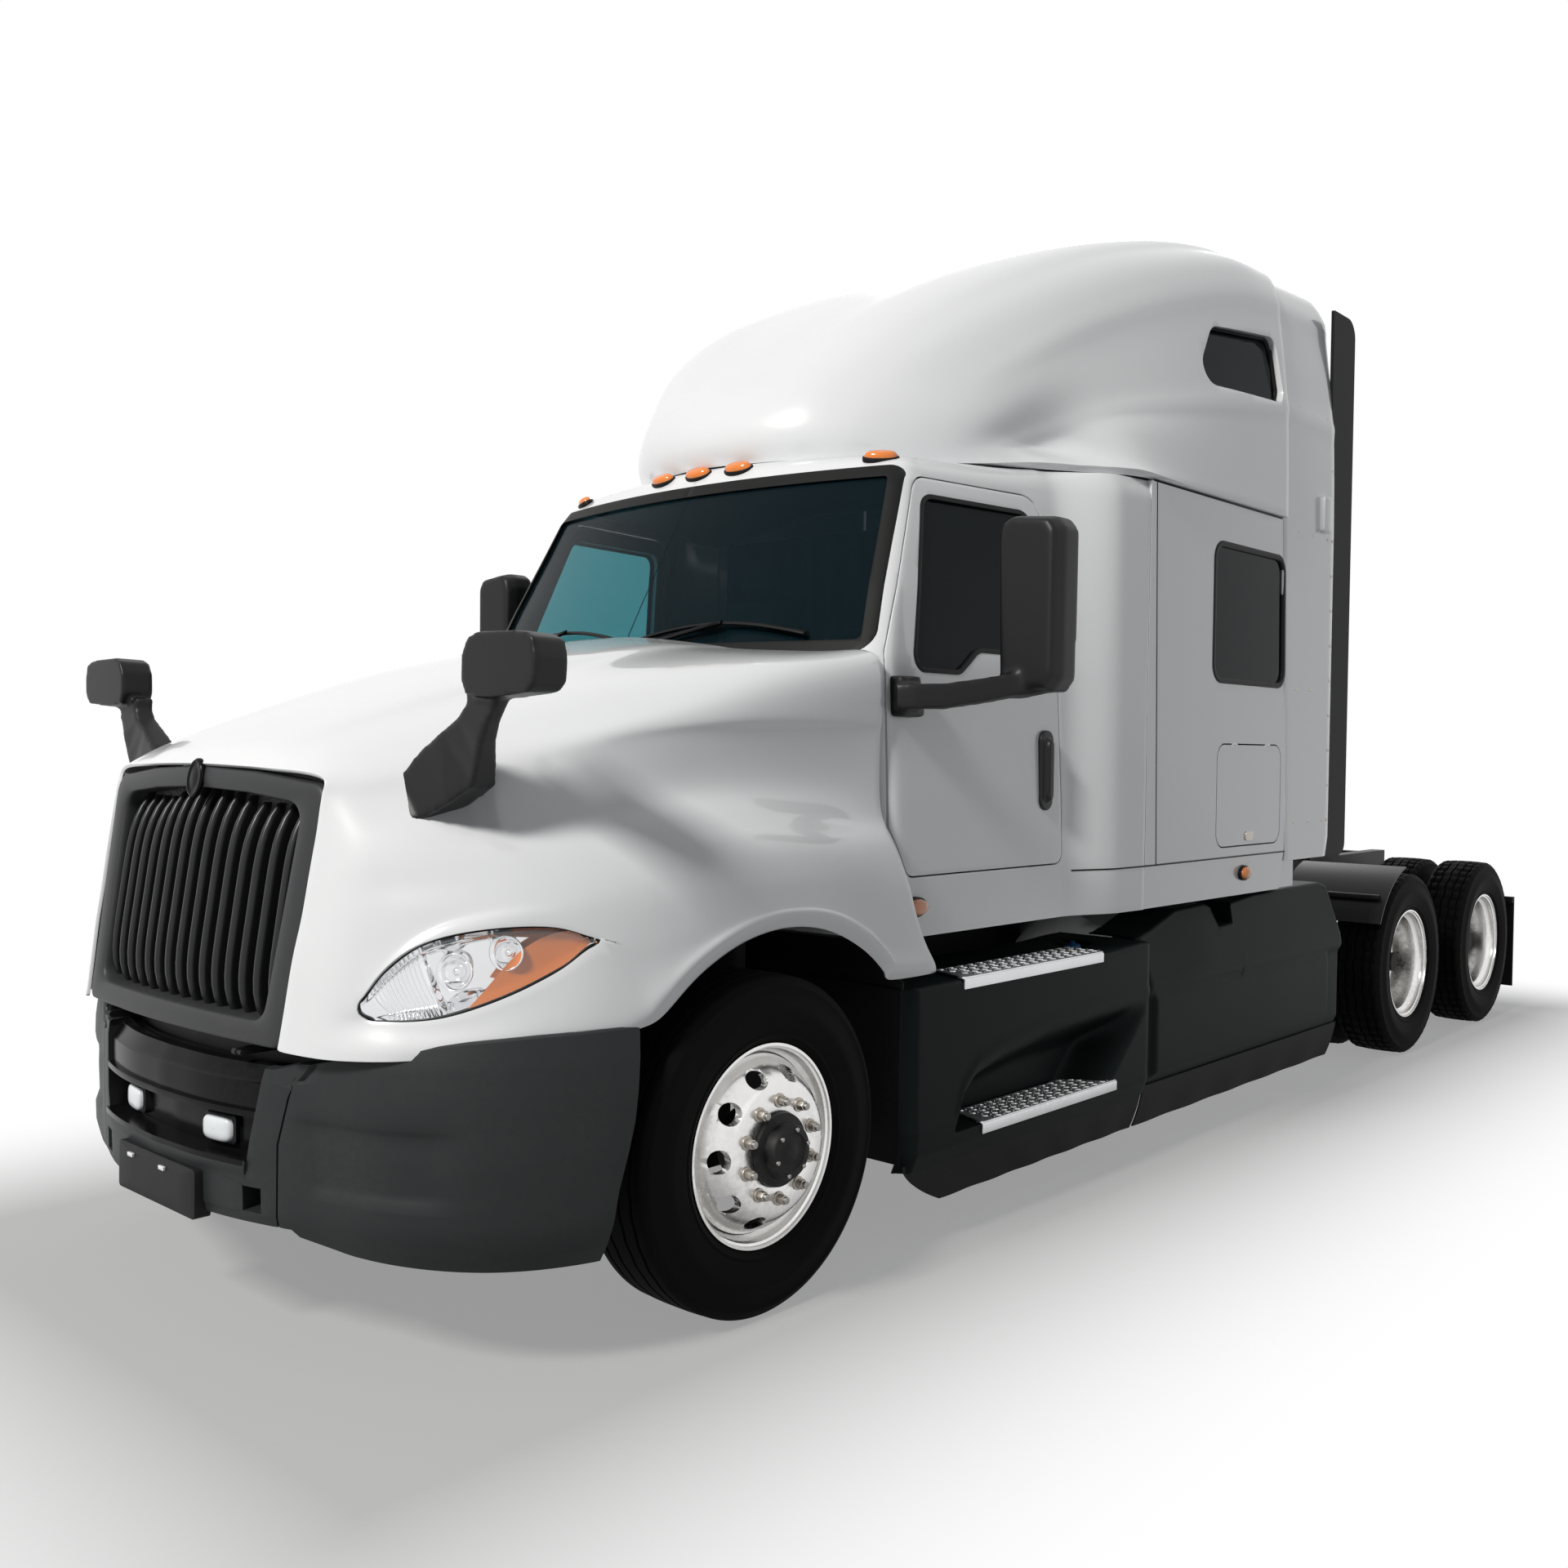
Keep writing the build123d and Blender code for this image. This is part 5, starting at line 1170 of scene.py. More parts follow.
head_front, head_back, head_squeeze = 0.925, 0.815, 0.04
middle = sum((Vector(p) for p in HOOD_MIRROR_HEAD), Vector((0, 0))) / len(HOOD_MIRROR_HEAD)
head = prism([at(head_back, *Vector(p).lerp(middle, head_squeeze)) for p in HOOD_MIRROR_HEAD],
             [at(head_front, *p) for p in HOOD_MIRROR_HEAD])
arm_outline = [at(*outer) for outer, _ in HOOD_MIRROR_ARM]
arm_outline += [at(*inner) for _, inner in reversed(HOOD_MIRROR_ARM)]
arm_back = [p - Vector((0.045 + 0.05 * step_up(1.75, p.z, p.z + 0.3), 0.02, 0)) for p in arm_outline]
arm = prism(arm_back, [p + Vector((0.012, 0, 0)) for p in arm_outline])
hood_mirror = moulded("hood_mirror_left", [head, arm], mirror_plastic, "hood", "black_plastic",
                      0.0075, 7, 0.6)
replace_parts(hood_mirror, "hood_mirrors")
twin(hood_mirror, "hood")
glass_outline = round_outline([(0.995, 1.805), (1.232, 1.805), (1.240, 1.905), (1.002, 1.910)], 0.03, 5)
twin(plate("hood_mirror_glass_left", [at(0.811, *p) for p in glass_outline], reflector_chrome, "hood",
           "alloy"), "hood")

DOOR_MIRROR_HEAD = [(1.312, 1.885), (1.324, 1.852), (1.505, 1.852), (1.538, 1.895), (1.542, 2.380),
                    (1.512, 2.420), (1.355, 2.436), (1.315, 2.415), (1.303, 2.37)]
DOOR_MIRROR_ARM = [(-0.690, 1.095), (-0.745, 1.150), (-0.815, 1.215), (-0.905, 1.290), (-0.985, 1.345),
                   (-1.045, 1.350), (-1.055, 1.46), (-0.995, 1.47), (-0.935, 1.395), (-0.845, 1.315),
                   (-0.755, 1.240), (-0.690, 1.180), (-0.655, 1.125)]
mirror_back, mirror_middle, mirror_front = -1.090, -1.000, -0.950
shell_middle = [at(mirror_middle, y, z) for y, z in DOOR_MIRROR_HEAD]
nose = [at(mirror_front, 1.422 + (y - 1.422) * 0.86, 2.145 + (z - 2.145) * 0.955)
        for y, z in DOOR_MIRROR_HEAD]
door_mirror_parts = [
    prism([at(mirror_back, y, z) for y, z in DOOR_MIRROR_HEAD], shell_middle),
    prism([p - Vector((0.004, 0, 0)) for p in shell_middle], nose),
    prism(*([at(a, y, z + rise * step_up(y, 1.2, 1.45)) for a, y in DOOR_MIRROR_ARM]
            for z, rise in ((1.790, 0.06), (1.872, 0.05)))),
    prism([at(a, y, 1.765) for a, y in ((-0.682, 1.070), (-0.682, 1.142), (-0.790, 1.150), (-0.840, 1.070))],
          [at(a, y, 1.900) for a, y in ((-0.682, 1.070), (-0.682, 1.130), (-0.780, 1.136), (-0.820, 1.070))])]
door_mirror = moulded("door_mirror_left", door_mirror_parts, mirror_plastic, "door_left", "black_plastic",
                      0.009, 8, 0.6)
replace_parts(door_mirror, "door_fittings_left")
twin(door_mirror, "door_right", "door_fittings_right")
HANDLE = round_outline(box_outline((-1.618, 1.438), (-1.534, 1.736)), 0.040, 6)
handle_middle = Vector((-1.576, 1.586))


def handle_ring(y, narrow, short):
    """The handle's outline drawn in about its middle, at a distance across."""
    return [at(handle_middle.x + (a - handle_middle.x) * narrow, y,
               handle_middle.y + (z - handle_middle.y) * short) for a, z in HANDLE]


handle_parts = [extrude(HANDLE, 1.100, 1.132),
                prism(handle_ring(1.12, 0.50, 0.86), handle_ring(1.152, 0.36, 0.74))]
twin(moulded("door_handle_left", handle_parts, mirror_plastic, "door_left", "black_plastic", 0.0045, 3),
     "door_right")
glass_outline = round_outline([(1.322, 1.885), (1.518, 1.885), (1.522, 2.385), (1.322, 2.400)], 0.035, 5)
door_mirror_glass = plate("door_mirror_glass_left", [at(-1.087, *p) for p in glass_outline],
                          reflector_chrome, "door_left", "alloy")
twin(door_mirror_glass, "door_right")
print("mirrors", len(hood_mirror.data.polygons), len(door_mirror.data.polygons), "faces")

# %% [markdown]
# ## Wheels and tyres
# A wheel is a profile turned about its axle. The tyre's tread is the same net with its radius
# pushed in where the grooves run: round the tyre on the steer axle, and also across it on the
# drive axles, where the tread is made of blocks. Each disc gets ten oval hand holes, cut through
# it, and ten nuts.

# %% Turning helpers
def turned(name, ahead, profile, material, body, slot, steps=96, reshape=None):
    """Turn a closed profile of (radius, y) points about a wheel's axle; reshape can move each point."""
    rows = []
    for k, angle in enumerate(full_turn(steps)):
        points = [reshape(r, number, k) for number, (r, _) in enumerate(profile)] if reshape else profile
        row = [Vector((ahead + r * math.sin(angle), y, axle_z - r * math.cos(angle))) for r, y in points]
        rows.append(row + [row[0]])
    thing = sheet(name, rows + [rows[0]], material, body, slot)
    rework(thing.data, merge=True)
    return smooth_by_angle(thing, 40)


SIDEWALL = [(0.291, 0.104), (0.301, 0.110), (0.306, 0.117), (0.318, 0.124), (0.321, 0.1275), (0.326, 0.1275),
            (0.329, 0.126), (0.350, 0.1335), (0.383, 0.1375), (0.386, 0.1385), (0.410, 0.1385),
            (0.413, 0.1372), (0.440, 0.134), (0.462, 0.1285), (0.466, 0.130), (0.474, 0.1275),
            (0.477, 0.1245), (0.489, 0.118), (0.4965, 0.1085)]
GROOVES = {"steer": [(0.030, 0.0042), (0.078, 0.0042)],
           "drive": [(0.0, 0.004), (0.046, 0.0055), (0.088, 0.0045)]}
TURN_STEPS = {"steer": 144, "drive": 192}
groove_depth, block_steps, block_shift = 0.013, 4, 0.003


def tread_rows(kind):
    """Half the tread from shoulder to middle: (radius, distance from the middle, whether in a groove)."""
    rows = []
    for place, half in sorted(GROOVES[kind], reverse=True):
        rows += [(0.0, place + half + 0.0015, False), (groove_depth, place + half * 0.7, True)]
        if place:
            rows += [(groove_depth, place - half * 0.7, True), (0.0, place - half - 0.0015, False)]
    return [(0.4998 - 0.010 * (w / 0.12) ** 4 - depth, w, inside) for depth, w, inside in rows]


def make_tyre(name, ahead, centre, kind, body):
    """A tyre with moulded rings on its walls and a cut tread."""
    half = [(r, w, None) for r, w in SIDEWALL] + tread_rows(kind)
    profile = half + [(r, -w, inside) for r, w, inside in reversed(half)]

    def reshape(r, number, k):
        _, w, inside = profile[number]
        notch = k % block_steps == block_steps - 1  # every fourth step falls between two blocks
        if inside is None:
            if r > 0.45 and kind == "drive" and notch:
                r -= 0.004 * step_up(r, 0.45, 0.49)
            return r, centre + w
        if kind == "steer":
            return r, centre + w + (0.0022 * math.sin(k * math.pi / 2.0) if inside or r < 0.4999 else 0)
        shift = block_shift if (k // block_steps) % 2 else -block_shift
        if not inside and notch and abs(w) > 0.006:
            r -= groove_depth * 0.75
        return r, centre + w + (shift if inside or abs(w) < 0.1 else 0)
    return turned(name, ahead, [(r, w) for r, w, _ in profile], tyre_rubber, body, "tyre",
                  TURN_STEPS[kind], reshape)


RIM = [(0.2985, 0.116), (0.2975, 0.108), (0.2905, 0.104), (0.2895, 0.084), (0.284, 0.074), (0.268, 0.064),
       (0.264, 0.052)]
RIM_BACK = [(0.255, -0.050), (0.259, -0.064), (0.276, -0.074), (0.282, -0.086), (0.2885, -0.112),
            (0.2945, -0.1165)]
DISC = [(0.262, 0.070), (0.250, 0.096), (0.236, 0.118), (0.220, 0.140), (0.206, 0.156), (0.194, 0.165),
        (0.184, 0.168), (0.112, 0.168), (0.104, 0.165), (0.104, 0.150), (0.180, 0.147), (0.198, 0.138),
        (0.214, 0.120), (0.230, 0.096), (0.243, 0.074), (0.250, 0.060)]
hand_hole_count, hand_hole_circle, hand_hole_size = 10, 0.2165, (0.0225, 0.034)
nut_count, nut_circle, disc_bulge = 10, 0.1425, 0.168


def ring_of_prisms(ahead, count, circle, outline, y_low, y_high, offset=0.0):
    """Cutters or fittings set round an axle: each is a prism along Y whose outline is (outward, sideways)."""
    points, faces = [], []
    n = len(outline)
    for k in range(count):
        angle = 2 * math.pi * (k + offset) / count
        outward = Vector((math.sin(angle), 0, -math.cos(angle)))
        sideways = Vector((math.cos(angle), 0, math.sin(angle)))
        start = len(points)
        for y in (y_low, y_high):
            middle = Vector((ahead, y, axle_z)) + outward * circle
            points += [middle + outward * a + sideways * b for a, b in outline]
        faces += [tuple(range(start, start + n)), tuple(range(start + 2 * n - 1, start + n - 1, -1))]
        faces += [(start + i, start + i + n, start + (i + 1) % n + n, start + (i + 1) % n) for i in range(n)]
    ring = loose("ring", points, faces)
    rework(ring.data)
    return ring


def oval(wide, high, count):
    """An oval outline; with equal halves it is a circle, and with six points a nut."""
    return [(wide * math.cos(t), high * math.sin(t)) for t in full_turn(count)]


def make_rim(name, ahead, centre, side, body):
    """Rim and pierced disc in polished alloy; side is +1 where the disc bulges outward."""
    outline = [(r, centre + w) for r, w in RIM]
    outline += [(0.264, centre - 0.048)] + [(r + 0.006, centre + w) for r, w in RIM_BACK]
    outline += [(r - 0.004, centre + w) for r, w in reversed(RIM_BACK)] + [(0.256, centre + 0.048)]
    outline += [(r - 0.0085, centre + w) for r, w in reversed(RIM[:-1])]
    rim = turned(name + "_rim", ahead, outline, polished_alloy, body, "alloy")
    disc = turned(name + "_disc", ahead, [(r, centre + side * w) for r, w in DISC], polished_alloy, body,
                  "alloy", 120)
    cut(disc, ring_of_prisms(ahead, hand_hole_count, hand_hole_circle, oval(*hand_hole_size, 20),
                             centre + side * 0.03, centre + side * 0.2, 0.5))
    soften(disc, 0.0035, 38)
    return {"rim": rim, "disc": smooth_by_angle(disc, 50)}


def make_nuts(name, ahead, face, body):
    """Flanged wheel nuts with their stud ends, standing on a face."""
    made = {}
    for word, outline, low, high, material, bevel in (
            ("flanges", oval(0.021, 0.021, 16), 0.0, 0.005, nut_steel, 0.001),
            ("nuts", oval(0.0155, 0.0155, 6), 0.005, 0.026, nut_steel, 0.0015),
            ("studs", oval(0.0105, 0.0105, 14), 0.0, 0.036, worn_steel, 0.001)):
        ring = ring_of_prisms(ahead, nut_count, nut_circle, outline, face + low, face + high)
        made[word] = finish_piece(ring, f"{name}_{word}", material, body, "alloy", bevel)
    return made


def twin_wheel(pieces, pattern, body, tyre_node, wheel_node):
    """Mirror a wheel's pieces; the tyre and the rim stand for the CAD tyre and wheel on both sides."""
    for part, thing in pieces.items():
        node = {"tyre": tyre_node, "tyre_outer": tyre_node, "rim": wheel_node}.get(part)
        if node:
            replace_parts(thing, node + "_left")
        twin(thing, body, *([node + "_right"] if node else []), name=pattern.format(part))
    return sum(len(thing.data.polygons) for thing in pieces.values())


print("turning helpers ready")

# %% Steer wheels
steer_centre, body = 1.062, "steer_wheel_left"
hub_face = steer_centre + disc_bulge
STEER_HUB = [(0.020, -0.15), (0.104, -0.15), (0.104, -0.010), (0.108, 0.002), (0.106, 0.012), (0.088, 0.016),
             (0.082, 0.018), (0.080, 0.046), (0.075, 0.052), (0.058, 0.055), (0.053, 0.050), (0.030, 0.050),
             (0.024, 0.055), (0.0, 0.055), (0.0, -0.15)]
steer_set = {"tyre": make_tyre("steer_tyre_shape_left", axle_x, steer_centre, "steer", body)}
steer_set |= make_rim("steer_left", axle_x, steer_centre, 1, body)
steer_set["hub"] = turned("steer_hub_left", axle_x, [(r, hub_face + y) for r, y in STEER_HUB], chassis_black,
                          body, "alloy", 64)
bolts = ring_of_prisms(axle_x, 6, 0.066, oval(0.0065, 0.0065, 10), hub_face + 0.050, hub_face + 0.060, 0.25)
steer_set["cap_bolts"] = finish_piece(bolts, "steer_cap_bolts_left", worn_steel, body, "alloy", 0.001)
steer_set |= make_nuts("steer_left", axle_x, hub_face, body)
print("steer wheel", twin_wheel(steer_set, "steer_{}_right", "steer_wheel_right", "steer_tyre",
                                "steer_wheel"), "faces a side")

# %% Drive wheels
drive_outer, dual_spacing, axle_flange = 1.080, 0.343, 0.945
drive_inner = drive_outer - dual_spacing
DRIVE_HUB = [(0.0, -0.145), (0.100, -0.145), (0.100, -0.045), (0.112, -0.033), (0.112, -0.012),
             (0.108, -0.004), (0.078, 0.0), (0.076, 0.030), (0.070, 0.040), (0.046, 0.046), (0.0, 0.046)]
for place, ahead in zip(("front", "rear"), tandem_x):
    body = f"drive_wheel_{place}_left"
    pieces = {"tyre_outer": make_tyre(f"drive_tyre_outer_{place}_left", ahead, drive_outer, "drive", body),
              "tyre_inner": make_tyre(f"drive_tyre_inner_{place}_left", ahead, drive_inner, "drive", body)}
    pieces |= make_rim(f"drive_{place}_left", ahead, drive_outer, -1, body)
    inner = make_rim(f"drive_inner_{place}_left", ahead, drive_inner, 1, body)
    pieces |= {f"inner_{part}": thing for part, thing in inner.items()}
    hub_profile = [(r, axle_flange + y) for r, y in DRIVE_HUB]
    pieces["hub"] = turned(f"drive_hub_{place}_left", ahead, hub_profile, chassis_black, body, "alloy", 64)
    bolts = ring_of_prisms(ahead, 8, 0.093, oval(0.0155, 0.0155, 6), axle_flange - 0.004, axle_flange + 0.014)
    pieces["hub_bolts"] = finish_piece(bolts, f"drive_hub_bolts_{place}_left", nut_steel, body,
                                       "alloy", 0.001)
    pieces |= make_nuts(f"drive_{place}_left", ahead, drive_outer - 0.147, body)
    faces = twin_wheel(pieces, f"drive_{{}}_{place}_right", f"drive_wheel_{place}_right",
                       f"drive_tyres_{place}", f"drive_wheels_{place}")
    print(place, "drive wheels", faces, "faces a side")

# %% [markdown]
# ## The cab
# Every level of the cab is one plan curve: a bowed windshield, a rounded corner, the door's
# nearly straight side, and behind the door a soft swell out to the sleeper. Stacked levels make
# a net; given thickness, it is cut along the door's outline, so that the door is a piece of its
# own that swings, with a real gap round it.

# %% Cab surface
CAB_LEVELS = [  # height, windshield's middle, corner, half width at the corner, half width behind the door
    (1.032, -0.630, -0.652, 1.112, 1.124),
    (1.23, -0.590, -0.650, 1.113, 1.127),
    (1.50, -0.530, -0.648, 1.104, 1.124),
    (1.95, -0.430, -0.642, 1.080, 1.112),
    (2.20, -0.565, -0.745, 1.030, 1.090),
    (2.45, -0.705, -0.860, 0.975, 1.062),
    (2.60, -0.790, -0.925, 0.940, 1.040),
    (2.660, -0.824, -0.962, 0.912, 1.028),
    (2.700, -0.852, -1.010, 0.860, 1.012),
    (2.724, -0.880, -1.080, 0.770, 0.992),
    (2.736, -0.915, -1.170, 0.655, 0.970),
]
door_back, sleeper_face, sleeper_half = -1.700, -2.166, 1.219
corner_radius, roof_edge = 0.075, 2.736
cab_foot, level_step = 1.032, 0.028
level_heights = sorted({round(cab_foot + level_step * k, 4) for k in range(57)}
                       | {2.615, 2.64, 2.660, 2.680, 2.700, 2.712, 2.722, 2.730, roof_edge})


def cab_level(z):
    """The four plan values at a height."""
    return [along([(level[0], level[k]) for level in CAB_LEVELS], z) for k in range(1, 5)]


def cab_plan(z, inset=0.0):
    """The plan curve of the left half at a height, from the windshield's middle to the sleeper."""
    centre, corner, half_front, half_rear = [value - inset for value in cab_level(z)]
    path = []
    for share in shares(25):
        y = (half_front - corner_radius) * share
        path.append((centre + (corner - centre) * (y / half_front) ** 2, y))
    start, apex, end = path[-1], (corner, half_front), (corner - corner_radius, half_front + 0.002)
    for t in shares(8)[1:]:
        path.append(tuple((1 - t) ** 2 * a + 2 * t * (1 - t) * b + t * t * c
                          for a, b, c in zip(start, apex, end)))
    path += [(end[0] + (door_back - end[0]) * t, end[1] + (half_rear - end[1]) * t) for t in shares(29)[1:]]
    flare = (sleeper_half - inset - half_rear) * (1 - step_up(z, 2.66, 2.735) * 0.08)
    for t in shares(19)[1:]:
        swell = 0.72 * step_up(t, 0.02, 0.62) + 0.28 * t
        path.append((door_back + (sleeper_face - door_back) * t, half_rear + flare * swell))
    return [Vector((x, y, z)) for x, y in path]


def cab_sheet(inset, thickness, heights=level_heights, last=None):
    """The left half of the cab's surface as a closed sheet, not yet a piece of the truck."""
    thing = link(loose("cab_sheet", *net([[at(*p) for p in cab_plan(z, inset)[:last]] for z in heights])))
    thicken(thing, thickness)
    rework(thing.data)
    return thing


def copy_of(thing):
    """A loose copy of an object and its mesh."""
    return link(bpy.data.objects.new("copy", thing.data.copy()))


def through_side(outline, inner=0.80):
    """A cutter through the cab's left side, for an outline in (ahead, height)."""
    return extrude(outline, inner, 1.40, split=False)


def through_front(outline, rear=-1.15):
    """A cutter through the windshield, for an outline in (across, height)."""
    return extrude(outline, rear, -0.30, "x", False)


def trimmed(thing, cutter, outline, keep, drop=None):
    """Keep what is inside an outline grown by one amount, and open the outline grown by another."""
    cut(thing, cutter(grown(outline, keep)), "INTERSECT")
    if drop is not None:
        cut(thing, cutter(grown(outline, drop)))
    return thing


print("cab levels", len(CAB_LEVELS), "drawn at", len(level_heights), "heights")

# %% Cab skin and doors
DOOR = round_outline([(-0.664, 1.40), (-0.664, 1.965), (-0.985, 2.618), (-1.640, 2.618), (-1.700, 1.232),
                      (-0.745, 1.232)], [0.06, 0.12, 0.09, 0.10, 0.05, 0.05], 7)
DOOR_WINDOW = round_outline([(-0.800, 1.925), (-1.005, 2.548), (-1.575, 2.548), (-1.610, 2.010),
                             (-1.180, 2.010), (-1.060, 1.925)], [0.045, 0.07, 0.06, 0.05, 0.09, 0.06], 7)
WINDSHIELD = round_outline([(-1.025, 1.990), (1.025, 1.990), (0.905, 2.640), (-0.905, 2.640)], 0.05, 7)
lining_inner, lining_rear = 0.60, -1.30
shell = cab_sheet(0.0, 0.040)
door_skin = copy_of(shell)
cut(shell, through_side(DOOR))
cut(shell, through_front(WINDSHIELD))
shell = finish_piece(shell, "cab_skin_left", cab_paint, "chassis", "body_paint", 0.003, 42)
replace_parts(shell, "cab_shell")
twin(shell)
cut(door_skin, through_side(grown(DOOR, -0.006)), "INTERSECT")
cut(door_skin, through_side(DOOR_WINDOW))
door_skin = finish_piece(door_skin, "door_skin_left", cab_paint, "door_left", "body_paint", 0.003, 42)
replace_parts(door_skin, "door_left")
twin(door_skin, "door_right", "door_right")

lining = cab_sheet(0.046, 0.004, level_heights[6:-4], 60)  # dark lining inside the paint
door_lining = copy_of(lining)
cut(lining, through_side(grown(DOOR, 0.008), lining_inner))
cut(lining, through_front(grown(WINDSHIELD, 0.010), lining_rear))
twin(finish_piece(lining, "cab_lining_left", dash_plastic, "chassis", "interior_plastic", degrees=42))
cut(door_lining, through_side(grown(DOOR, -0.016), lining_inner), "INTERSECT")
cut(door_lining, through_side(grown(DOOR_WINDOW, 0.004), lining_inner))
door_lining = finish_piece(door_lining, "door_lining_left", dash_plastic, "door_left",
                           "interior_plastic", degrees=42)
twin(door_lining, "door_right")
print("cab skin", len(shell.data.polygons), "door", len(door_skin.data.polygons), "faces")

# %% Glass and its black bands
pane = cab_sheet(0.010, 0.005)
front_pane = trimmed(copy_of(pane), through_front, WINDSHIELD, -0.001)
finish_piece(front_pane, "windshield_pane_left", windshield_glass, "chassis", "glass", degrees=42)
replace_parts(front_pane, "windshield")
twin(front_pane)
trimmed(pane, through_side, DOOR_WINDOW, -0.001)
finish_piece(pane, "door_pane_left", side_glass, "door_left", "glass", degrees=42)
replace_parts(pane, "door_glass_left")
# the right door's pane takes the bright teal glass: painted light for the far window
twin(pane, "door_right", "door_glass_right").data.materials[0] = far_glass_painted_light

band = cab_sheet(-0.0015, 0.016)
side_band = trimmed(copy_of(band), through_side, DOOR_WINDOW, 0.007, -0.010)
trimmed(band, through_front, WINDSHIELD, 0.014, -0.030)
twin(finish_piece(band, "windshield_band_left", seal_rubber, "chassis", "rubber", 0.002, 42))
twin(finish_piece(side_band, "door_window_band_left", seal_rubber, "door_left", "rubber", 0.0015, 42),
     "door_right")

# %% Roof, floor and firewall
roof_middle = -1.6


def inward_rows(plan, count, z, rise=0.0):
    """Rows that lead from a plan curve in to one point on the truck's middle line."""
    return [[at(p.x + (roof_middle - p.x) * (1 - share), p.y * share, z + rise * (1 - share)) for p in plan]
            for share in shares(count, 1.0, 0.0)]


twin(sheet("cab_roof_left", inward_rows(cab_plan(roof_edge), 5, roof_edge, 0.012), cab_paint, "chassis",
           "body_paint"))
twin(sheet("headliner_left", inward_rows(cab_plan(2.66, 0.06), 3, 2.655), dash_plastic, "chassis",
           "interior_plastic"))
FLOOR = [(-0.70, -1.06), (-0.70, 1.06), (-2.15, 1.06), (-2.15, -1.06)]
FIREWALL = [(-1.05, 1.03), (1.05, 1.03), (1.08, 1.95), (-1.08, 1.95)]
for name, outline, low, high, axis in (("cab_floor", FLOOR, 1.175, 1.215, "z"),
                                       ("cab_firewall", FIREWALL, -0.72, -0.70, "x")):
    finish_piece(extrude(outline, low, high, axis), name, soft_rubber, "chassis", "interior_plastic", 0.004)
print("glass, bands and roof ready")

# %% [markdown]
# Where two panels meet there is a fine dark line. These lines are flat strips that stand less
# than a millimetre proud of the paint; the one above the sill follows the cab's swell.

# %% Panel seams and wheel-well liners
seam_side = 1.2206  # just outside the sleeper's side


def seam(name, line, half_way):
    """A thin dark strip along a line on the left side, half_way to each side of it, and its twin."""
    strip = sheet(name + "_left", [[at(*p) - half_way, at(*p) + half_way] for p in line], seal_rubber,
                  "chassis", "rubber")
    thicken(strip, 0.0016, 0.0)
    twin(strip)


sill_line = [(p.x, p.y + 0.0006, p.z) for p in cab_plan(1.205)[61:]]
seam("sill_seam", sill_line + [(-2.18, seam_side, 1.205), (-3.51, seam_side, 1.205)], Vector((0, 0, 0.003)))
seam("sleeper_corner_seam", [(-2.215 - 0.045 * t, seam_side, 2.735 - 1.53 * t) for t in shares(9)],
     Vector((0.0022, 0, 0)))
seam("roof_seam", [(-2.19, seam_side, 2.739), (-3.41, seam_side, 2.739)], Vector((0, 0, 0.0035)))
LINER = [(1.160, 0.30), (1.165, 0.90), (1.02, 1.02), (0.46, 1.02), (0.46, 0.42), (0.62, 0.30)]
liner = extrude(LINER, -0.672, -0.663, "x")
twin(finish_piece(liner, "wheel_well_liner_left", soft_rubber, "chassis", "black_plastic", 0.003))
print("seams and liners")

# %% [markdown]
# ## The roof fairing
# The fairing starts low and wide over the windshield and rises to the sleeper's roof. Its net is
# drawn like the hood's: lines from the nose to the back. A raised panel runs up the middle, a
# soft shoulder turns into the sloping side, and below the shoulder the side is scooped out above
# the door, then swells to the sleeper's full width.

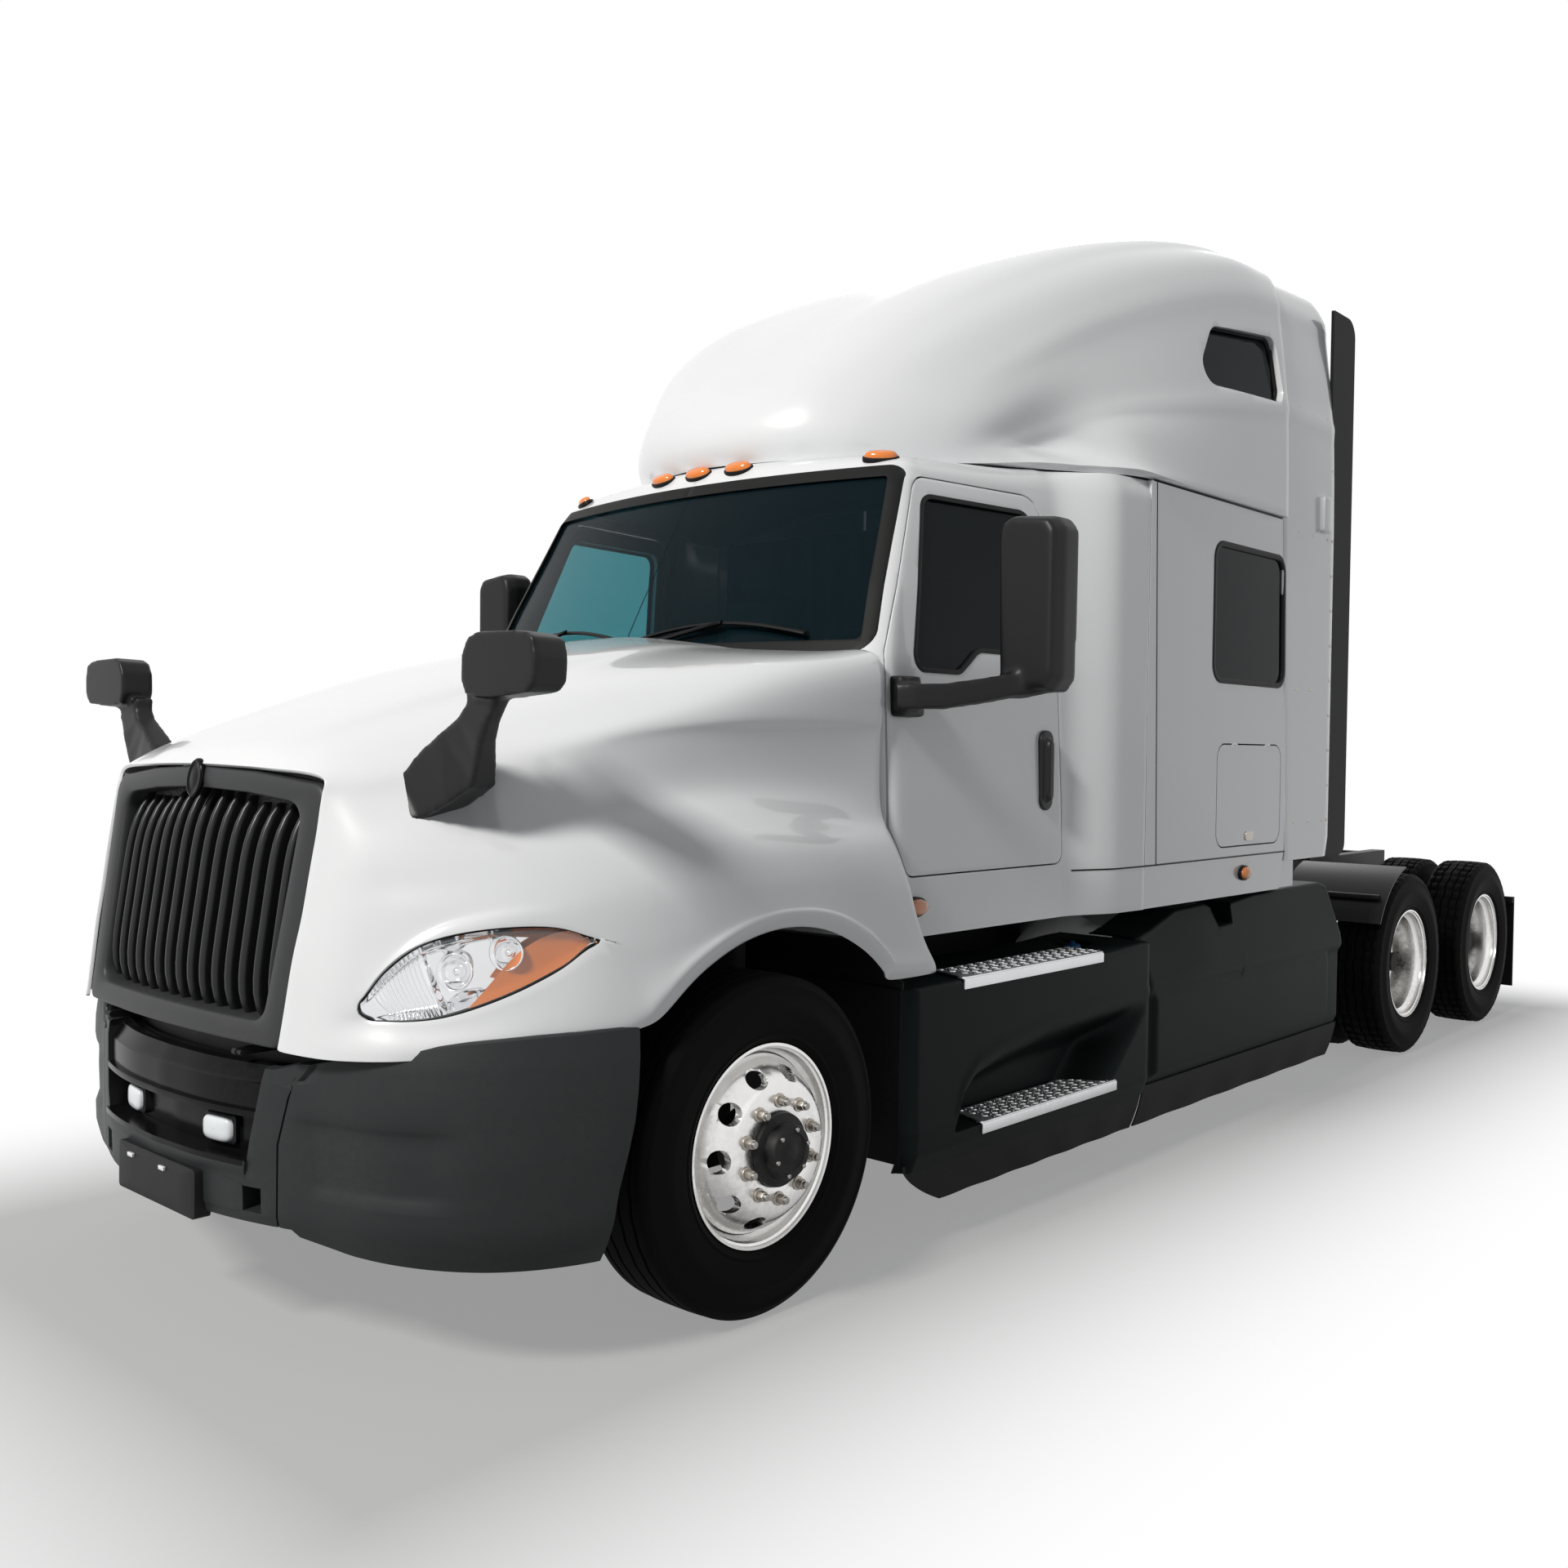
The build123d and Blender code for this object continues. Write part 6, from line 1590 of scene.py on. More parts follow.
# %% Fairing net
FAIRING_LINES = {  # (ahead, half width, height) from the foot over the nose to the back
    "crown": [(-0.905, 0.0, 2.742), (-0.878, 0.0, 2.82), (-0.910, 0.0, 2.93), (-1.02, 0.0, 3.08),
              (-1.26, 0.0, 3.30), (-1.65, 0.0, 3.535), (-2.15, 0.0, 3.75), (-2.65, 0.0, 3.895),
              (-3.05, 0.0, 3.960), (-3.405, 0.0, 3.955)],
    "ridge": [(-0.965, 0.30, 2.742), (-0.938, 0.31, 2.82), (-0.965, 0.33, 2.92), (-1.06, 0.37, 3.055),
              (-1.28, 0.47, 3.27), (-1.66, 0.60, 3.505), (-2.15, 0.70, 3.718), (-2.65, 0.78, 3.866),
              (-3.06, 0.83, 3.935), (-3.405, 0.85, 3.935)],
    "outer": [(-1.065, 0.49, 2.742), (-1.05, 0.51, 2.82), (-1.09, 0.54, 2.91), (-1.18, 0.585, 3.02),
              (-1.38, 0.69, 3.215), (-1.74, 0.81, 3.44), (-2.20, 0.90, 3.65), (-2.68, 0.97, 3.80),
              (-3.08, 1.015, 3.875), (-3.405, 1.03, 3.880)],
    "shoulder": [(-1.21, 0.635, 2.742), (-1.21, 0.66, 2.815), (-1.26, 0.70, 2.89), (-1.36, 0.755, 2.985),
                 (-1.55, 0.84, 3.15), (-1.88, 0.94, 3.355), (-2.30, 1.02, 3.55), (-2.73, 1.08, 3.70),
                 (-3.10, 1.115, 3.785), (-3.405, 1.13, 3.80)],
    "flank": [(-1.37, 0.750, 2.742), (-1.38, 0.775, 2.80), (-1.43, 0.812, 2.855), (-1.52, 0.86, 2.925),
              (-1.70, 0.93, 3.04), (-2.00, 1.015, 3.18), (-2.38, 1.09, 3.32), (-2.77, 1.14, 3.43),
              (-3.11, 1.168, 3.50), (-3.405, 1.178, 3.54)],
    "waist": [(-1.54, 0.862, 2.742), (-1.55, 0.862, 2.785), (-1.60, 0.872, 2.825), (-1.68, 0.892, 2.87),
              (-1.83, 0.952, 2.935), (-2.08, 1.075, 3.01), (-2.42, 1.150, 3.08), (-2.79, 1.187, 3.15),
              (-3.12, 1.202, 3.20), (-3.405, 1.208, 3.24)],
    "bowl": [(-1.72, 0.975, 2.742), (-1.74, 0.955, 2.77), (-1.78, 0.935, 2.80), (-1.84, 0.945, 2.83),
             (-1.93, 0.995, 2.865), (-2.12, 1.135, 2.90), (-2.44, 1.188, 2.935), (-2.79, 1.205, 2.965),
             (-3.12, 1.213, 2.99), (-3.405, 1.217, 3.01)],
    "seam": [(-1.80, 1.025, 2.742), (-1.86, 1.062, 2.742), (-1.93, 1.110, 2.742), (-2.00, 1.157, 2.742),
             (-2.10, 1.200, 2.742), (-2.25, 1.217, 2.742), (-2.50, 1.220, 2.742), (-2.80, 1.221, 2.742),
             (-3.12, 1.221, 2.742), (-3.405, 1.221, 2.742)],
}
fairing_rows = [[Vector(p) for p in line] for line in FAIRING_LINES.values()]
# pressed lines along the side: the row, then the columns where they fade in
CREASES = [(3.35, 3.0, 5.0), (5.0, 4.2, 5.5)]
last_column, per_span = 9, 7


def on_fairing(row, column):
    """A point of the left half of the fairing."""
    point = point_on(fairing_rows, row, column)
    for at_row, start, full in CREASES:
        point.y += 0.007 * math.exp(-((row - at_row) / 0.15) ** 2) * step_up(column, start, full)
    dish = 0.030 * step_up(column, 2.4, 3.4) * (1 - step_up(column, 4.2, 6.0))
    dish *= 1 - step_up(row, 0.35, 0.95)
    return point - Vector((0.45, 0, 0.85)) * dish


UPPER_WINDOW = round_outline([(-2.600, 3.215), (-2.780, 3.490), (-3.320, 3.545), (-3.372, 3.250)],
                             [0.08, 0.09, 0.06, 0.06], 7)
net_rows = fine_net(fairing_rows, lambda row, column: at(*on_fairing(row, column)), per_span)
fairing = sheet("fairing_skin", net_rows, cab_paint, "chassis", "body_paint")
thicken(fairing, 0.030)
rework(fairing.data)
for side in (1, -1):
    cut(fairing, extrude(UPPER_WINDOW, side * 1.00, side * 1.40, split=False))
soften(fairing, 0.004, 45)
smooth_by_angle(fairing, 40)
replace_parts(fairing, "roof_fairing")
rear_edge = [on_fairing(i / 7, last_column) for i in range(50)]  # from the middle down to the seam
half = [at(-3.400, p.y * 0.99, p.z - 0.008) for p in reversed(rear_edge)]
half.append(half[-1] - Vector((0, 0, 0.16)))  # the wall reaches down behind the sleeper's roof
wall = half + [mirrored(p) for p in reversed(half[1:])]
back = prism(wall, [p + Vector((0.02, 0, 0)) for p in wall])
finish_piece(back, "fairing_back_wall", cab_paint, "chassis", "body_paint")
print("fairing", len(fairing.data.polygons), "faces")

# %% [markdown]
# ## The sleeper's sides
# The sleeper is flat-sided, so its shape stays as the CAD model has it. What the eye looks for
# is the trim: rubber round the windows, lines pressed into the sheet, rows of rivets on the side
# extenders, and the latch of the luggage door.

# %% Sleeper windows
sleeper_side = 1.2200


def side_window(name, outline, outer, inner, lift, side_at, sunk):
    """A raised rubber ring between two offsets of an outline, the glass inside it, and their twins."""
    loops = []
    for amount, out in ((outer, -0.004), (outer, lift * 0.7), (outer * 0.7 + inner * 0.3, lift),
                        (outer * 0.3 + inner * 0.7, lift), (inner, lift * 0.6), (inner, -0.012)):
        loops.append([at(p.x, side_at(p.x, p.y) + out, p.y) for p in grown(outline, amount)])
    twin(sheet(f"{name}_band_left", loops, seal_rubber, "chassis", "rubber", True))
    glass_points = [at(p.x, side_at(p.x, p.y) - sunk, p.y) for p in grown(outline, -0.001)]
    glass = plate(f"{name}_glass_left", glass_points, bunk_glass, "chassis", "glass")
    twin(glass)
    return glass


def fairing_side(a, z):
    """Half width of the fairing's side at a place."""
    spots = (on_fairing(i / 4, j / 4) for i in range(10, 25) for j in range(22, 37))
    return min(spots, key=lambda p: (p.x - a) ** 2 + (p.z - z) ** 2).y


LOWER_WINDOW = round_outline([(-2.742, 1.972), (-2.742, 2.558), (-3.445, 2.558), (-3.465, 1.972)], 0.07, 7)
lower_glass = side_window("sleeper_window", LOWER_WINDOW, 0.012, -0.012, 0.0035,
                          lambda a, z: sleeper_side, 0.0085)
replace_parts(lower_glass, "sleeper_glass")
side_window("upper_window", UPPER_WINDOW, 0.013, -0.010, 0.004, fairing_side, 0.010)
print("sleeper windows", len(lower_glass.data.vertices), "points round the lower one")

# %% Side extenders
SEAM_LINE = [(1.160, -3.512), (2.740, -3.418), (3.880, -3.412)]  # where they start: height, ahead
# half width and height up the side, then along the fairing's rear edge to the middle
section = [(1.2225, z) for z in shares(17, 1.16, 2.72)]
section += [(max(0.0, p.y + 0.0015), p.z + 0.001) for p in reversed(rear_edge)]
extender_rows = []
for side, z in section:
    front = along(SEAM_LINE, z)
    rear = -4.015 + 0.09 * step_up(z, 3.74, 3.88) + 0.03 * step_up(1.26, z, z + 0.1)
    rise = 0.030 * step_up(z, 3.3, 3.88)
    extender_rows.append([at(front + (rear - front) * t, side, z + rise * t) for t in shares(13)])
extender = sheet("side_extender_left", extender_rows, cab_paint, "chassis", "body_paint")
thicken(extender, 0.014)
soften(extender, 0.004, 50)
rework(extender.data)
smooth_by_angle(extender, 40)
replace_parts(extender, "side_extenders")
twin(extender)

RIVET_RINGS = [(0.0075, 0.0), (0.0068, 0.0025), (0.004, 0.0042), (0.0008, 0.0047)]  # radius and rise
RIVET_SIDE = [(2.74, 1.2225), (3.24, 1.2100), (3.54, 1.1800)]  # height, half width
rivet_pitch = 0.17
rivet_spots = [(-3.60 - rivet_pitch * k, z) for z in (3.285, 2.70, 1.965, 1.34) for k in range(3)]
rivet_spots += [(-3.995, 1.34 + rivet_pitch * k) for k in range(12)]
points, faces = [], []
for a, z in rivet_spots:
    rivet_points, rivet_faces = net(round_loops(at(a, along(RIVET_SIDE, z), z), Vector((1, 0, 0)),
                                                Vector((0, 0, 1)),
                                                Vector((0, 1, 0)), RIVET_RINGS, 10), wrap=True)
    faces += [tuple(len(points) + v for v in face) for face in rivet_faces]
    points += rivet_points
twin(piece("extender_rivets_left", points, faces, nut_steel, "chassis", "alloy"))

LATCH = round_outline(box_outline((-3.160, 1.272), (-3.080, 1.312)), 0.012, 4)
latch = extrude(LATCH, 1.2195, 1.2255)
twin(finish_piece(latch, "luggage_latch_left", nut_steel, "luggage_door_left", "alloy", 0.0015),
     "luggage_door_right")
FITTING_BOX = round_outline(box_outline((-3.940, 2.730), (-3.840, 2.900)), 0.015, 4)
finish_piece(extrude(FITTING_BOX, 1.219, 1.245), "extender_box_left", cab_paint, "chassis",
             "body_paint", 0.006)
print("side extenders", len(rivet_spots), "rivets a side")

# %% [markdown]
# ## Marker lamps
# The amber lamps are low oval domes. Each is a few rings of points that shrink towards the top,
# set on a black rubber foot, and tilted to lie on the body where it stands.

# %% Marker lamps
LENS_RINGS = [(1.0, 0.15), (0.97, 0.45), (0.86, 0.76), (0.66, 0.93), (0.36, 1.0), (0.02, 1.0)]
FOOT_RINGS = [(1.0, -0.4), (1.0, 0.12), (0.95, 0.22), (0.80, 0.22)]
dome_steps, foot_margin = 28, 0.006


def oval_dome(name, place, facing, long_way, half_long, half_wide, height):
    """A low oval amber dome and its rubber foot."""
    facing = facing.normalized()
    long_way = (long_way - facing * long_way.dot(facing)).normalized()
    wide_way = facing.cross(long_way)
    made = []
    for word, rings, margin, material, slot in (("lens", LENS_RINGS, 0.0, amber_lens, "amber_lamp"),
                                                ("foot", FOOT_RINGS, foot_margin, seal_rubber, "rubber")):
        points, faces = net(round_loops(place, long_way * (half_long + margin),
                                        wide_way * (half_wide + margin),
                                        facing * height, rings, dome_steps), wrap=True)
        if word == "lens":
            faces.append(tuple(range(len(points) - dome_steps, len(points))))
        made.append(piece(f"{name}_{word}", points, faces, material, "chassis", slot))
    return made


def roof_spot(y, z):
    """A point on the cab's front at a height, the direction it faces and the way along the cab."""
    here = min(cab_plan(z), key=lambda p: abs(p.y - abs(y)))
    above = min(cab_plan(z + 0.015), key=lambda p: abs(p.y - abs(y)))
    aside = min(cab_plan(z), key=lambda p: abs(p.y - abs(y) - 0.06))
    facing = (aside - here).cross(above - here).normalized()
    if facing.z < 0:
        facing.negate()
    sign = -1 if y < 0 else 1
    way = Vector((aside.x - here.x, (aside.y - here.y) * sign, 0))
    return at(here.x, y, here.z), Vector((facing.x, facing.y * sign, facing.z)), way


for label, y, z in (("middle", 0.0, 2.704), ("near", 0.205, 2.704), ("far", -0.205, 2.704),
                    ("left", 0.80, 2.690), ("right", -0.80, 2.690)):
    lens, _ = oval_dome(f"roof_lamp_{label}", *roof_spot(y, z), 0.060, 0.030, 0.026)
    if label == "middle":
        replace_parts(lens, "marker_lamps")
for label, place, half_long in (("hood_side", at(-0.785, 1.126, 1.135), 0.050),
                                ("sleeper_sill", at(-3.085, 1.220, 1.128), 0.042)):
    for thing in oval_dome(f"marker_{label}_left", place, Vector((0, 1, 0)), Vector((1, 0, 0)), half_long,
                           0.028, 0.024):
        twin(thing)
print("marker lamps ready")


# %% Wipers
def on_windshield(y, z, out):
    """A point standing out from the windshield."""
    centre, corner, half, _ = cab_level(z)
    return at(centre + (corner - centre) * (y / half) ** 2 + out, y, z)


def windshield_strip(line, *rings):
    """A prism along a line of (across, height); each ring gives its half width and how far out it lies."""
    return prism(*([on_windshield(y, z - half, out) for y, z in line]
                   + [on_windshield(y, z + half, out) for y, z in reversed(line)] for half, out in rings))


for number, (start, end) in enumerate(((0.10, 0.80), (-0.72, -0.02)), 1):
    stations = [(start + (end - start) * t, 2.045 + 0.045 * math.sin(math.pi * t)) for t in shares(13)]
    blade = windshield_strip(stations, (0.007, 0.006), (0.004, 0.026))
    finish_piece(blade, f"wiper_blade_{number}", seal_rubber, "chassis", "rubber", 0.001)
    middle = (start + end) / 2
    arm_line = [(start - 0.02, 1.985), (start, 2.01), (middle - 0.03, 2.082), (middle + 0.02, 2.092)]
    arm = windshield_strip(arm_line, (0.010, 0.026), (0.006, 0.040))
    finish_piece(arm, f"wiper_arm_{number}", gloss_black, "chassis", "black_plastic", 0.002)
print("wipers ready")

# %% [markdown]
# ## Skirts and steps
# The skirts are relief: for every place along the truck and every height a formula says how far
# the surface lies inside the outermost plane. The front skirt has a scooped step bay that rises
# to nothing along a curved crease; the rear one leans inward above a crease, with an embossed
# panel below it. Over the top edge the sheet turns inward and becomes the step's shelf.

# %% Skirt relief
SCOOP_TOP = [(-2.26, 0.676), (-1.90, 0.668), (-1.50, 0.652), (-1.20, 0.615), (-1.05, 0.575), (-0.96, 0.50),
             (-0.915, 0.39), (-0.60, 0.39)]
REAR_TOP = [(-4.29, 0.985), (-4.20, 1.010), (-3.40, 1.004), (-3.155, 0.985), (-3.125, 0.900),
            (-2.985, 0.893), (-2.950, 0.985), (-2.90, 0.998), (-2.64, 0.990), (-2.40, 0.930), (-2.27, 0.905)]
step_z, skirt_plane, seam_ahead, skirt_tail = 0.372, 1.205, -2.262, -4.29
edge_radius, skirt_thickness = 0.020, 0.006
foot_z, foot_reach = 0.335, 0.07  # the foot curls in over its last seven centimetres
fixed_z, top_from, top_span = 0.60, 0.62, 0.27  # above fixed_z the levels stretch to the top edge
FILLER = (-2.02, 0.985)
SKIRT_LEVELS = ([0.272 + 0.012 * k for k in range(9)] + [step_z - 0.002, step_z + 0.003]
                + [0.384 + 0.0125 * k for k in range(18)] + [0.605 + 0.0125 * k for k in range(23)])


def foot_curl(z, depth):
    """How far the foot of a skirt is drawn in."""
    return depth * max(0.0, foot_z - z) / foot_reach


def front_skirt_inset(a, z):
    """How far the front skirt lies inside the outermost plane."""
    top = along(SCOOP_TOP, a)
    inset = foot_curl(z, 0.0275) + 0.045 * step_up(a, -0.70, -0.652) + 0.006 * step_up(-a, 2.235, 2.262)
    if z > step_z and top > step_z + 0.02:
        end = 1.875 + (z - 0.45) * 1.15
        width = min(0.17, (top - step_z) * 0.8)
        inset += 0.168 * step_up(top - z, 0.0, width) * (1 - step_up(-a, end, end + 0.17))
    return inset - 0.006 * math.exp(-((z - top - 0.018) / 0.02) ** 2)


def rear_skirt_inset(a, z):
    """How far the rear skirt lies inside the outermost plane."""
    crease = 0.700 + 0.035 * step_up(-a, 2.3, 2.9)
    panel = step_up(z, 0.318, 0.345) * (1 - step_up(z, 0.640, 0.690)) * step_up(-a, 2.30, 2.33)
    panel *= 1 - step_up(-a, 4.10 + 0.03 * (z - 0.4), 4.15)
    panel *= 1 - step_up(math.hypot(max(0.0, -a - 4.02), max(0.0, 0.43 - z)), 0.075, 0.110)
    return (0.34 * max(0.0, z - crease) + 0.004 * math.exp(-((z - crease) / 0.012) ** 2)
            + 0.020 * (1 - panel) * (1 - step_up(z, 0.66, 0.70)) + foot_curl(z, 0.035)
            + 0.012 * step_up(-a, 4.27, 4.29) + 0.010 * step_up(a, -2.292, -2.268))


def filler_dip(a, y):
    """Depth of the round filler recess in the front skirt's shelf."""
    return 0.045 * (1 - step_up(math.hypot((a - FILLER[0]) / 1.25, y - FILLER[1]), 0.050, 0.070))


def skirt(name, places, inset, top_at, shelf_depth, stands_for):
    """A relief skirt with a rounded top edge and a shelf, as sheet, and its twin."""
    rows = []
    for level in SKIRT_LEVELS:
        heights = [level] * len(places)
        if level >= fixed_z:
            heights = [fixed_z + (level - fixed_z) * (top_at(a) - top_from) / top_span for a in places]
        rows.append([at(a, skirt_plane - inset(a, z), z) for a, z in zip(places, heights)])
    edge = [(a, p.y, p.z) for a, p in zip(places, rows[-1])]
    for turn in shares(7, 0, math.pi / 2)[1:]:
        inward, rise = edge_radius * (1 - math.cos(turn)), edge_radius * math.sin(turn)
        rows.append([at(a, y - inward, z + rise) for a, y, z in edge])
    for depth in shares(13, edge_radius, edge_radius + shelf_depth)[1:]:
        rows.append([at(a, y - depth, z + edge_radius - filler_dip(a, y - depth)) for a, y, z in edge])
    thing = sheet(name, rows, skirt_plastic, "chassis", "dark_trim")
    thicken(thing, skirt_thickness)
    rework(thing.data)
    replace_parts(smooth_by_angle(thing, 50), stands_for)
    twin(thing)
    return thing


front = skirt("skirt_front_left", shares(151, -0.655, seam_ahead), front_skirt_inset,
              lambda a: 0.872 + 0.012 * step_up(-a, 1.9, 2.2), 0.40, "skirts_front")
rear = skirt("skirt_rear_left", shares(161, seam_ahead - 0.008, skirt_tail), rear_skirt_inset,
             lambda a: along(REAR_TOP, a) - 0.012, 0.20, "skirts_rear")
print("skirts", len(front.data.polygons), len(rear.data.polygons), "faces")

# %% Flexible lips and filler caps
LIP_SPANS = (("front", -0.665, -0.935, seam_ahead, seam_ahead + 0.015),
             ("rear", seam_ahead - 0.012, seam_ahead - 0.012, -4.288, -4.275))
for word, top_front, low_front, top_rear, low_rear in LIP_SPANS:  # the ends of the upper and the lower edge
    lip_rows = []
    for t in shares(13):
        places = shares(41, top_front + (low_front - top_front) * t ** 1.6,
                        top_rear + (low_rear - top_rear) * t)
        lip_rows.append([at(a, 1.172 - 0.022 * t - 0.025 * t ** 2 + 0.003 * math.sin(j * 0.8) * t,
                            0.300 - 0.172 * t)
                         for j, a in enumerate(places)])
    lip = sheet(f"skirt_lip_{word}_left", lip_rows, soft_rubber, "chassis", "rubber")
    thicken(lip, skirt_thickness, 0.0)
    smooth_by_angle(lip, 50)
    if word == "front":
        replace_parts(lip, "skirt_lips")
    twin(lip)
# radius and rise of the rings of points that make the cap
CAP_RINGS = [(0.034, -0.02), (0.034, 0.010), (0.030, 0.017), (0.012, 0.018), (0.010, 0.030), (0.002, 0.030)]
filler_cap_blue = finish("filler_cap_blue", (0.02, 0.16, 0.42), 0.4, fine_grain, 0.1, 0.3)
cap_loops = round_loops(at(*FILLER, 0.868), Vector((1, 0, 0)), Vector((0, 1, 0)), Vector((0, 0, 1)),
                        CAP_RINGS, 20)
twin(sheet("filler_cap_left", cap_loops, filler_cap_blue, "chassis", "black_plastic", True))
print("lips and filler caps ready")

# %% Diamond tread plates
TREAD_EDGE = [(-0.030, -0.001), (-0.006, -0.001), (0.002, -0.009), (0.002, -0.042), (-0.004, -0.042),
              (-0.005, -0.010), (-0.030, -0.007)]
slant, pitch_along, pitch_across, diamond_turn = 0.06, 0.030, 0.026, 38


def tread_plate(name, a_front, a_rear, y_in, y_out, z):
    """An aluminium step: a plate with a rolled outer edge and rows of raised diamonds, and its twin."""
    outline = [(a_front - slant, y_in), (a_rear + slant * 0.4, y_in), (a_rear, y_out), (a_front, y_out)]
    base = extrude(round_outline(outline, 0.012, 3), z - 0.006, z, "z")
    lip = extrude([(y_out + out, z + up) for out, up in TREAD_EDGE], a_front - 0.004, a_rear + 0.004, "x")
    points, faces = [], []
    for i in range(int((y_out - y_in) / pitch_across)):
        for j in range(int((a_front - a_rear - slant) / pitch_along)):
            a = a_front - slant - 0.018 - pitch_along * j - (pitch_along / 2 if i % 2 else 0)
            centre = at(a, y_in + 0.018 + pitch_across * i, z)
            turn = math.radians(diamond_turn if (i + j) % 2 else -diamond_turn)
            long_way = Vector((math.cos(turn), math.sin(turn), 0))
            wide_way = Vector((-math.sin(turn), math.cos(turn), 0))
            start = len(points)
            for half_long, half_wide, rise in ((0.0125, 0.0046, 0.0), (0.0065, 0.0022, 0.0028)):
                ends = (long_way * half_long, wide_way * half_wide)
                points += [centre + way + Vector((0, 0, rise)) for way in (*ends, -ends[0], -ends[1])]
            faces += [(start + k, start + (k + 1) % 4, start + 4 + (k + 1) % 4, start + 4 + k)
                      for k in range(4)]
            faces.append((start + 4, start + 5, start + 6, start + 7))
    diamonds = piece(name + "_diamonds", points, faces, tread_plate_metal, "chassis", "tread_plate", False)
    twin(diamonds)
    for part, word in ((base, "plate"), (lip, "edge")):
        twin(finish_piece(part, f"{name}_{word}", tread_plate_metal, "chassis", "tread_plate", 0.002))
    return diamonds


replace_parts(tread_plate("step_upper_left", -0.95, -1.885, 1.035, 1.206, 0.892), "step_treads")
tread_plate("step_lower_left", -1.065, -1.995, 1.048, 1.210, 0.380)
print("steps ready")

# %% [markdown]
# ## Inside the cab
# Seen through the glass: two padded seats, a dashboard with a soft top, and a steering wheel.
# The seat cushions are sewn boxes filled by the cloth solver; the dashboard and wheel are
# mouldings.

# %% Cushions
seat_cloth = finish("seat_cloth", (0.045, 0.048, 0.052), 0.85, grained(700.0), 0.5)
swell_frames = 20


def swell_by_cloth(thing, most):
    """Blow a closed mesh up a little as cloth under pressure, and keep the shape."""
    start = [v.co.copy() for v in thing.data.vertices]
    cloth = thing.modifiers.new("cloth", "CLOTH")
    cloth.settings.quality = 4
    cloth.settings.use_pressure = True
    cloth.settings.uniform_pressure_force = 4.0
    cloth.settings.effector_weights.gravity = 0.0
    cloth.settings.tension_stiffness = cloth.settings.compression_stiffness = 12.0
    cloth.point_cache.frame_start, cloth.point_cache.frame_end = 1, swell_frames
    for frame_number in range(1, swell_frames + 1):
        bpy.context.scene.frame_set(frame_number)
    settle(thing)
    bpy.context.scene.frame_set(1)
    for vertex, was in zip(thing.data.vertices, start):
        move = vertex.co - was
        if move.length > most:
            vertex.co = was + move * (most / move.length)


def soft_box(name, corners, thickness, most=0.022):
    """A cushion: a slab between four corners, given cloth pressure so that it swells."""
    slab = link(prism(corners, [c + thickness for c in corners]))
    slab.name = name
    modify(slab, "BEVEL", width=min(0.035, thickness.length * 0.3), segments=3, limit_method="ANGLE")
    modify(slab, "REMESH", mode="VOXEL", voxel_size=0.018)
    slab.data.materials.clear()
    slab.data.materials.append(seat_cloth)
    slab.data.shade_smooth()
    swell_by_cloth(slab, most)
    return mount(slab, "chassis", "cloth")


CUSHION = [(-1.22, -0.25), (-1.22, 0.25), (-1.70, 0.24), (-1.70, -0.24)]
BACK = [(-0.24, 1.72), (0.24, 1.72), (0.21, 2.36), (-0.21, 2.36)]
HEADREST = [(-0.13, 2.38), (0.13, 2.38), (0.11, 2.53), (-0.11, 2.53)]
BASE_FOOT = [(-1.30, -0.18), (-1.30, 0.18), (-1.66, 0.18), (-1.66, -0.18)]
BASE_TOP = [(-1.28, -0.21), (-1.28, 0.21), (-1.68, 0.21), (-1.68, -0.21)]
seat_height = 1.62
for word, middle in (("driver", 0.56), ("passenger", -0.56)):
    cushion_corners = [at(a, middle + y, seat_height) for a, y in CUSHION]
    cushion = soft_box(f"seat_cushion_{word}", cushion_corners, Vector((0, 0, 0.12)))
    if word == "driver":
        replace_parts(cushion, "seats")
    back_corners = [at(-1.68 - 0.16 * (z - 1.72), middle + y, z) for y, z in BACK]
    soft_box(f"seat_back_{word}", back_corners, Vector((-0.11, 0, 0)))
    soft_box(f"headrest_{word}", [at(-1.80, middle + y, z) for y, z in HEADREST], Vector((-0.09, 0, 0)), 0.01)
    base = prism([at(a, middle + y, 1.215) for a, y in BASE_FOOT],
                 [at(a, middle + y, seat_height) for a, y in BASE_TOP])
    finish_piece(base, f"seat_base_{word}", dash_plastic, "chassis", "interior_plastic", 0.01)
mattress_corners = [at(a, y, 1.86) for a, y in ((-2.72, -1.10), (-2.72, 1.10), (-3.42, 1.10), (-3.42, -1.10))]
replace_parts(soft_box("bunk_mattress", mattress_corners, Vector((0, 0, 0.16)), 0.03), "bunk")
fold_rows = [[at(-2.125 + 0.018 * math.sin(y * 46) + 0.006 * math.sin(y * 17 + z), y, z)
              for y in shares(141, -1.06, 1.06)]
             for z in (1.22, 1.7, 2.2, 2.66)]
thicken(sheet("sleeper_curtain", fold_rows, seat_cloth, "chassis", "cloth"), 0.003, 0.0)
print("seats, bunk and curtain ready")

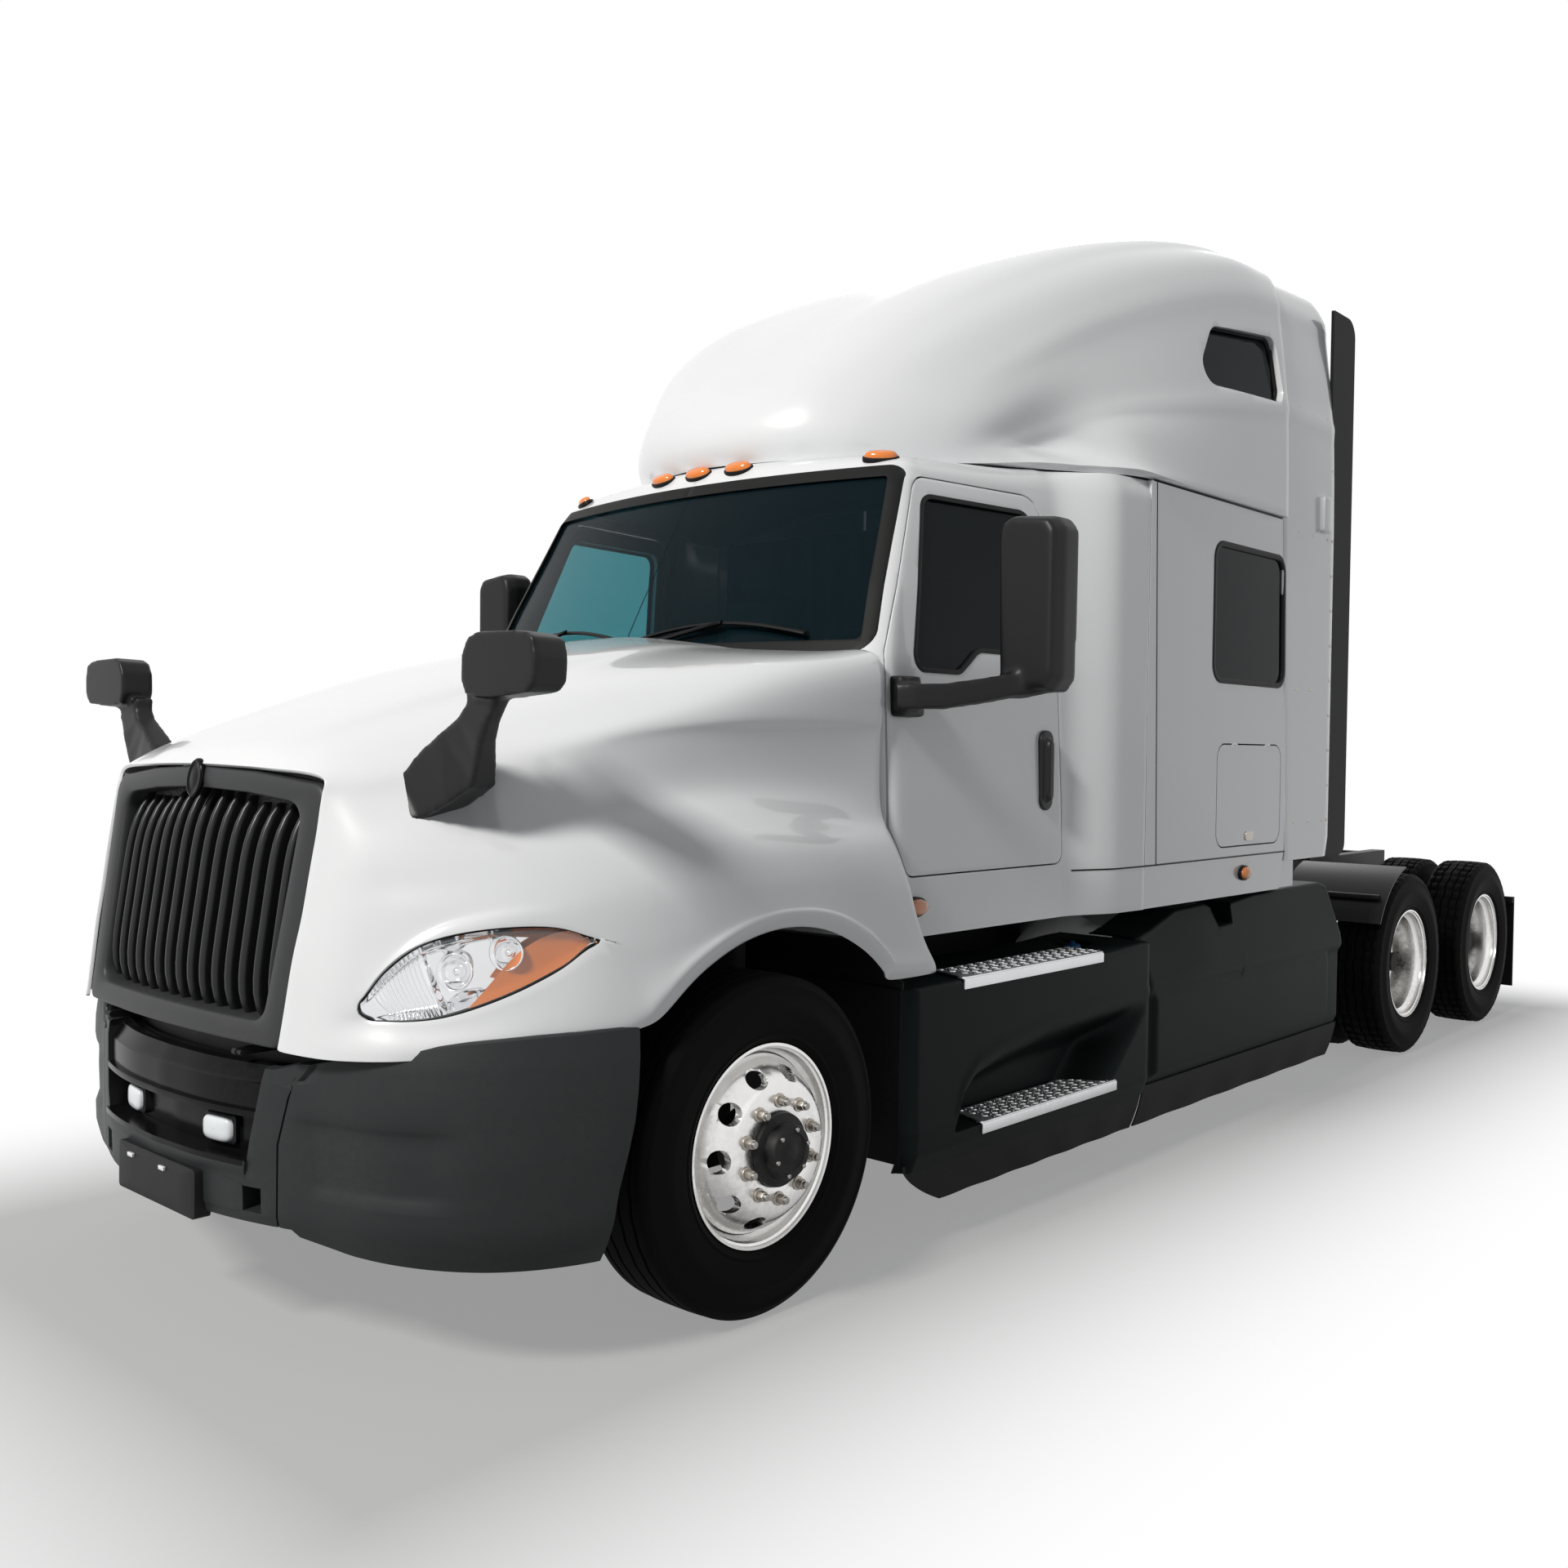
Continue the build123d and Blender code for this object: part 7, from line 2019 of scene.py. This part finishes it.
# %% Dashboard and steering wheel
DASH_SIDE = [(-0.76, 1.30), (-0.74, 1.80), (-0.76, 1.92), (-0.86, 1.955), (-1.02, 1.93), (-1.10, 1.86),
             (-1.08, 1.70), (-0.98, 1.60), (-0.95, 1.30)]
DIAL_HOOD = [(-0.86, 1.93), (-0.90, 2.00), (-1.08, 1.985), (-1.12, 1.90)]
dash = moulded("dashboard_skin", [extrude(DASH_SIDE, -1.00, 1.00), extrude(DIAL_HOOD, 0.32, 0.82)],
               dash_plastic, "chassis", "interior_plastic", 0.022, 3)
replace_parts(dash, "dashboard")
wheel_middle, wheel_facing = at(-1.24, 0.56, 1.93), Vector((-0.80, 0, 0.60)).normalized()
level = Vector((0, 1, 0))
upward = wheel_facing.cross(level) * -1
rim_radius, rim_thickness = 0.218, 0.016


def on_wheel(spots, depth=0.0, middle=wheel_middle):
    """Points given across and up the steering wheel's plane, and a depth along its facing."""
    return [middle + level * y + upward * z + wheel_facing * depth for y, z in spots]


rim_rows = []
for t in full_turn(48):
    out = level * math.cos(t) + upward * math.sin(t)
    rim_rows += round_loops(wheel_middle + out * rim_radius, out, wheel_facing, Vector(),
                            [(rim_thickness, 0.0)], 10)
sheet("steering_wheel_rim", rim_rows + rim_rows[:1], mirror_plastic, "chassis", "interior_plastic", True)
HUB_BACK = [(-0.21, 0.03), (0.21, 0.03), (0.10, -0.07), (0.03, -0.21), (-0.03, -0.21), (-0.10, -0.07)]
HUB_FACE = [(-0.21, 0.02), (0.21, 0.02), (0.08, -0.06), (0.02, -0.21), (-0.02, -0.21), (-0.08, -0.06)]
hub = prism(on_wheel(HUB_BACK, -0.03), on_wheel(HUB_FACE))
finish_piece(hub, "steering_wheel_hub", mirror_plastic, "chassis", "interior_plastic", 0.008)
column = prism(on_wheel(box_outline((-0.04, -0.04), (0.04, 0.04)), -0.03),
               on_wheel(box_outline((-0.05, -0.05), (0.05, 0.05)), 0.0, at(-1.02, 0.56, 1.70)))
finish_piece(column, "steering_column", dash_plastic, "chassis", "interior_plastic", 0.01)
print("dashboard and steering wheel ready")
